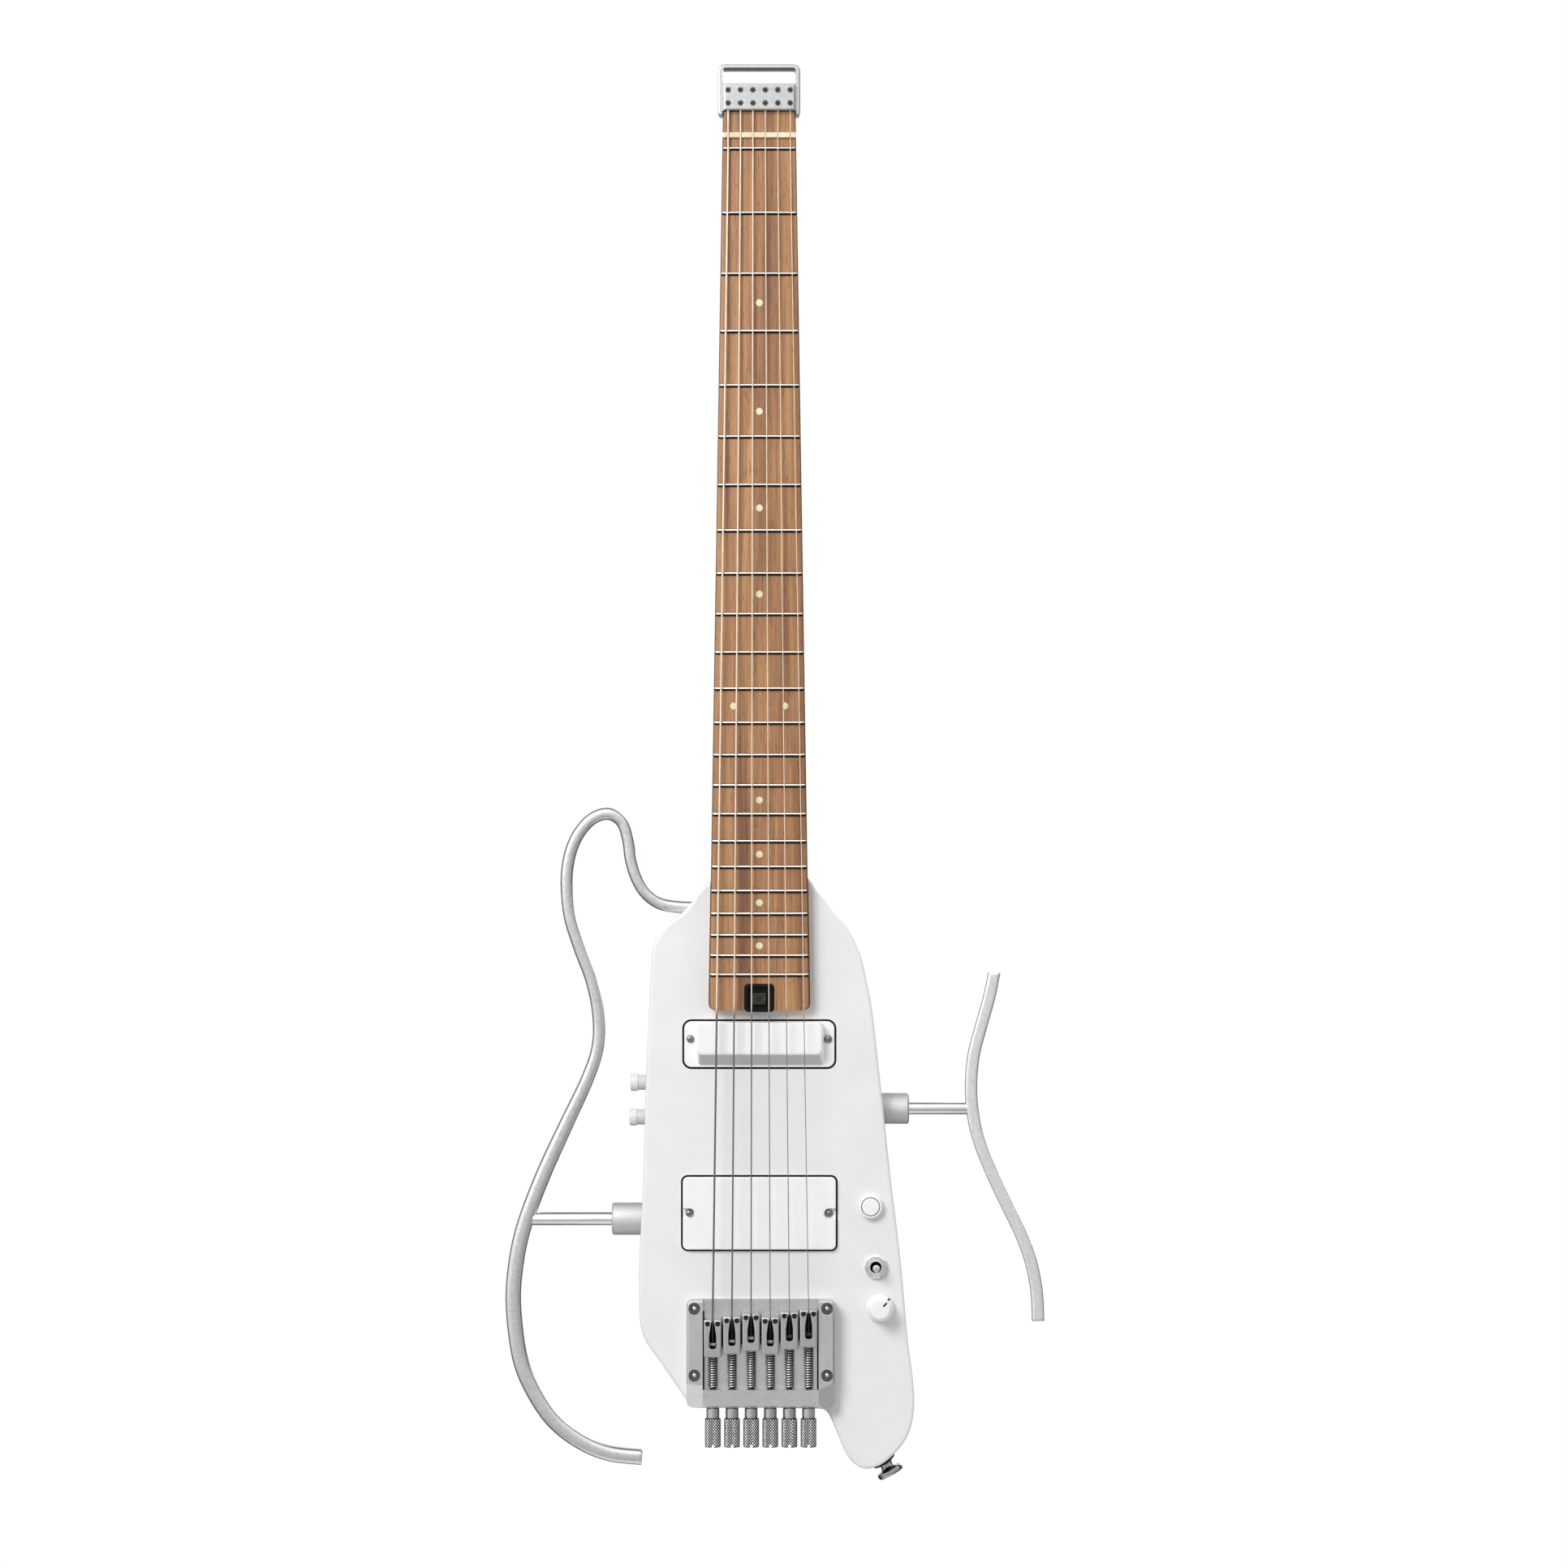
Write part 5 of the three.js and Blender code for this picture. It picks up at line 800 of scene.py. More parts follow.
neck_z = board_stations(NECK_TOP, 150, 0.1, 8)
share = ((NECK_TOP - neck_z) / (NECK_TOP - BOARD_END))[:, None]
heel = smoothstep(share, *HEEL_SHARES)
neck_back = (DEPTH_AT_NUT + DEPTH_GAIN * share) * (1 - heel) + HEEL_DEPTH * heel
power = 2 / (HAND_POWER * (1 - heel) + HEEL_POWER * heel)
angle = np.linspace(0, np.pi, 41)[None]
half = (half_width(neck_z) - corner_loss(neck_z, BOARD_END, BOARD_CORNER))[:, None]
neck_x = half * np.sign(np.cos(angle)) * np.abs(np.cos(angle)) ** power
neck_y = neck_back * np.abs(np.sin(angle)) ** power
neck_rings = np.stack([neck_x, neck_y, np.broadcast_to(neck_z[:, None], neck_x.shape)], axis=-1)
piece("neck_wood_piece", neck_rings, "neck_wood", node="neck",
      cuts=[pocket(TRUSS_CHANNEL, -2, 8.3), pocket(WHEEL_CHANNEL, -2, 8.4)])

# %% [markdown]
# The board is a slice of a wide cylinder, so its face falls away towards both edges, which are broken
# by half a millimetre. A darker rim is stored on its points, as painted shade along both long edges.

# %% Fretboard
COVER = cad("truss_rod_cover")
COVER_Z = COVER[2][2]
EDGE_START, EDGE_WIDTH, EDGE_FALL = 0.965, 0.035, 0.5
RIM_START, RIM_WIDTH = 0.8, 0.5
board_z = board_stations(BOARD_TOP, 60, 0.08, 12)
half = (half_width(board_z) - corner_loss(board_z, BOARD_END, BOARD_CORNER))[:, None]
across = np.concatenate([[-1, -0.985, -0.965], np.linspace(-0.94, 0.94, 29), [0.965, 0.985, 1]])[None]
face_x = half * across
face_y = face_depth(face_x) + EDGE_FALL * np.clip((np.abs(across) - EDGE_START) / EDGE_WIDTH, 0, 1) ** 2
side_x = np.concatenate([face_x, half, -half], axis=1)
side_y = np.concatenate([face_y, 0 * half, 0 * half], axis=1)
board_rings = np.stack([side_x, side_y, np.broadcast_to(board_z[:, None], side_x.shape)], axis=-1)
board_cuts = together(
    pocket(box(-40, 40, NUT_BOTTOM - 0.05, NUT_TOP + 0.05), -10, -3),
    pocket(rectangle(17.1, 16.0, 2.4, 0, COVER_Z), -10, 2),
)
board = piece("fretboard_wood_piece", board_rings, "fretboard_wood", node="fretboard", cuts=[board_cuts])


def rim_share(places):
    """0 on the board's face and 1 at its long edges."""
    past = np.abs(places[:, 0]) - half_width(places[:, 2]) + RIM_START
    return np.clip(past / RIM_WIDTH, 0, 1)


# The rim's darkening is painted shade.
mark(board, "rim", rim_share)

# %% [markdown]
# Frets are mushroom-shaped wires that follow the face. Their ends are filed down at a slant, so that
# they don't catch the hand. A lamp from above leaves a bright crown and a dark lower flank. The value
# stored across each wire paints them too, as a painted highlight and painted shade, which keeps that
# line crisp at any size.

# %% Frets
FRET_WIDTH, FRET_HEIGHT, FRET_SINK = 2.3, 1.1, 0.4
FRET_END, FRET_SLANT = 0.5, 1.5


def fret(number):
    """A wire across the board: its crown is nearly half an ellipse, y = face - h (sin a)^0.85 and
    z = fret + w/2 cos a, and its height falls off over the last millimetre and a half."""
    z = float(fret_place(number))
    half = float(half_width(z)) - FRET_END
    slant = np.linspace(half - FRET_SLANT, half, 6)
    x = np.concatenate([-slant[::-1], np.linspace(-half + 2.5, half - 2.5, 14), slant])
    slope = np.clip((half - np.abs(x)) / FRET_SLANT, 0, 1)[:, None]
    fall = 0.25 + 0.75 * np.sin(slope * np.pi / 2)
    turn = np.linspace(0, np.pi, 11)[None]
    crown = face_depth(x)[:, None] - FRET_HEIGHT * fall * np.sin(turn) ** 0.85
    sides = face_depth(x)[:, None] + FRET_SINK + 0 * slope
    depth = np.concatenate([sides, crown, sides], axis=1)
    reach = np.concatenate([[[1.0]], np.cos(turn), [[-1.0]]], axis=1) * FRET_WIDTH / 2
    z_grid = z + reach * (0.9 + 0.1 * fall)
    return np.stack([np.broadcast_to(x[:, None], depth.shape), depth, z_grid], axis=-1)


def across_fret(places):
    """0 at a crown's upper edge and 1 at its lower edge, measured from the nearest fret's middle."""
    offset = places[:, 2:3] - fret_place(np.arange(23))
    nearest = offset[np.arange(len(offset)), np.abs(offset).argmin(axis=1)]
    return 0.5 - nearest / FRET_WIDTH


frets = piece("fret_wires", together(*[fret(number) for number in range(23)]), "fret_metal")
# The stored value places the painted highlight and the painted shade across each wire.
mark(frets, "across", across_fret)

# %% [markdown]
# The dots are thin discs let into the wood, halfway between two frets. The twelfth has two. They
# could be painted on, but a disc keeps a round edge in every light.

# %% Dots
DOT_FRETS = (3, 5, 7, 9, 12, 15, 17, 19, 21)
TWIN_DOTS = (-14.4, 14.4)


def dot(x, z):
    """A disc with a slightly domed face, sunk into the board."""
    profile = [(0, 0.06), (1.6, 0.05), (1.95, 0.02), (1.95, -0.8), (0, -0.8)]
    return turned(profile, (x, float(face_depth(x)), z), (0, -1, 0), 40)


dots = []
for number in DOT_FRETS:
    z = float(fret_place(number - 1) + fret_place(number)) / 2
    dots += [dot(x, z) for x in (TWIN_DOTS if number == 12 else (0.0,))]
piece("dot_inlays", together(*dots), "cream_bone")

# %% [markdown]
# The nut is a small bone block with a slot for each string. The zero fret just below it sets the
# height of the strings, so the nut only keeps them apart.

# %% Nut
STRING_DIAMETERS = [1.17, 0.91, 0.66, 0.43, 0.33, 0.25]
NUT_PITCH, SADDLE_PITCH, BRIDGE_X = 7.0, 10.8, 0.8
nut_x = (np.arange(6) - 2.5) * NUT_PITCH
saddle_x = BRIDGE_X + (np.arange(6) - 2.5) * SADDLE_PITCH
nut_z = (NUT_TOP + NUT_BOTTOM) / 2
nut_levels = rounded_levels(-7.9, -3.3, 0.5, 0.1, 4)
nut_block = slab(2 * float(half_width(nut_z)), NUT_TOP - NUT_BOTTOM, 0.3, 0, nut_z, nut_levels, 3)
slots = [
    pocket(rectangle(d + 0.3, 9, d / 3, x, nut_z, 3), -12, float(face_depth(x)) - 0.9)
    for x, d in zip(nut_x, STRING_DIAMETERS)
]
piece("nut_piece", nut_block, "cream_bone", node="nut", cuts=[together(*slots)])

# %% [markdown]
# A small black tray is let into the end of the board. In it a square nut with a hexagon socket
# adjusts the truss rod. The tray is a rounded plate with a pocket in it. The rod and the circuit board
# stay CAD solids, because they are out of sight, but get a finish of their own.

# %% Truss rod tray
TRUSS_NUT_Z, TRUSS_SOCKET = COVER_Z - 0.6, 1.7
TRAY_WIDTH, TRAY_HEIGHT, TRAY_WALL = 16.9, 15.8, 1.8
tray = slab(TRAY_WIDTH, TRAY_HEIGHT, 2.3, 0, COVER_Z, rounded_levels(-6.3, -0.3, 0.4, 0.1, 4))
tray_inside = rectangle(TRAY_WIDTH - 2 * TRAY_WALL, TRAY_HEIGHT - 2 * TRAY_WALL, 1.6, 0, COVER_Z)
piece("truss_tray", tray, "black_plastic", node="truss_rod_cover", cuts=[pocket(tray_inside, -9, -3.7)])
sixths = np.arange(6) * np.pi / 3
hexagon = np.stack([np.cos(sixths), np.sin(sixths)], axis=1) * TRUSS_SOCKET + (0, TRUSS_NUT_Z)
truss_nut = slab(8, 6.7, 0.8, 0, TRUSS_NUT_Z, rounded_levels(-5.7, -3.6, 0.4, 0.1, 3), 4)
piece("truss_nut", truss_nut, "dark_steel", cuts=[pocket(hexagon, -8, -3.9)])
dress(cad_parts["truss_rod"], "dull_steel")
dress(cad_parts["circuit_board"], "circuit_green")

# %% [markdown]
# The head is cast and bead-blasted: a loop to hang the guitar on, with two arms beside the end of the
# board, and a block across it that clamps the six strings under twelve set screws. The bar's underside
# is crowned, so that the bar rests on a hook along its middle line.

# %% Head
LOOP_TOP, CLAMP_TOP, CLAMP_BOTTOM, ARM_BOTTOM, HEAD_HALF = 4.3, -7.0, -21.9, -24.5, 23.2
HANDLE_RISE, HANDLE_SAG, HEAD_HALF_DEPTH = 2.4, 1.3, 7.0
SCREW_TOP, SCREW_BOTTOM, SCREW_HOLE = CLAMP_TOP - 3.6, CLAMP_BOTTOM + 3.9, 1.75


def loop_rings():
    """The loop's opening: its upper edge is at rise - sag (1 - (y / half)^2), lowest at the middle
    depth."""
    depths = np.linspace(-HEAD_HALF_DEPTH * 1.3, HEAD_HALF_DEPTH * 1.3, 27)
    rises = HANDLE_RISE - HANDLE_SAG * (1 - np.clip(np.abs(depths) / HEAD_HALF_DEPTH, 0, 1) ** 2)
    return np.stack([
        np.insert(rectangle(41.2, rise - CLAMP_TOP, 1.7, 0, (rise + CLAMP_TOP) / 2), 1, depth, axis=1)
        for depth, rise in zip(depths, rises)
    ])


bail_corners = [
    (-HEAD_HALF, LOOP_TOP), (-HEAD_HALF, ARM_BOTTOM), (HEAD_HALF, ARM_BOTTOM), (HEAD_HALF, LOOP_TOP),
]
bail_outline = eased(bail_corners, [4.2, 2.0, 2.0, 4.2], 10, closed=True)
bail = plate(bail_outline, rounded_levels(-HEAD_HALF_DEPTH, HEAD_HALF_DEPTH, 0.8, 0.8, 5))
board_room = pocket(rectangle(41.8, 10, 0.05, 0, CLAMP_BOTTOM - 5, 1), -14, 0.0)
piece("head_bail", bail, "bail_metal", node="head_piece", cuts=[loop_rings(), board_room])
set_places = [(x, z) for z in (SCREW_TOP, SCREW_BOTTOM) for x in nut_x]
clamp_z, clamp_height = (CLAMP_TOP + CLAMP_BOTTOM) / 2, CLAMP_TOP - CLAMP_BOTTOM
clamp_block = slab(40.3, clamp_height, 0.8, 0, clamp_z, rounded_levels(-10.5, -6.4, 0.8, 0.1, 4), 4)
clamp_holes = together(*[bore(SCREW_HOLE, place, -14, -7.6, 32) for place in set_places])
piece("string_clamp", clamp_block, "bail_metal", cuts=[clamp_holes])

# %% [markdown]
# A set screw is a short cylinder with a hexagon socket. The socket's mouth is one ring of the same
# turned shape, bent to six sides, so no Boolean is needed. A black disc inside each is painted
# shade, so that the socket reads as deep.

# %% Set screws with hexagon sockets
BEVEL, MOUTH = 0.15, 0.1


def socket_disc(radius, socket, thickness, depth, origin, sides=36):
    """A round head with a hexagon socket: its rings go from the rim to the socket's mouth, whose
    radius at an angle a is s cos 30 / cos(a mod 60 - 30), and down to the socket's floor."""
    angle = np.linspace(0, 2 * np.pi, sides, endpoint=False)
    hexed = socket * np.cos(np.pi / 6) / np.cos(angle % (np.pi / 3) - np.pi / 6)
    full = np.ones(sides)
    rims = [
        (0 * full, thickness), (radius * full, thickness), (radius * full, BEVEL),
        ((radius - BEVEL) * full, 0.0), (hexed + MOUTH, 0.0), (hexed, MOUTH), (hexed * 0.98, depth),
        (0 * full, depth + 0.2),
    ]
    x, y, z = origin
    return np.stack([
        np.stack([x + r * np.cos(angle), y + full * d, z + r * np.sin(angle)], axis=1) for r, d in rims
    ])


floor_profile = [(0, 0.35), (1.2, 0.3), (1.2, -0.3), (0, -0.3)]
head_screws = [socket_disc(1.7, 1.42, 2.0, 1.2, (x, -10.15, z)) for x, z in set_places]
# Black discs in the sockets are painted shade.
painted_socket_shades = [turned(floor_profile, (x, -9.2, z), (0, -1, 0), 24) for x, z in set_places]
piece("head_set_screws", together(*head_screws), "bail_metal")
piece("head_painted_socket_shades", together(*painted_socket_shades), "black_steel")

# %% [markdown]
# A string runs from the clamp over the zero fret to its saddle, where it dips into the slot and ends
# in a ball. It is one long tube whose rings lie across it. When a tuner draws its saddle, the string
# stretches.

# %% Strings
saddle_boxes = [cad(f"saddle_{k}") for k in range(1, 7)]
BRIDGE_ACTION, CLAMPED_DEPTH, SLOT_DIP = 4.3, -8.0, 2.4
LOOK_SHARE, LOOK_EXTRA = 0.74, 0.26
BALL = [
    (0.45, -1.5), (1.6, -1.5), (1.6, -1.1), (1.2, -0.7), (1.2, 0.7), (1.6, 1.1), (1.6, 1.5), (0.45, 1.5),
]


def tube(path, radius, sides=10):
    """Rings of one radius along a path: each lies across the mean of its two legs' directions."""
    legs = np.diff(path, axis=0)
    legs /= np.linalg.norm(legs, axis=1)[:, None]
    tangent = np.vstack([legs[:1], legs[:-1] + legs[1:], legs[-1:]])
    tangent /= np.linalg.norm(tangent, axis=1)[:, None]
    side = np.cross(tangent, (0.0, 1.0, 0.02))
    side /= np.linalg.norm(side, axis=1)[:, None]
    other = np.cross(tangent, side)
    angle = np.linspace(0, 2 * np.pi, sides, endpoint=False)[None, :, None]
    radius = np.broadcast_to(radius, len(path))[:, None, None]
    return path[:, None] + radius * (np.cos(angle) * side[:, None] + np.sin(angle) * other[:, None])


for k in range(6):
    radius = (LOOK_SHARE * STRING_DIAMETERS[k] + LOOK_EXTRA) / 2
    crown = saddle_boxes[k][1][2]
    saddle_y = -7.4 - radius - BRIDGE_ACTION
    zero_y = float(face_depth(nut_x[k])) - FRET_HEIGHT - radius
    corners = np.array([
        (nut_x[k], CLAMPED_DEPTH, CLAMP_BOTTOM + 3), (nut_x[k], CLAMPED_DEPTH, CLAMP_BOTTOM - 0.5),
        (nut_x[k], zero_y - 0.05, ZERO_FRET + 1.0), (nut_x[k], zero_y, ZERO_FRET - 0.3),
        (saddle_x[k], saddle_y, crown + 0.3), (saddle_x[k], saddle_y + 0.25, crown - 1.4),
        (saddle_x[k], saddle_y + SLOT_DIP, crown - 10.6), (saddle_x[k], saddle_y + SLOT_DIP, crown - 12.6),
    ])
    line = eased(corners, 0.9, steps=4)
    fine = spaced(line[line[:, 2] < crown + 4], 0.6)
    start, end = line[line[:, 2] > ZERO_FRET - 3][-1], fine[0]
    share = ((start[2] - np.array([BOARD_END + 3, BOARD_END - 3, -600.0])) / (start[2] - end[2]))[:, None]
    path = np.vstack([line[line[:, 2] > ZERO_FRET - 3], start + share * (end - start), fine])
    metal = "wound_nickel" if k < 3 else "plain_steel"
    string = piece(f"string_wire_{k + 1}", tube(path, radius), metal, body=None, node=f"string_{k + 1}")
    # The stored value paints the string: a painted reflection of the board over it, grey over the body, and
    # painted shade in the saddle's slot.
    places = [crown - 3, crown - 0.5, BOARD_END - 3, BOARD_END + 3]
    mark(string, "shade", lambda p: np.interp(p[:, 2], places, [1.0, 0.5, 0.5, 0.0]))
    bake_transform(string)
    centre = (saddle_x[k], saddle_y + SLOT_DIP, crown - 14.0)
    ball = skin(turned(eased(BALL, 0.12, 2, closed=True), centre, (1, 0, 0), 32), loop=True)
    # The balls of the two thinnest strings are black: painted shade at the bottom of their slots.
    piece(f"ball_end_{k + 1}", ball, "dull_steel" if k < 4 else "black_steel", body=f"saddle_{k + 1}")

# %% [markdown]
# The bridge is milled from a block: two rails, a rear wall that carries the tuners, and a flat tray
# where the six saddles slide. Both ends of the wall are slanted by one pass of a cutter. Thin black
# strips of painted shade fill the gaps beside the saddles, where the real tray lies in deep shade.

# %% Bridge plate
BRIDGE = cad("bridge_plate")
BRIDGE_END, WALL_TOP = BRIDGE[0][2], BRIDGE[0][2] + 10.2
BRIDGE_WIDTH, BRIDGE_HEIGHT, RAIL, GROOVE, SHADE_STRIP_WIDTH = 83.8, 60.7, 9.2, 0.9, 0.55
TUNER_DEPTH = -3
BRIDGE_LEVELS = [
    (-7.5, 1.7), (-7.5, 1.3), (-7.35, 1.1), (-6.35, 0.12), (-6.1, 0), (2.9, 0), (3, 0.1), (3, 0.5),
]
GROOVE_TOP = saddle_boxes[5][1][2] - 1.5
inner = BRIDGE_WIDTH / 2 - RAIL


def facet(side):
    """A wedge that slants the end of the rear wall, from nothing at the rail's inner side to nearly 4
    mm. Its upper end slants too: outwards it rises by 5 mm on the right and by less on the left."""
    outer = BRIDGE_X + side * BRIDGE_WIDTH / 2
    start, past = outer - side * RAIL, outer + side * 2
    wedge = [(start, -7.5), (past, -3.0), (past, -12), (start, -12)]
    top = WALL_TOP + (np.array([2.4, 4.0, 4.0, 2.4]) if side < 0 else np.array([0, 5.0, 5.0, 0]))
    return [[(x, y, BRIDGE_END - 2) for x, y in wedge], [(x, y, z) for (x, y), z in zip(wedge, top)]]


groove_z, groove_length = (WALL_TOP + GROOVE_TOP) / 2, GROOVE_TOP - WALL_TOP
groove_x = [BRIDGE_X + side * (inner - GROOVE / 2) for side in (-1, 1)]
grooves = [pocket(rectangle(GROOVE, groove_length, 0.02, x, groove_z, 1), -1, 1.8) for x in groove_x]
# Black strips of painted shade, in the grooves beside the rails and between neighbouring saddles.
painted_shade_strips = [
    slab(GROOVE - 0.04, groove_length - 0.1, 0.02, x, groove_z, [(0.3, 0), (1.75, 0)], 1)
    for x in groove_x
]
for k, (one, other) in enumerate(zip(saddle_boxes, saddle_boxes[1:])):
    top, bottom = min(one[1][2], other[1][2]) - 3.5, max(one[0][2], other[0][2]) + 3.5
    between = (saddle_x[k] + saddle_x[k + 1]) / 2
    painted_shade_strips.append(slab(SHADE_STRIP_WIDTH, top - bottom, 0.02, between, (top + bottom) / 2, [(-9.5, 0), (-0.02, 0)], 1))
piece("rail_painted_shade_strips", together(*painted_shade_strips), "black_plastic")
bolt_places = [spot(f"bridge_screw_{k}") for k in range(1, 5)]
bolt_holes = [bore(3.35, place, -12, -3.8) for place in bolt_places]
tuner_bores = [
    drill(1.8, (x, TUNER_DEPTH, BRIDGE_END - 3), (x, TUNER_DEPTH, WALL_TOP + 1), 32) for x in saddle_x
]
tray_box = box(BRIDGE_X - inner, BRIDGE_X + inner, WALL_TOP, BRIDGE[1][2] + 3)
bridge_cuts = [pocket(tray_box, -12, 0.0)]
bridge_cuts += [together(*cut) for cut in (grooves, (facet(-1), facet(1)), bolt_holes, tuner_bores)]
bridge_outline = rectangle(BRIDGE_WIDTH, BRIDGE_HEIGHT, 3.4, BRIDGE_X, BRIDGE[2][2])
piece("bridge_block", plate(bridge_outline, BRIDGE_LEVELS), "bridge_metal", node="bridge_plate",
      cuts=bridge_cuts, sharp=np.radians(14))

# %% [markdown]
# Four dark socket-head bolts hold the bridge. A small bright dish in each socket is a painted
# highlight, where the lamp catches the socket's floor.

# %% Bridge bolts
HIGHLIGHT_DISH = [(0, 0.7), (0.9, 0.62), (1.45, 0.3), (1.55, -0.3), (0, -0.3)]
for k, (x, z) in enumerate(bolt_places, 1):
    head = socket_disc(3.0, 1.85, 3.0, 1.3, (x, -7.3, z), 60)
    shank = turned([(0, 0), (1.6, 0), (1.6, 21.5), (0, 22)], (x, -4.3, z), (0, 1, 0), 24)
    piece(f"bridge_bolt_{k}", together(head, shank), "dark_iron", node=f"bridge_screw_{k}")
    # A bright dish in the socket is a painted highlight.
    piece(f"bridge_bolt_floor_{k}", turned(HIGHLIGHT_DISH, (x, -5.8, z), (0, -1, 0), 32), "bright_nickel")

# %% [markdown]
# A saddle is a block with a tapered slot for the string's ball, a groove at its crown, and two small
# set screws for its height. The slot's walls and floor are lined in black as painted shade, because
# the real slot is so deep that no light comes back from it.

# %% Saddles
SLOT = np.array([
    (-0.95, -1.5), (-2.05, -9.0), (-2.05, -16.2), (2.05, -16.2), (2.05, -9.0), (0.95, -1.5),
])
GRUB_SPREAD, GRUB_DROP = 2.85, 2.1
SADDLE_LEVELS = rounded_levels(-12.78, -0.3, 0.7, 0.2, 3)
for k in range(6):
    low, high, middle = saddle_boxes[k]
    x, top, body = float(saddle_x[k]), float(high[2]), f"saddle_{k + 1}"
    block = slab(9.9, 20.9, 0.75, x, middle[2], SADDLE_LEVELS, 3)
    slot = eased(SLOT + (x, top), [0.6, 1.5, 1.7, 1.7, 1.5, 0.6], 6, closed=True)
    groove = rectangle(STRING_DIAMETERS[k] + 0.5, 5, 0.1, x, top, 2)
    grub_places = [(x + side * GRUB_SPREAD, top - GRUB_DROP) for side in (-1, 1)]
    holes = together(*[bore(1.45, place, -16, -9.6, 28) for place in grub_places])
    cuts = [pocket(slot, -16, -6.9), pocket(groove, -16, -7.4 - BRIDGE_ACTION + 0.25), holes]
    piece(f"saddle_block_{k + 1}", block, "saddle_metal", body=body, node=body, cuts=cuts)
    # A black sheet on the slot's walls and floor is painted shade.
    painted_slot_shade = skin(plate(slot, [(-11.4, 0.03), (-11.4, 0.13), (-7.1, 0.15), (-7.0, 0.03)]), loop=True)
    floor = plate(slot, [(-7.1, 0.03), (-6.92, 0.03)])
    piece(f"saddle_lining_{k + 1}", together(painted_slot_shade, floor), "black_plastic", body=body)
    grubs = [socket_disc(1.4, 0.7, 1.6, 1.0, (gx, -11.0, gz), 24) for gx, gz in grub_places]
    piece(f"saddle_grubs_{k + 1}", together(*grubs), "dark_steel", body=body)

# %% [markdown]
# A spring pushes each saddle away from the wall. It is a tube along a helix, x = R cos a, y = R sin a,
# z rising evenly with a.

# %% Saddle springs
SPRING_RADIUS, SPRING_WIRE, SPRING_PITCH, STEPS_PER_TURN = 2.45, 0.36, 1.4, 24
for k in range(6):
    low, high = WALL_TOP + 0.3, saddle_boxes[k][0][2] - 0.3
    turns = int(round((high - low) / SPRING_PITCH))
    t = np.linspace(0, 1, turns * STEPS_PER_TURN + 1)
    turn = 2 * np.pi * turns * t
    rise = low + SPRING_WIRE + (high - low - 2 * SPRING_WIRE) * t
    coil = [saddle_x[k] + SPRING_RADIUS * np.cos(turn), TUNER_DEPTH + SPRING_RADIUS * np.sin(turn), rise]
    spring = piece(f"spring_coil_{k + 1}", tube(np.stack(coil, axis=1), SPRING_WIRE, 8), "spring_steel",
                   body=None, node=f"saddle_spring_{k + 1}")
    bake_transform(spring)

# %% [markdown]
# A tuner is a long screw with a smooth collar and a barrel. The barrel's diamond knurl is two families
# of helical grooves that cross. The radius at an angle a and height h is R - d max(w(a n + h/p),
# w(a n - h/p)), where w is a triangle wave.

# %% Tuners
KNURLS, KNURL_DEPTH, KNURL_PITCH, BARREL_RADIUS, CHAMFER = 17, 0.48, 1.7, 4.62, 0.4
SLOT_HALF, SLOT_DEPTH = 0.7, 1.5


def triangle(value):
    """0 in the middle of each unit step and 1 at its ends."""
    return np.abs(2 * (value % 1.0) - 1)


def barrel(x, top, length, sides=264):
    """The knurled barrel from its shoulder to its end, with plain chamfers at both."""
    height = np.linspace(0, length, 176)
    angle = np.linspace(0, 2 * np.pi, sides, endpoint=False)[None]
    u, v = angle * KNURLS / (2 * np.pi), height[:, None] / KNURL_PITCH
    groove = np.maximum(triangle(u + v), triangle(u - v))
    edge = np.clip(np.minimum(height, length - height) / CHAMFER, 0, 1)[:, None]
    radius = BARREL_RADIUS - CHAMFER * (1 - edge) - KNURL_DEPTH * groove * edge
    z = np.broadcast_to(top - height[:, None], radius.shape)
    return np.stack([x + radius * np.cos(angle), TUNER_DEPTH + radius * np.sin(angle), z], axis=-1)


def groove_share(places, x):
    """How deep points lie in a barrel's grooves, from 0 at the crests to 1."""
    return (BARREL_RADIUS - np.hypot(places[:, 0] - x, places[:, 1] - TUNER_DEPTH)) / KNURL_DEPTH


DOWN = (0, 0, -1)
wall = BRIDGE_END - 0.3
COLLAR = [
    (0, wall), (3.1, wall), (3.65, wall - 0.5), (3.65, wall - 5.5), (3.3, wall - 5.9),
    (3.3, wall - 6.4), (0, wall - 6.4),
]
for k in range(6):
    x, low, high = float(saddle_x[k]), *cad(f"tuner_knob_{k + 1}")[:2]
    screw = [(0, high[2]), (1.3, high[2]), (1.5, high[2] - 0.3), (1.5, wall - 0.4), (0, wall - 0.4)]
    screw, collar = (turned(flipped(line), (x, TUNER_DEPTH, 0), DOWN, 40) for line in (screw, COLLAR))
    body = f"tuner_{k + 1}"
    piece(f"tuner_screw_{k + 1}", screw, "black_steel", body=body)
    piece(f"tuner_collar_{k + 1}", collar, "saddle_metal", body=body, node=f"tuner_knob_{k + 1}")
    end_slot = pocket(box(x - SLOT_HALF, x + SLOT_HALF, low[2] - 2, low[2] + SLOT_DEPTH), -12, 6)
    knob_rings = barrel(x, wall - 6, wall - 6 - low[2])
    knob = piece(f"tuner_barrel_{k + 1}", knob_rings, "knurl_metal", body=body, cuts=[end_slot])
    # The stored depth paints shade into the knurl's grooves.
    mark(knob, "groove", lambda places: groove_share(places, x))

# %% [markdown]
# The pickups are white moulded covers that sit in pockets with a thin dark gap all round. A black
# frame stands in each pocket as painted shade, which keeps the gap black however the light falls.

# %% Painted shade in the pickup pockets
SHADE_FRAME_WALL, SHADE_FRAME_FRONT, SHADE_FRAME_BACK = 0.8, 3.4, 6.95


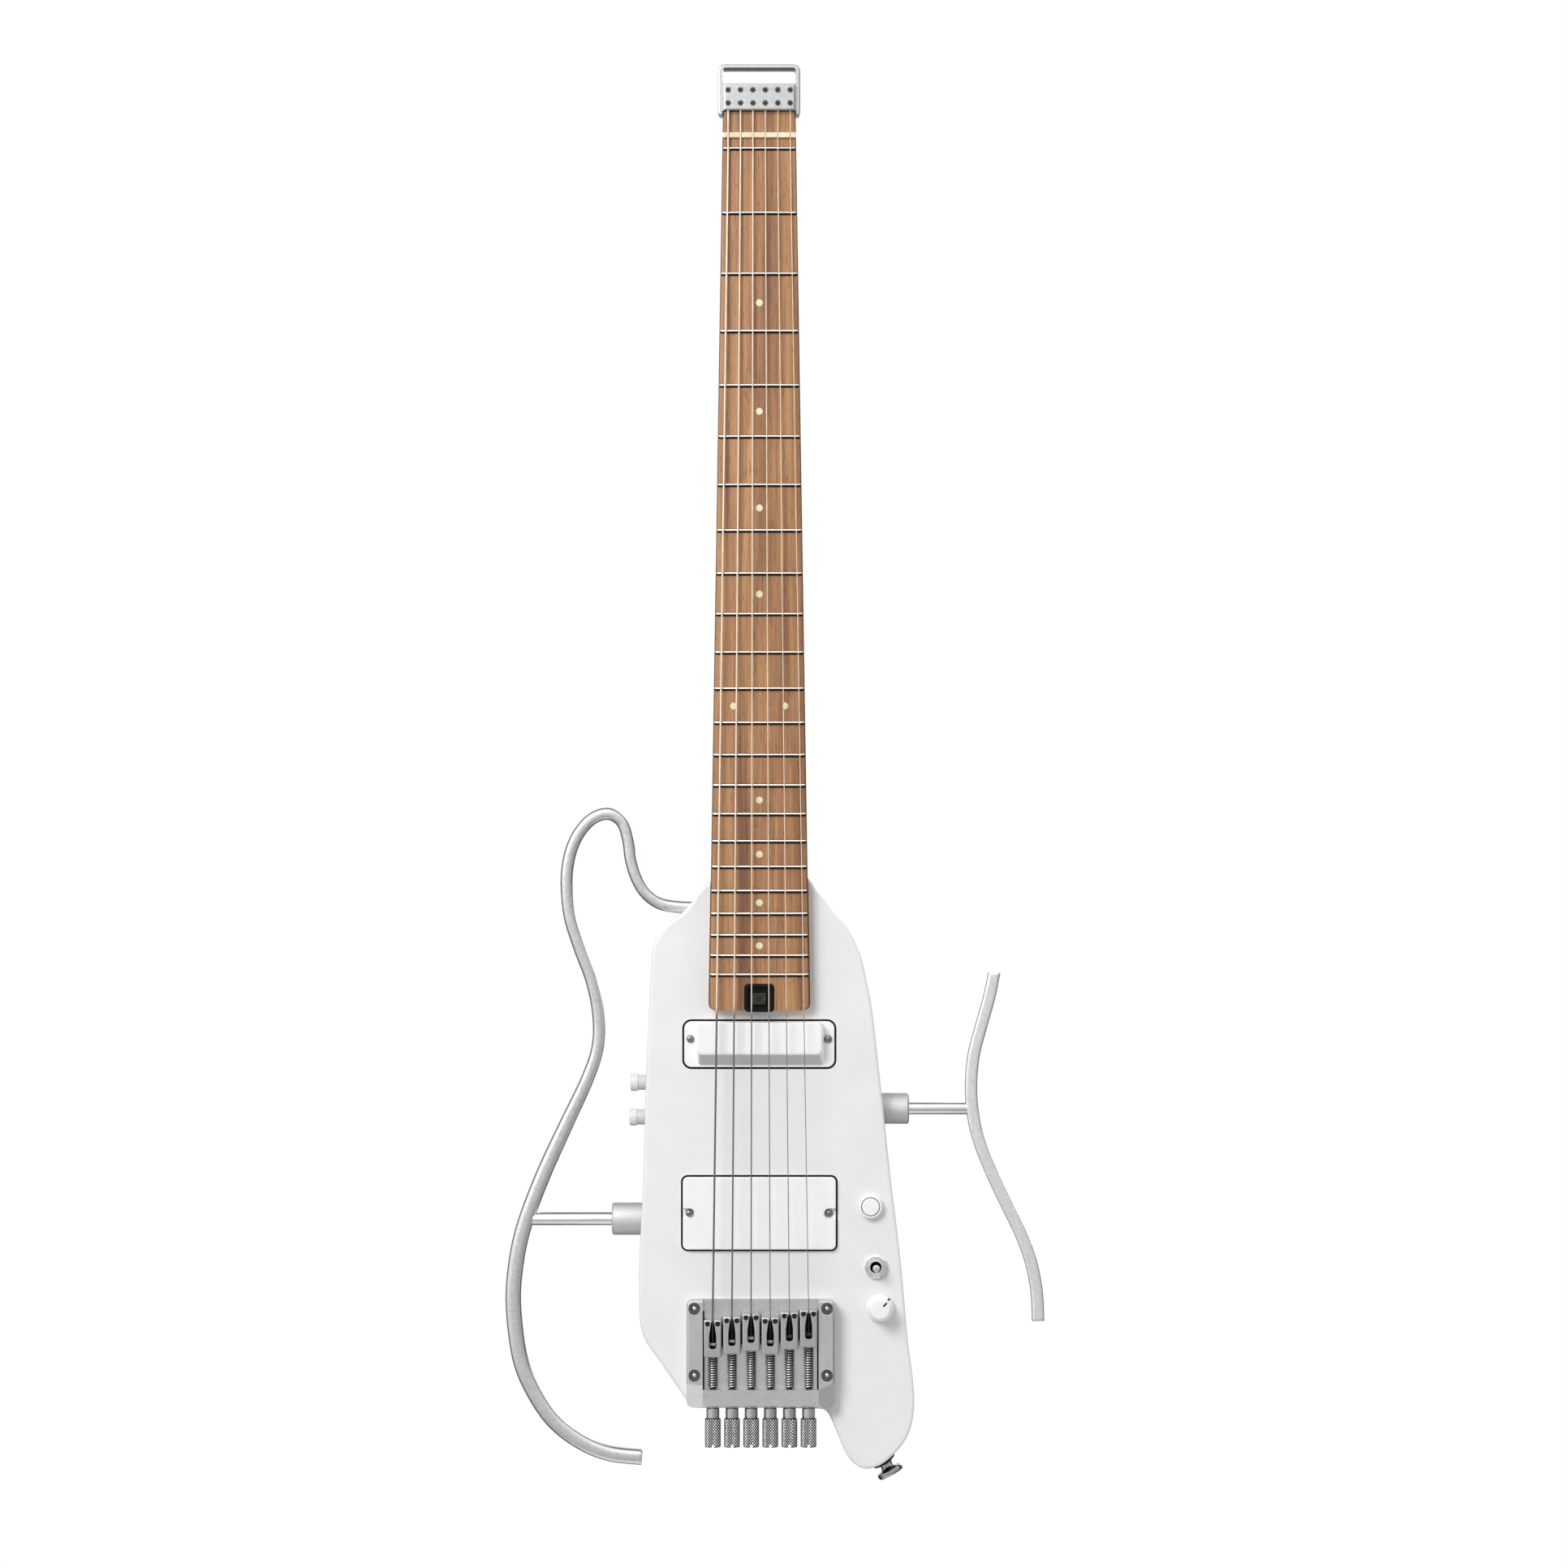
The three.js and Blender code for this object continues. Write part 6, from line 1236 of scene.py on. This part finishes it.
def painted_gap_shade(width, height, radius, x, z):
    """A thin frame of painted shade: its four rings run from the pocket's floor to its front and back,
    first along the pocket's wall and then one wall's thickness further in."""
    corners = [(0.05, SHADE_FRAME_BACK), (0.05, SHADE_FRAME_FRONT), (SHADE_FRAME_WALL, SHADE_FRAME_FRONT), (SHADE_FRAME_WALL, SHADE_FRAME_BACK)]
    rings = [slab(width - 2 * i, height - 2 * i, radius - i, x, z, [(y, 0)]) for i, y in corners]
    return skin(np.vstack(rings), loop=True)


# Each pocket gets a black frame of painted shade.
for name, opening in (("neck", NECK_PICKUP), ("bridge", BRIDGE_PICKUP)):
    piece(f"{name}_pickup_liner", painted_gap_shade(*opening), "black_plastic")

# %% [markdown]
# The neck pickup has a flat flange and a raised top that slopes away towards the bridge. The top is a
# stack of rounded rectangles that shrink as they rise. A grey strip lies on its lower slope.

# %% Neck pickup
COVER_PLAY, BOLT_INSET, BOLT_RISE = 2.3, 4.7, 3.0
HUMP_WIDTH, HUMP_HEIGHT, HUMP_NARROWING, HUMP_SLOPE = 72.1, 24.6, 1.6, 6.9
HUMP_LIFT, HUMP_FOOT, HUMP_MARGIN, HUMP_SHIFT = 8.0, 3.1, 1.6, 0.8
pickup_z = NECK_PICKUP[4]
flange_levels = rounded_levels(2.7, 6.7, 0.4, 0.2, 4)
flange = slab(NECK_PICKUP[0] - COVER_PLAY, NECK_PICKUP[1] - COVER_PLAY, 4.1, 0, pickup_z, flange_levels)
hump = []
for lift, i in [(0, 0), (0.93, 0), (0.97, 0.1), (0.99, 0.3), (1.0, 0.6), (1.0, 1.0)]:
    width, height = HUMP_WIDTH - HUMP_NARROWING * lift, HUMP_HEIGHT - HUMP_SLOPE * lift
    middle = pickup_z + NECK_PICKUP[1] / 2 - HUMP_MARGIN - height / 2
    outline = rectangle(width - 2 * i, height - 2 * i, 3.0 - i * 0.6, HUMP_SHIFT * (1 - lift), middle)
    hump.append(np.insert(outline, 1, HUMP_FOOT - HUMP_LIFT * lift, axis=1))
neck_bolts = [(side * (NECK_PICKUP[0] / 2 - BOLT_INSET), pickup_z + BOLT_RISE) for side in (-1, 1)]
flange_holes = together(*[bore(1.4, place, -2, 9, 28) for place in neck_bolts])
piece("neck_pickup_flange", flange, "white_plastic", node="neck_pickup", cuts=[flange_holes])
piece("neck_pickup_top", hump, "white_plastic")
strip_corners = [(-1, 0.03), (1, 0.03), (1, 0.93), (-1, 0.93)]
strip = [[
    (side * (34.6 - 0.7 * lift) + HUMP_SHIFT * (1 - lift), HUMP_FOOT - HUMP_LIFT * lift,
     pickup_z - 12.1 + HUMP_SLOPE * lift + out)
    for side, lift in strip_corners
] for out in (-0.06, 0.3)]
piece("neck_pickup_strip", strip, "grey_plastic")

# %% [markdown]
# The bridge pickup is a low block with a notch at each end for its screw. A notch is half a circle
# with a straight mouth that runs out past the end of the cover.

# %% Bridge pickup
NOTCH_RADIUS, NOTCH_REACH, MOUTH_REACH = 3.0, 44.15, 48
bridge_z = BRIDGE_PICKUP[4]
bridge_bolts = [(side * (NOTCH_REACH - BOLT_INSET), bridge_z) for side in (-1, 1)]
low_levels = rounded_levels(0, 6.7, 0.7, 0.2, 5)
low_size = BRIDGE_PICKUP[0] - COVER_PLAY, BRIDGE_PICKUP[1] - COVER_PLAY
low_block = slab(*low_size, 2.8, 0, bridge_z, low_levels)
turn = np.linspace(np.pi / 2, 3 * np.pi / 2, 15)
notches = []
for side, (x, z) in zip((-1, 1), bridge_bolts):
    arc = np.stack([x + side * NOTCH_RADIUS * np.cos(turn), z + NOTCH_RADIUS * np.sin(turn)], axis=1)
    mouth = [(side * MOUTH_REACH, z - NOTCH_RADIUS), (side * MOUTH_REACH, z + NOTCH_RADIUS)]
    notches.append(pocket(np.vstack([arc, mouth]), -3, 3.3))
piece("bridge_pickup_cover", low_block, "white_plastic", node="bridge_pickup",
      cuts=[together(*notches)])

# %% [markdown]
# Small domed screws with a cross recess hold the pickups. The recess is two thin slots cut one after
# the other, because one cutter whose parts cross isn't a closed shape. The back cover's screws get the
# same recess later.

# %% Pickup screws
CROSS_WIDTH = 0.5
BOLT = [
    (0, -1.5), (1.0, -1.42), (1.6, -1.15), (2.05, -0.7), (2.2, -0.2), (2.1, 0), (1.1, 0), (1.1, 13),
    (0, 13.4),
]


def cross(size, x, z, front, back):
    """Two thin slots at right angles."""
    arms = (size, CROSS_WIDTH), (CROSS_WIDTH, size)
    return [pocket(rectangle(*arm, 0.1, x, z, 2), front, back) for arm in arms]


for k in range(2):
    for name, (x, z), seat in (("neck_pickup", neck_bolts[k], 2.4), ("bridge_pickup", bridge_bolts[k], 3.0)):
        piece(f"{name}_bolt_{k + 1}", turned(BOLT, (x, seat, z), (0, 1, 0), 32), "dull_steel",
              node=f"{name}_screw_{k + 1}", cuts=cross(2.2, x, z, seat - 3, seat - 0.75))

# %% [markdown]
# The controls stand in a row on the treble side. First comes a push button in a raised ring: two
# turned shapes, one inside the other, with room between them for the button to sink.

# %% Push button and its ring
FRONT = (0, -1, 0)


def on_front(node):
    """The point on the body's face under a control."""
    x, z = spot(node)
    return (x, BODY_FRONT, z)


button_at = on_front("push_button")
button_profile = eased([
    (0, -8), (2, -8), (2, 2.6), (4.85, 2.6), (4.85, 4.6), (4.3, 4.75), (0, 4.8),
], 0.35, 4)
ring_profile = eased([
    (0, -5.7), (3.3, -5.7), (3.3, 0), (6.65, 0), (6.65, 3.6), (5.9, 4.0), (5.3, 4.0), (5.3, 0.9), (0, 0.9),
], 0.3, 3)
piece("button_cap", turned(button_profile, button_at, FRONT, 96), "white_plastic",
      body="push_button", node="push_button")
piece("button_ring", turned(ring_profile, button_at, FRONT, 96), "white_plastic",
      node="button_bezel", cuts=[bore(2.4, spot("push_button"), 6, -3)])

# %% [markdown]
# The toggle switch has a ten-sided nut, a bushing, a dark well, and a bat lever on a ball. Only the
# nut's wide rings are bent to ten sides. The lever's thin neck is straight where it passes the nut, so
# that it stays clear when it tilts, and its end is bent a little, as it stands in the photograph.

# %% Toggle switch
LEVER_BEND, BALL_RADIUS, PIVOT_DEPTH = np.array([0.35, 0, -0.55]), 3.1, 9
NUT = [
    (0, 0), (6.45, 0), (6.45, 2.3), (6.1, 2.6), (5.1, 2.6), (4.8, 2.2), (4.6, 2.2), (4.5, 3.6),
    (4.3, 3.8), (0, 3.8),
]
WIDE_RADIUS = 5.9
toggle_at = on_front("toggle_switch")
toggle_x, _, toggle_z = toggle_at
angle = np.linspace(0, 2 * np.pi, 144, endpoint=False)
serration = np.cos(np.pi / 10) / np.cos(angle % (np.pi / 5) - np.pi / 10)
nut_rings = turned(NUT, toggle_at, FRONT, 144)
centre = np.array([toggle_x, toggle_z])
flat = nut_rings[:, :, [0, 2]] - centre
wide = np.abs(flat).max(axis=(1, 2)) > WIDE_RADIUS
nut_rings[:, :, [0, 2]] = np.where(wide[:, None, None], flat * serration[None, :, None], flat) + centre
well = eased([
    (3.12, -0.55), (3.12, 5.6), (0.0, 6.9), (0.0, 7.4), (4.2, 7.4), (4.2, 3.2), (3.25, 3.0), (3.25, -0.55),
], 0.05, 2)
case = slab(8, 12, 0.5, toggle_x, toggle_z, rounded_levels(9.3, 18.3, 0.4, 0.4, 3), 3)
# The well is black as painted shade inside the bushing.
piece("toggle_well", turned(flipped(well), (toggle_x, 0, toggle_z), FRONT, 64), "black_felt")
piece("toggle_nut", nut_rings, "bright_nickel", node="toggle_switch",
      cuts=[bore(3.3, (toggle_x, toggle_z), -3, 2.6, 64)])
piece("toggle_case", case, "black_plastic")
lever_profile = [
    *[(BALL_RADIUS * np.sin(a), BALL_RADIUS * np.cos(a)) for a in np.linspace(np.pi, 0.45, 12)],
    (1.1, 3.4), (1.15, 9.9), (1.45, 11.0), (1.95, 12.6), (2.15, 13.6), (2.05, 14.4), (1.45, 14.95),
    (0, 15.05),
]
lever = turned(lever_profile, (toggle_x, PIVOT_DEPTH, toggle_z), FRONT, 48)
lever += smoothstep(-lever[..., 1:2], 0.0, 6.0) * LEVER_BEND
piece("toggle_bat", lever, "milled_aluminium", body="toggle_lever", node="toggle_lever")

# %% [markdown]
# The volume knob is a wide skirt with a slimmer cap. A dark dash on the cap and a spot on the skirt
# show where it points, half a right angle from straight up.

# %% Volume knob
POINTER_TURN = np.radians(45)
VOLUME = [
    (0, -9), (3, -9), (3, 0.3), (7.8, 0.3), (7.8, 3.2), (6.6, 4.5), (6.05, 4.9), (5.9, 11.3), (5.2, 12.0),
    (0, 12.05),
]
volume_at = on_front("volume_knob")
piece("volume_cap", turned(eased(VOLUME, 0.5, 4), volume_at, FRONT, 96), "white_plastic",
      body="volume_knob", node="volume_knob")
cosine, sine = np.cos(POINTER_TURN), np.sin(POINTER_TURN)
spin = np.array([[cosine, sine], [-sine, cosine]])
dash, dab = (
    rectangle(width, height, radius, out, 0, 4) @ spin + (volume_at[0], volume_at[2])
    for width, height, radius, out in ((3.0, 1.0, 0.4, 3.9), (1.3, 1.1, 0.5, 7.1))
)
marks = together(
    plate(dash, [(-9.1, 0.1), (-9.08, 0), (-8.8, 0)]), plate(dab, [(-1.8, 0.15), (-1.7, 0), (0.5, 0)]),
)
piece("volume_marks", marks, "black_plastic", body="volume_knob")

# %% [markdown]
# Two small knobs stand on the bass side, each with a greyer neck and a pale cap. They are turned about
# the X axis, with a shaft that reaches into the body.

# %% Side knobs
KNOB_REACH = 8.8
KNOB_NECK = eased([(0, -15), (2, -15), (2, 0), (4.3, 0), (4.3, 4.7), (0, 4.7)], 0.1, 2)
KNOB_CAP = eased([(0, 4.6), (4.9, 4.6), (4.9, 8.4), (4.4, 8.8), (0, 8.8)], 0.3, 3)
for k in (1, 2):
    low, _, middle = cad(f"side_knob_{k}")
    at, body = (low[0] + KNOB_REACH, middle[1], middle[2]), f"side_knob_{k}"
    piece(f"side_knob_neck_{k}", turned(KNOB_NECK, at, (-1, 0, 0), 64), "grey_plastic", body=body, node=body)
    piece(f"side_knob_cap_{k}", turned(KNOB_CAP, at, (-1, 0, 0), 64), "knob_plastic", body=body)

# %% [markdown]
# The output socket is a nickel barrel with a rim, open to the side for the cable's plug. One profile
# goes up its outer wall, over the rim and down its bore.

# %% Output socket
SOCKET = [
    (4.8, -27.7), (4.8, 0.3), (7.95, 0.3), (7.95, 1.5), (7.5, 1.9), (3.6, 1.9), (3.2, 1.5), (3.2, -25.7),
    (0, -25.7), (0, -27.7),
]
piece("socket_barrel", turned(eased(SOCKET, 0.15, 2), JACK_SEAT, (1, 0, 0), 72), "bright_nickel",
      node="output_socket")

# %% [markdown]
# The strap button is a polished steel spool on a black felt washer. The washer wraps a little round
# the end of the body: its inner face follows the body's own outline, and its ends close in a curve of
# the fourth power.

# %% Strap button
FELT_HALF, FELT_DEPTH_HALF, FELT_THICK, FELT_SINK = 6.8, 10.0, 2.4, -0.4
REACH_IN, REACH_ASIDE = 12, 14
SPOOL = [
    (0, -20), (1.4, -19.5), (2.0, -17), (2.0, 2.1), (4.9, 2.1), (4.6, 3.0), (3.6, 4.2), (3.6, 6.0),
    (4.4, 7.2), (7.2, 7.7), (7.7, 8.3), (7.7, 10.1), (7.2, 10.9), (6.0, 11.1), (4.5, 9.9), (0, 9.7),
]
down = STRAP_AXIS[[0, 2]]
along = np.array([-down[1], down[0]])
from_seat = body_outline - STRAP_SEAT[[0, 2]]
beside, proud = from_seat @ along, from_seat @ down
near = (proud > -REACH_IN) & (np.abs(beside) < REACH_ASIDE)
order = np.argsort(beside[near])
spread = FELT_HALF * np.sin(np.linspace(-np.pi / 2, np.pi / 2, 45) * 0.995)
rise = np.interp(spread, beside[near][order], proud[near][order])
half_depth = FELT_DEPTH_HALF * (1 - (np.abs(spread) / FELT_HALF) ** 4) ** 0.25
section = eased(box(FELT_SINK, FELT_THICK, -1, 1), 0.25, 3, closed=True)
seat = STRAP_SEAT[[0, 2]] + spread[:, None] * along
felt = seat[:, None] + (rise[:, None] + section[:, 0])[..., None] * down
felt_y = STRAP_SEAT[1] + half_depth[:, None] * section[:, 1]
felt = np.stack([felt[..., 0], felt_y, felt[..., 1]], axis=-1)
print("the felt pad starts", round(float(rise[22]), 2), "mm past the seat")
piece("strap_felt", felt, "black_felt", node="strap_washer")
piece("strap_spool", turned(eased(SPOOL, 0.5, 4), STRAP_SEAT, STRAP_AXIS, 96), "polished_steel",
      node="strap_button")

# %% [markdown]
# Each frame bar is a bar of aluminium, bent along a smooth route. Its section is a superellipse: nearly
# an ellipse for the left bar, which grows wider towards its lower end, and nearly square for the right
# one, whose upper end is cut level. The routes are shares of each bar's own width and height.

# %% Frame bars
BAR_DEPTH, BAR_STEP, AROUND = 9.0, 1.6, 64
LEFT_ROUTE = [
    (1.000, 0.146), (0.860, 0.145), (0.763, 0.139), (0.691, 0.123), (0.644, 0.100), (0.614, 0.071),
    (0.600, 0.041), (0.568, 0.013), (0.496, 0.000), (0.411, 0.008), (0.339, 0.032), (0.294, 0.065),
    (0.278, 0.106), (0.294, 0.159), (0.347, 0.210), (0.409, 0.260), (0.443, 0.311), (0.441, 0.361),
    (0.388, 0.411), (0.269, 0.487), (0.153, 0.563), (0.055, 0.641), (0.011, 0.704), (0.000, 0.764),
    (0.030, 0.840), (0.091, 0.890), (0.203, 0.941), (0.347, 0.975), (0.500, 0.994), (0.672, 1.000),
]
RIGHT_ROUTE = [
    (0.347, 0.000), (0.262, 0.077), (0.141, 0.160), (0.033, 0.244), (0.000, 0.340), (0.045, 0.426),
    (0.141, 0.495), (0.317, 0.579), (0.522, 0.663), (0.734, 0.747), (0.891, 0.830), (0.976, 0.914),
    (1.000, 1.000),
]


def swept(path, across, section):
    """A section carried along a path: a ring's points are the path's point, plus the section's first
    value times the way across, plus its second value times the back direction, +Y."""
    back = np.array([0.0, 1.0, 0.0])
    section = np.broadcast_to(section, (len(path),) + np.asarray(section).shape[-2:])
    return path[:, None] + section[..., :1] * across[:, None] + section[..., 1:] * back


def bar(route, width_start, width_end, power, level=0, widening=(0.42, 0.62)):
    """A superellipse |x/a|^n + |y/b|^n = 1 carried along the route. Its half width a grows by a smooth
    step, and a high power n makes it squarer. The first few rings may be cut level instead of square
    to the route, and the last rings at both ends shrink to break the edge."""
    path = spaced(route, BAR_STEP)
    tangent = np.gradient(path, axis=0)
    tangent /= np.linalg.norm(tangent, axis=1)[:, None]
    across = np.stack([tangent[:, 1], 0 * tangent[:, 0], -tangent[:, 0]], axis=1)
    lean = np.clip(np.arange(level) / max(level, 1), 0, 1)[:, None]
    across[:level] = lean * across[:level] + (1 - lean) * (np.sign(across[0, 0]), 0, 0)
    share = np.linspace(0, 1, len(path))
    half = (width_start + (width_end - width_start) * smoothstep(share, *widening)) / 2
    angle = np.linspace(0, 2 * np.pi, AROUND, endpoint=False)
    wide = np.sign(np.cos(angle)) * np.abs(np.cos(angle)) ** (2 / power)
    deep = np.sign(np.sin(angle)) * np.abs(np.sin(angle)) ** (2 / power) * BAR_DEPTH / 2
    sections = np.stack([half[:, None] * wide, np.broadcast_to(deep, (len(half), AROUND))], axis=-1)
    line = np.insert(path, 1, BODY_MIDDLE, axis=1)
    shrink = np.array([0.82, 0.94, 1, 1])[:, None, None]
    caps = []
    for end, inner in ((0, 1), (-1, -2)):
        points = line[end] + np.outer([0, 0, 0.35, 1], line[inner] - line[end])
        caps.append(swept(points, np.repeat(across[end][None], 4, axis=0), sections[end][None] * shrink))
    return np.vstack([caps[0], swept(line[2:-2], across[2:-2], sections[2:-2]), caps[1][::-1]])


LEFT_SIZE, RIGHT_SIZE = (108.9, -366.3), (38.2, -198.4)
COLLAR_LENGTH, ROD_SEEN = 16, 35.4
LEFT_CORNER = (-31.2 - LEFT_SIZE[0], BODY_TOP + 35.7)
RIGHT_CORNER = (COLLARS["right"][0][0] + COLLAR_LENGTH + ROD_SEEN, BODY_TOP - 54.6)
left_line = spline(np.array(LEFT_ROUTE) * LEFT_SIZE + LEFT_CORNER)
right_line = spline(np.array(RIGHT_ROUTE) * RIGHT_SIZE + RIGHT_CORNER)
for side, rings, finish in (
    ("left", bar(left_line, 7.0, 8.9, 3.0), "blasted_aluminium"),
    # The right bar's finish is a lit copy of the same aluminium: painted light.
    ("right", bar(right_line, 7.0, 7.0, 6.0, 6), "lit_copy_aluminium"),
):
    piece(f"{side}_bar", rings, finish, body=f"{side}_frame", node=f"{side}_frame")

# %% [markdown]
# A rod carries each bar and slides in the body. A sleeve round it locks it. The rod reaches from its
# bore to the bar, wherever the bar's line stands at that height.

# %% Rods and collars


def bar_x(line, z):
    """Where a bar's middle line has a height: the point of the line whose z is nearest."""
    dense = spaced(line, 0.3)
    return float(dense[np.argmin(np.abs(dense[:, 1] - z)), 0])


for side, line in (("left", left_line), ("right", right_line)):
    outward, (seat, z) = OUTWARD[side], collar_seat(side)
    length = float(COLLARS[side][1][0] - COLLARS[side][0][0])
    radius, rim = ROD_RADII[side], COLLAR_RADII[side]
    start = seat - outward * ROD_DEPTH
    reach = abs(bar_x(line, z) - outward * 2.5 - start)
    rod = eased([(0, 0), (radius - 0.6, 0), (radius, 0.8), (radius, reach), (0, reach)], 0.2, 2)
    sleeve = eased([
        (radius + FIT, 0), (rim, 0), (rim, length - 0.9), (rim - 0.9, length), (radius + 0.9, length),
        (radius + FIT, length - 0.6),
    ], 0.25, 3, closed=True)
    piece(f"{side}_slide_rod", turned(rod, (start, BODY_MIDDLE, float(z)), (outward, 0, 0), 64), "rod_metal",
          body=f"{side}_frame", node=f"{side}_rod")
    sleeve_rings = turned(sleeve, (seat, BODY_MIDDLE, float(z)), (outward, 0, 0), 96)
    piece(f"{side}_sleeve", skin(sleeve_rings, loop=True), "collar_metal",
          body=f"{side}_collar", node=f"{side}_collar")

# %% [markdown]
# The back isn't in the photograph. A flush black cover closes the electronics bay, held by six small
# screws, as on most guitars of this kind.

# %% Back cover
SCREW_HEAD = eased([(0, 0.75), (1.2, 0.7), (2.2, 0.3), (2.4, 0), (1.4, -1), (1.2, -6), (0, -6.2)], 0.15, 2)
cover = plate(inset(BAY_OUTLINE, -2.95), rounded_levels(BODY_BACK - 2.5, BODY_BACK, 0.1, 0.4, 4))
piece("rear_cover", cover, "cover_plastic", node="back_cover")
screw_line = inset(BAY_OUTLINE, 1.2)
for k, corner in enumerate(BAY, 1):
    x, z = screw_line[np.argmin(np.linalg.norm(screw_line - corner, axis=1))]
    head = turned(flipped(SCREW_HEAD), (x, BODY_BACK, z), FRONT, 32)
    piece(f"cover_screw_{k}", head, "dull_steel", cuts=cross(2.4, x, z, BODY_BACK + 0.25, BODY_BACK + 3))

# %% [markdown]
# The photograph was lit by a large soft lamp from the upper left, on pure white. The white comes from
# the world, which camera rays see at strength 1. Mirror-like metal sees a bright white above and in
# front, and a darker studio below and behind, which gives the rods and frets their dark lower
# line. Other surfaces get a plain soft light that is a little stronger from the right and the back.

# %% World
LAMP_LIGHT, UP_SHARE, LEFT_SHARE, BACK_SHARE = 0.65, 0.44, -0.19, 0.6
HEIGHT_STOPS = [
    (0.0, 0.30), (0.18, 0.42), (0.32, 0.50), (0.44, 0.64), (0.50, 0.78), (0.60, 1.1), (0.74, 1.4), (1.0, 1.4),
]
world = bpy.data.worlds.new("studio")
bpy.context.scene.world = world
studio = Nodes(world)
rays = studio.add("LightPath").outputs
axes = studio.add("SeparateXYZ", Vector=studio.add("TexCoord").outputs["Generated"]).outputs


def world_math(kind, first, second):
    """One step of arithmetic in the world's nodes."""
    node = studio.add("Math", {"operation": kind})
    studio.fill(node.inputs[0], first)
    studio.fill(node.inputs[1], second)
    return node.outputs["Value"]


def fade(value, *ends):
    """A soft step of the world's light, from one level to another."""
    return studio.mapped(value, *ends, kind="SMOOTHSTEP")


def product(*values):
    """All values multiplied, one after the other."""
    total = values[0]
    for value in values[1:]:
        total = world_math("MULTIPLY", total, value)
    return total


tilted = world_math("ADD", product(axes["Z"], UP_SHARE), product(axes["X"], LEFT_SHARE))
height_stops = [(place, shade(level)) for place, level in HEIGHT_STOPS]
height = studio.ramp(world_math("ADD", tilted, 0.5), height_stops)
behind = world_math("MAXIMUM", fade(axes["Y"], -0.25, 0.35, 1.0, 0.12), fade(axes["Y"], 0.78, 0.97, 0.0, 0.9))
sky = fade(axes["Z"], -0.9, 0.9, 0.25, 1.0)
wrap = fade(world_math("ADD", axes["X"], product(axes["Y"], BACK_SHARE)), 0.1, 0.9, 1.0, 2.3)
seen_white = world_math("MAXIMUM", rays["Is Camera Ray"], rays["Is Transmission Ray"])
mirror = product(rays["Is Glossy Ray"], product(height, behind))
diffuse = world_math("SUBTRACT", 1.0, world_math("MAXIMUM", seen_white, rays["Is Glossy Ray"]))
soft = product(product(diffuse, wrap), product(sky, LAMP_LIGHT))
strength = world_math("ADD", world_math("ADD", seen_white, mirror), soft)
studio.set(studio.tree.nodes["Background"], Color=FULL, Strength=strength)
print("world ready")

# %% [markdown]
# Two square area lamps do the rest: the key from the upper left in front, and a larger and more
# distant one behind, so that the back isn't lost in other views. The floor is a pale disc, just below
# what the camera sees.

# %% Lamps and floor
CENTRE = np.array((0.0, 0.0, -0.45))
LAMPS = [("key", (-0.8, -1.3, 0.35), 0.8, 23), ("fill_back", (1.2, 2.4, 0.4), 1.6, 22)]
FLOOR_PROFILE = [(0, 0), (430, 0), (430, -8), (0, -8)]

for name, location, size, power in LAMPS:
    data = bpy.data.lights.new(name, "AREA")
    data.shape, data.size, data.energy = "SQUARE", size, power
    lamp = put(name, data)
    lamp.location = location
    x, y, z = CENTRE - np.array(location)
    lamp.rotation_euler = (np.pi / 2 + np.arctan2(z, np.hypot(x, y)), 0, np.arctan2(-x, y))

floor_finish = Finish("pale_floor", "body_lacquer")
speckle = floor_finish.noise((40, 40, 40), detail=3.0)
floor_colour = floor_finish.ramp(speckle, [(0.3, shade(0.80)), (0.7, shade(0.84))])
floor_finish.set(floor_finish.shader, Base_Color=floor_colour, Roughness=0.9)
floor_mesh = mesh_from("floor_disc", turned(FLOOR_PROFILE, (0, -200, -1250), (0, 0, 1), 128))
floor_mesh.materials.append(floor_finish.material)
put("floor_disc", floor_mesh)
bpy.context.scene.view_settings.view_transform = "Standard"
print("studio ready")
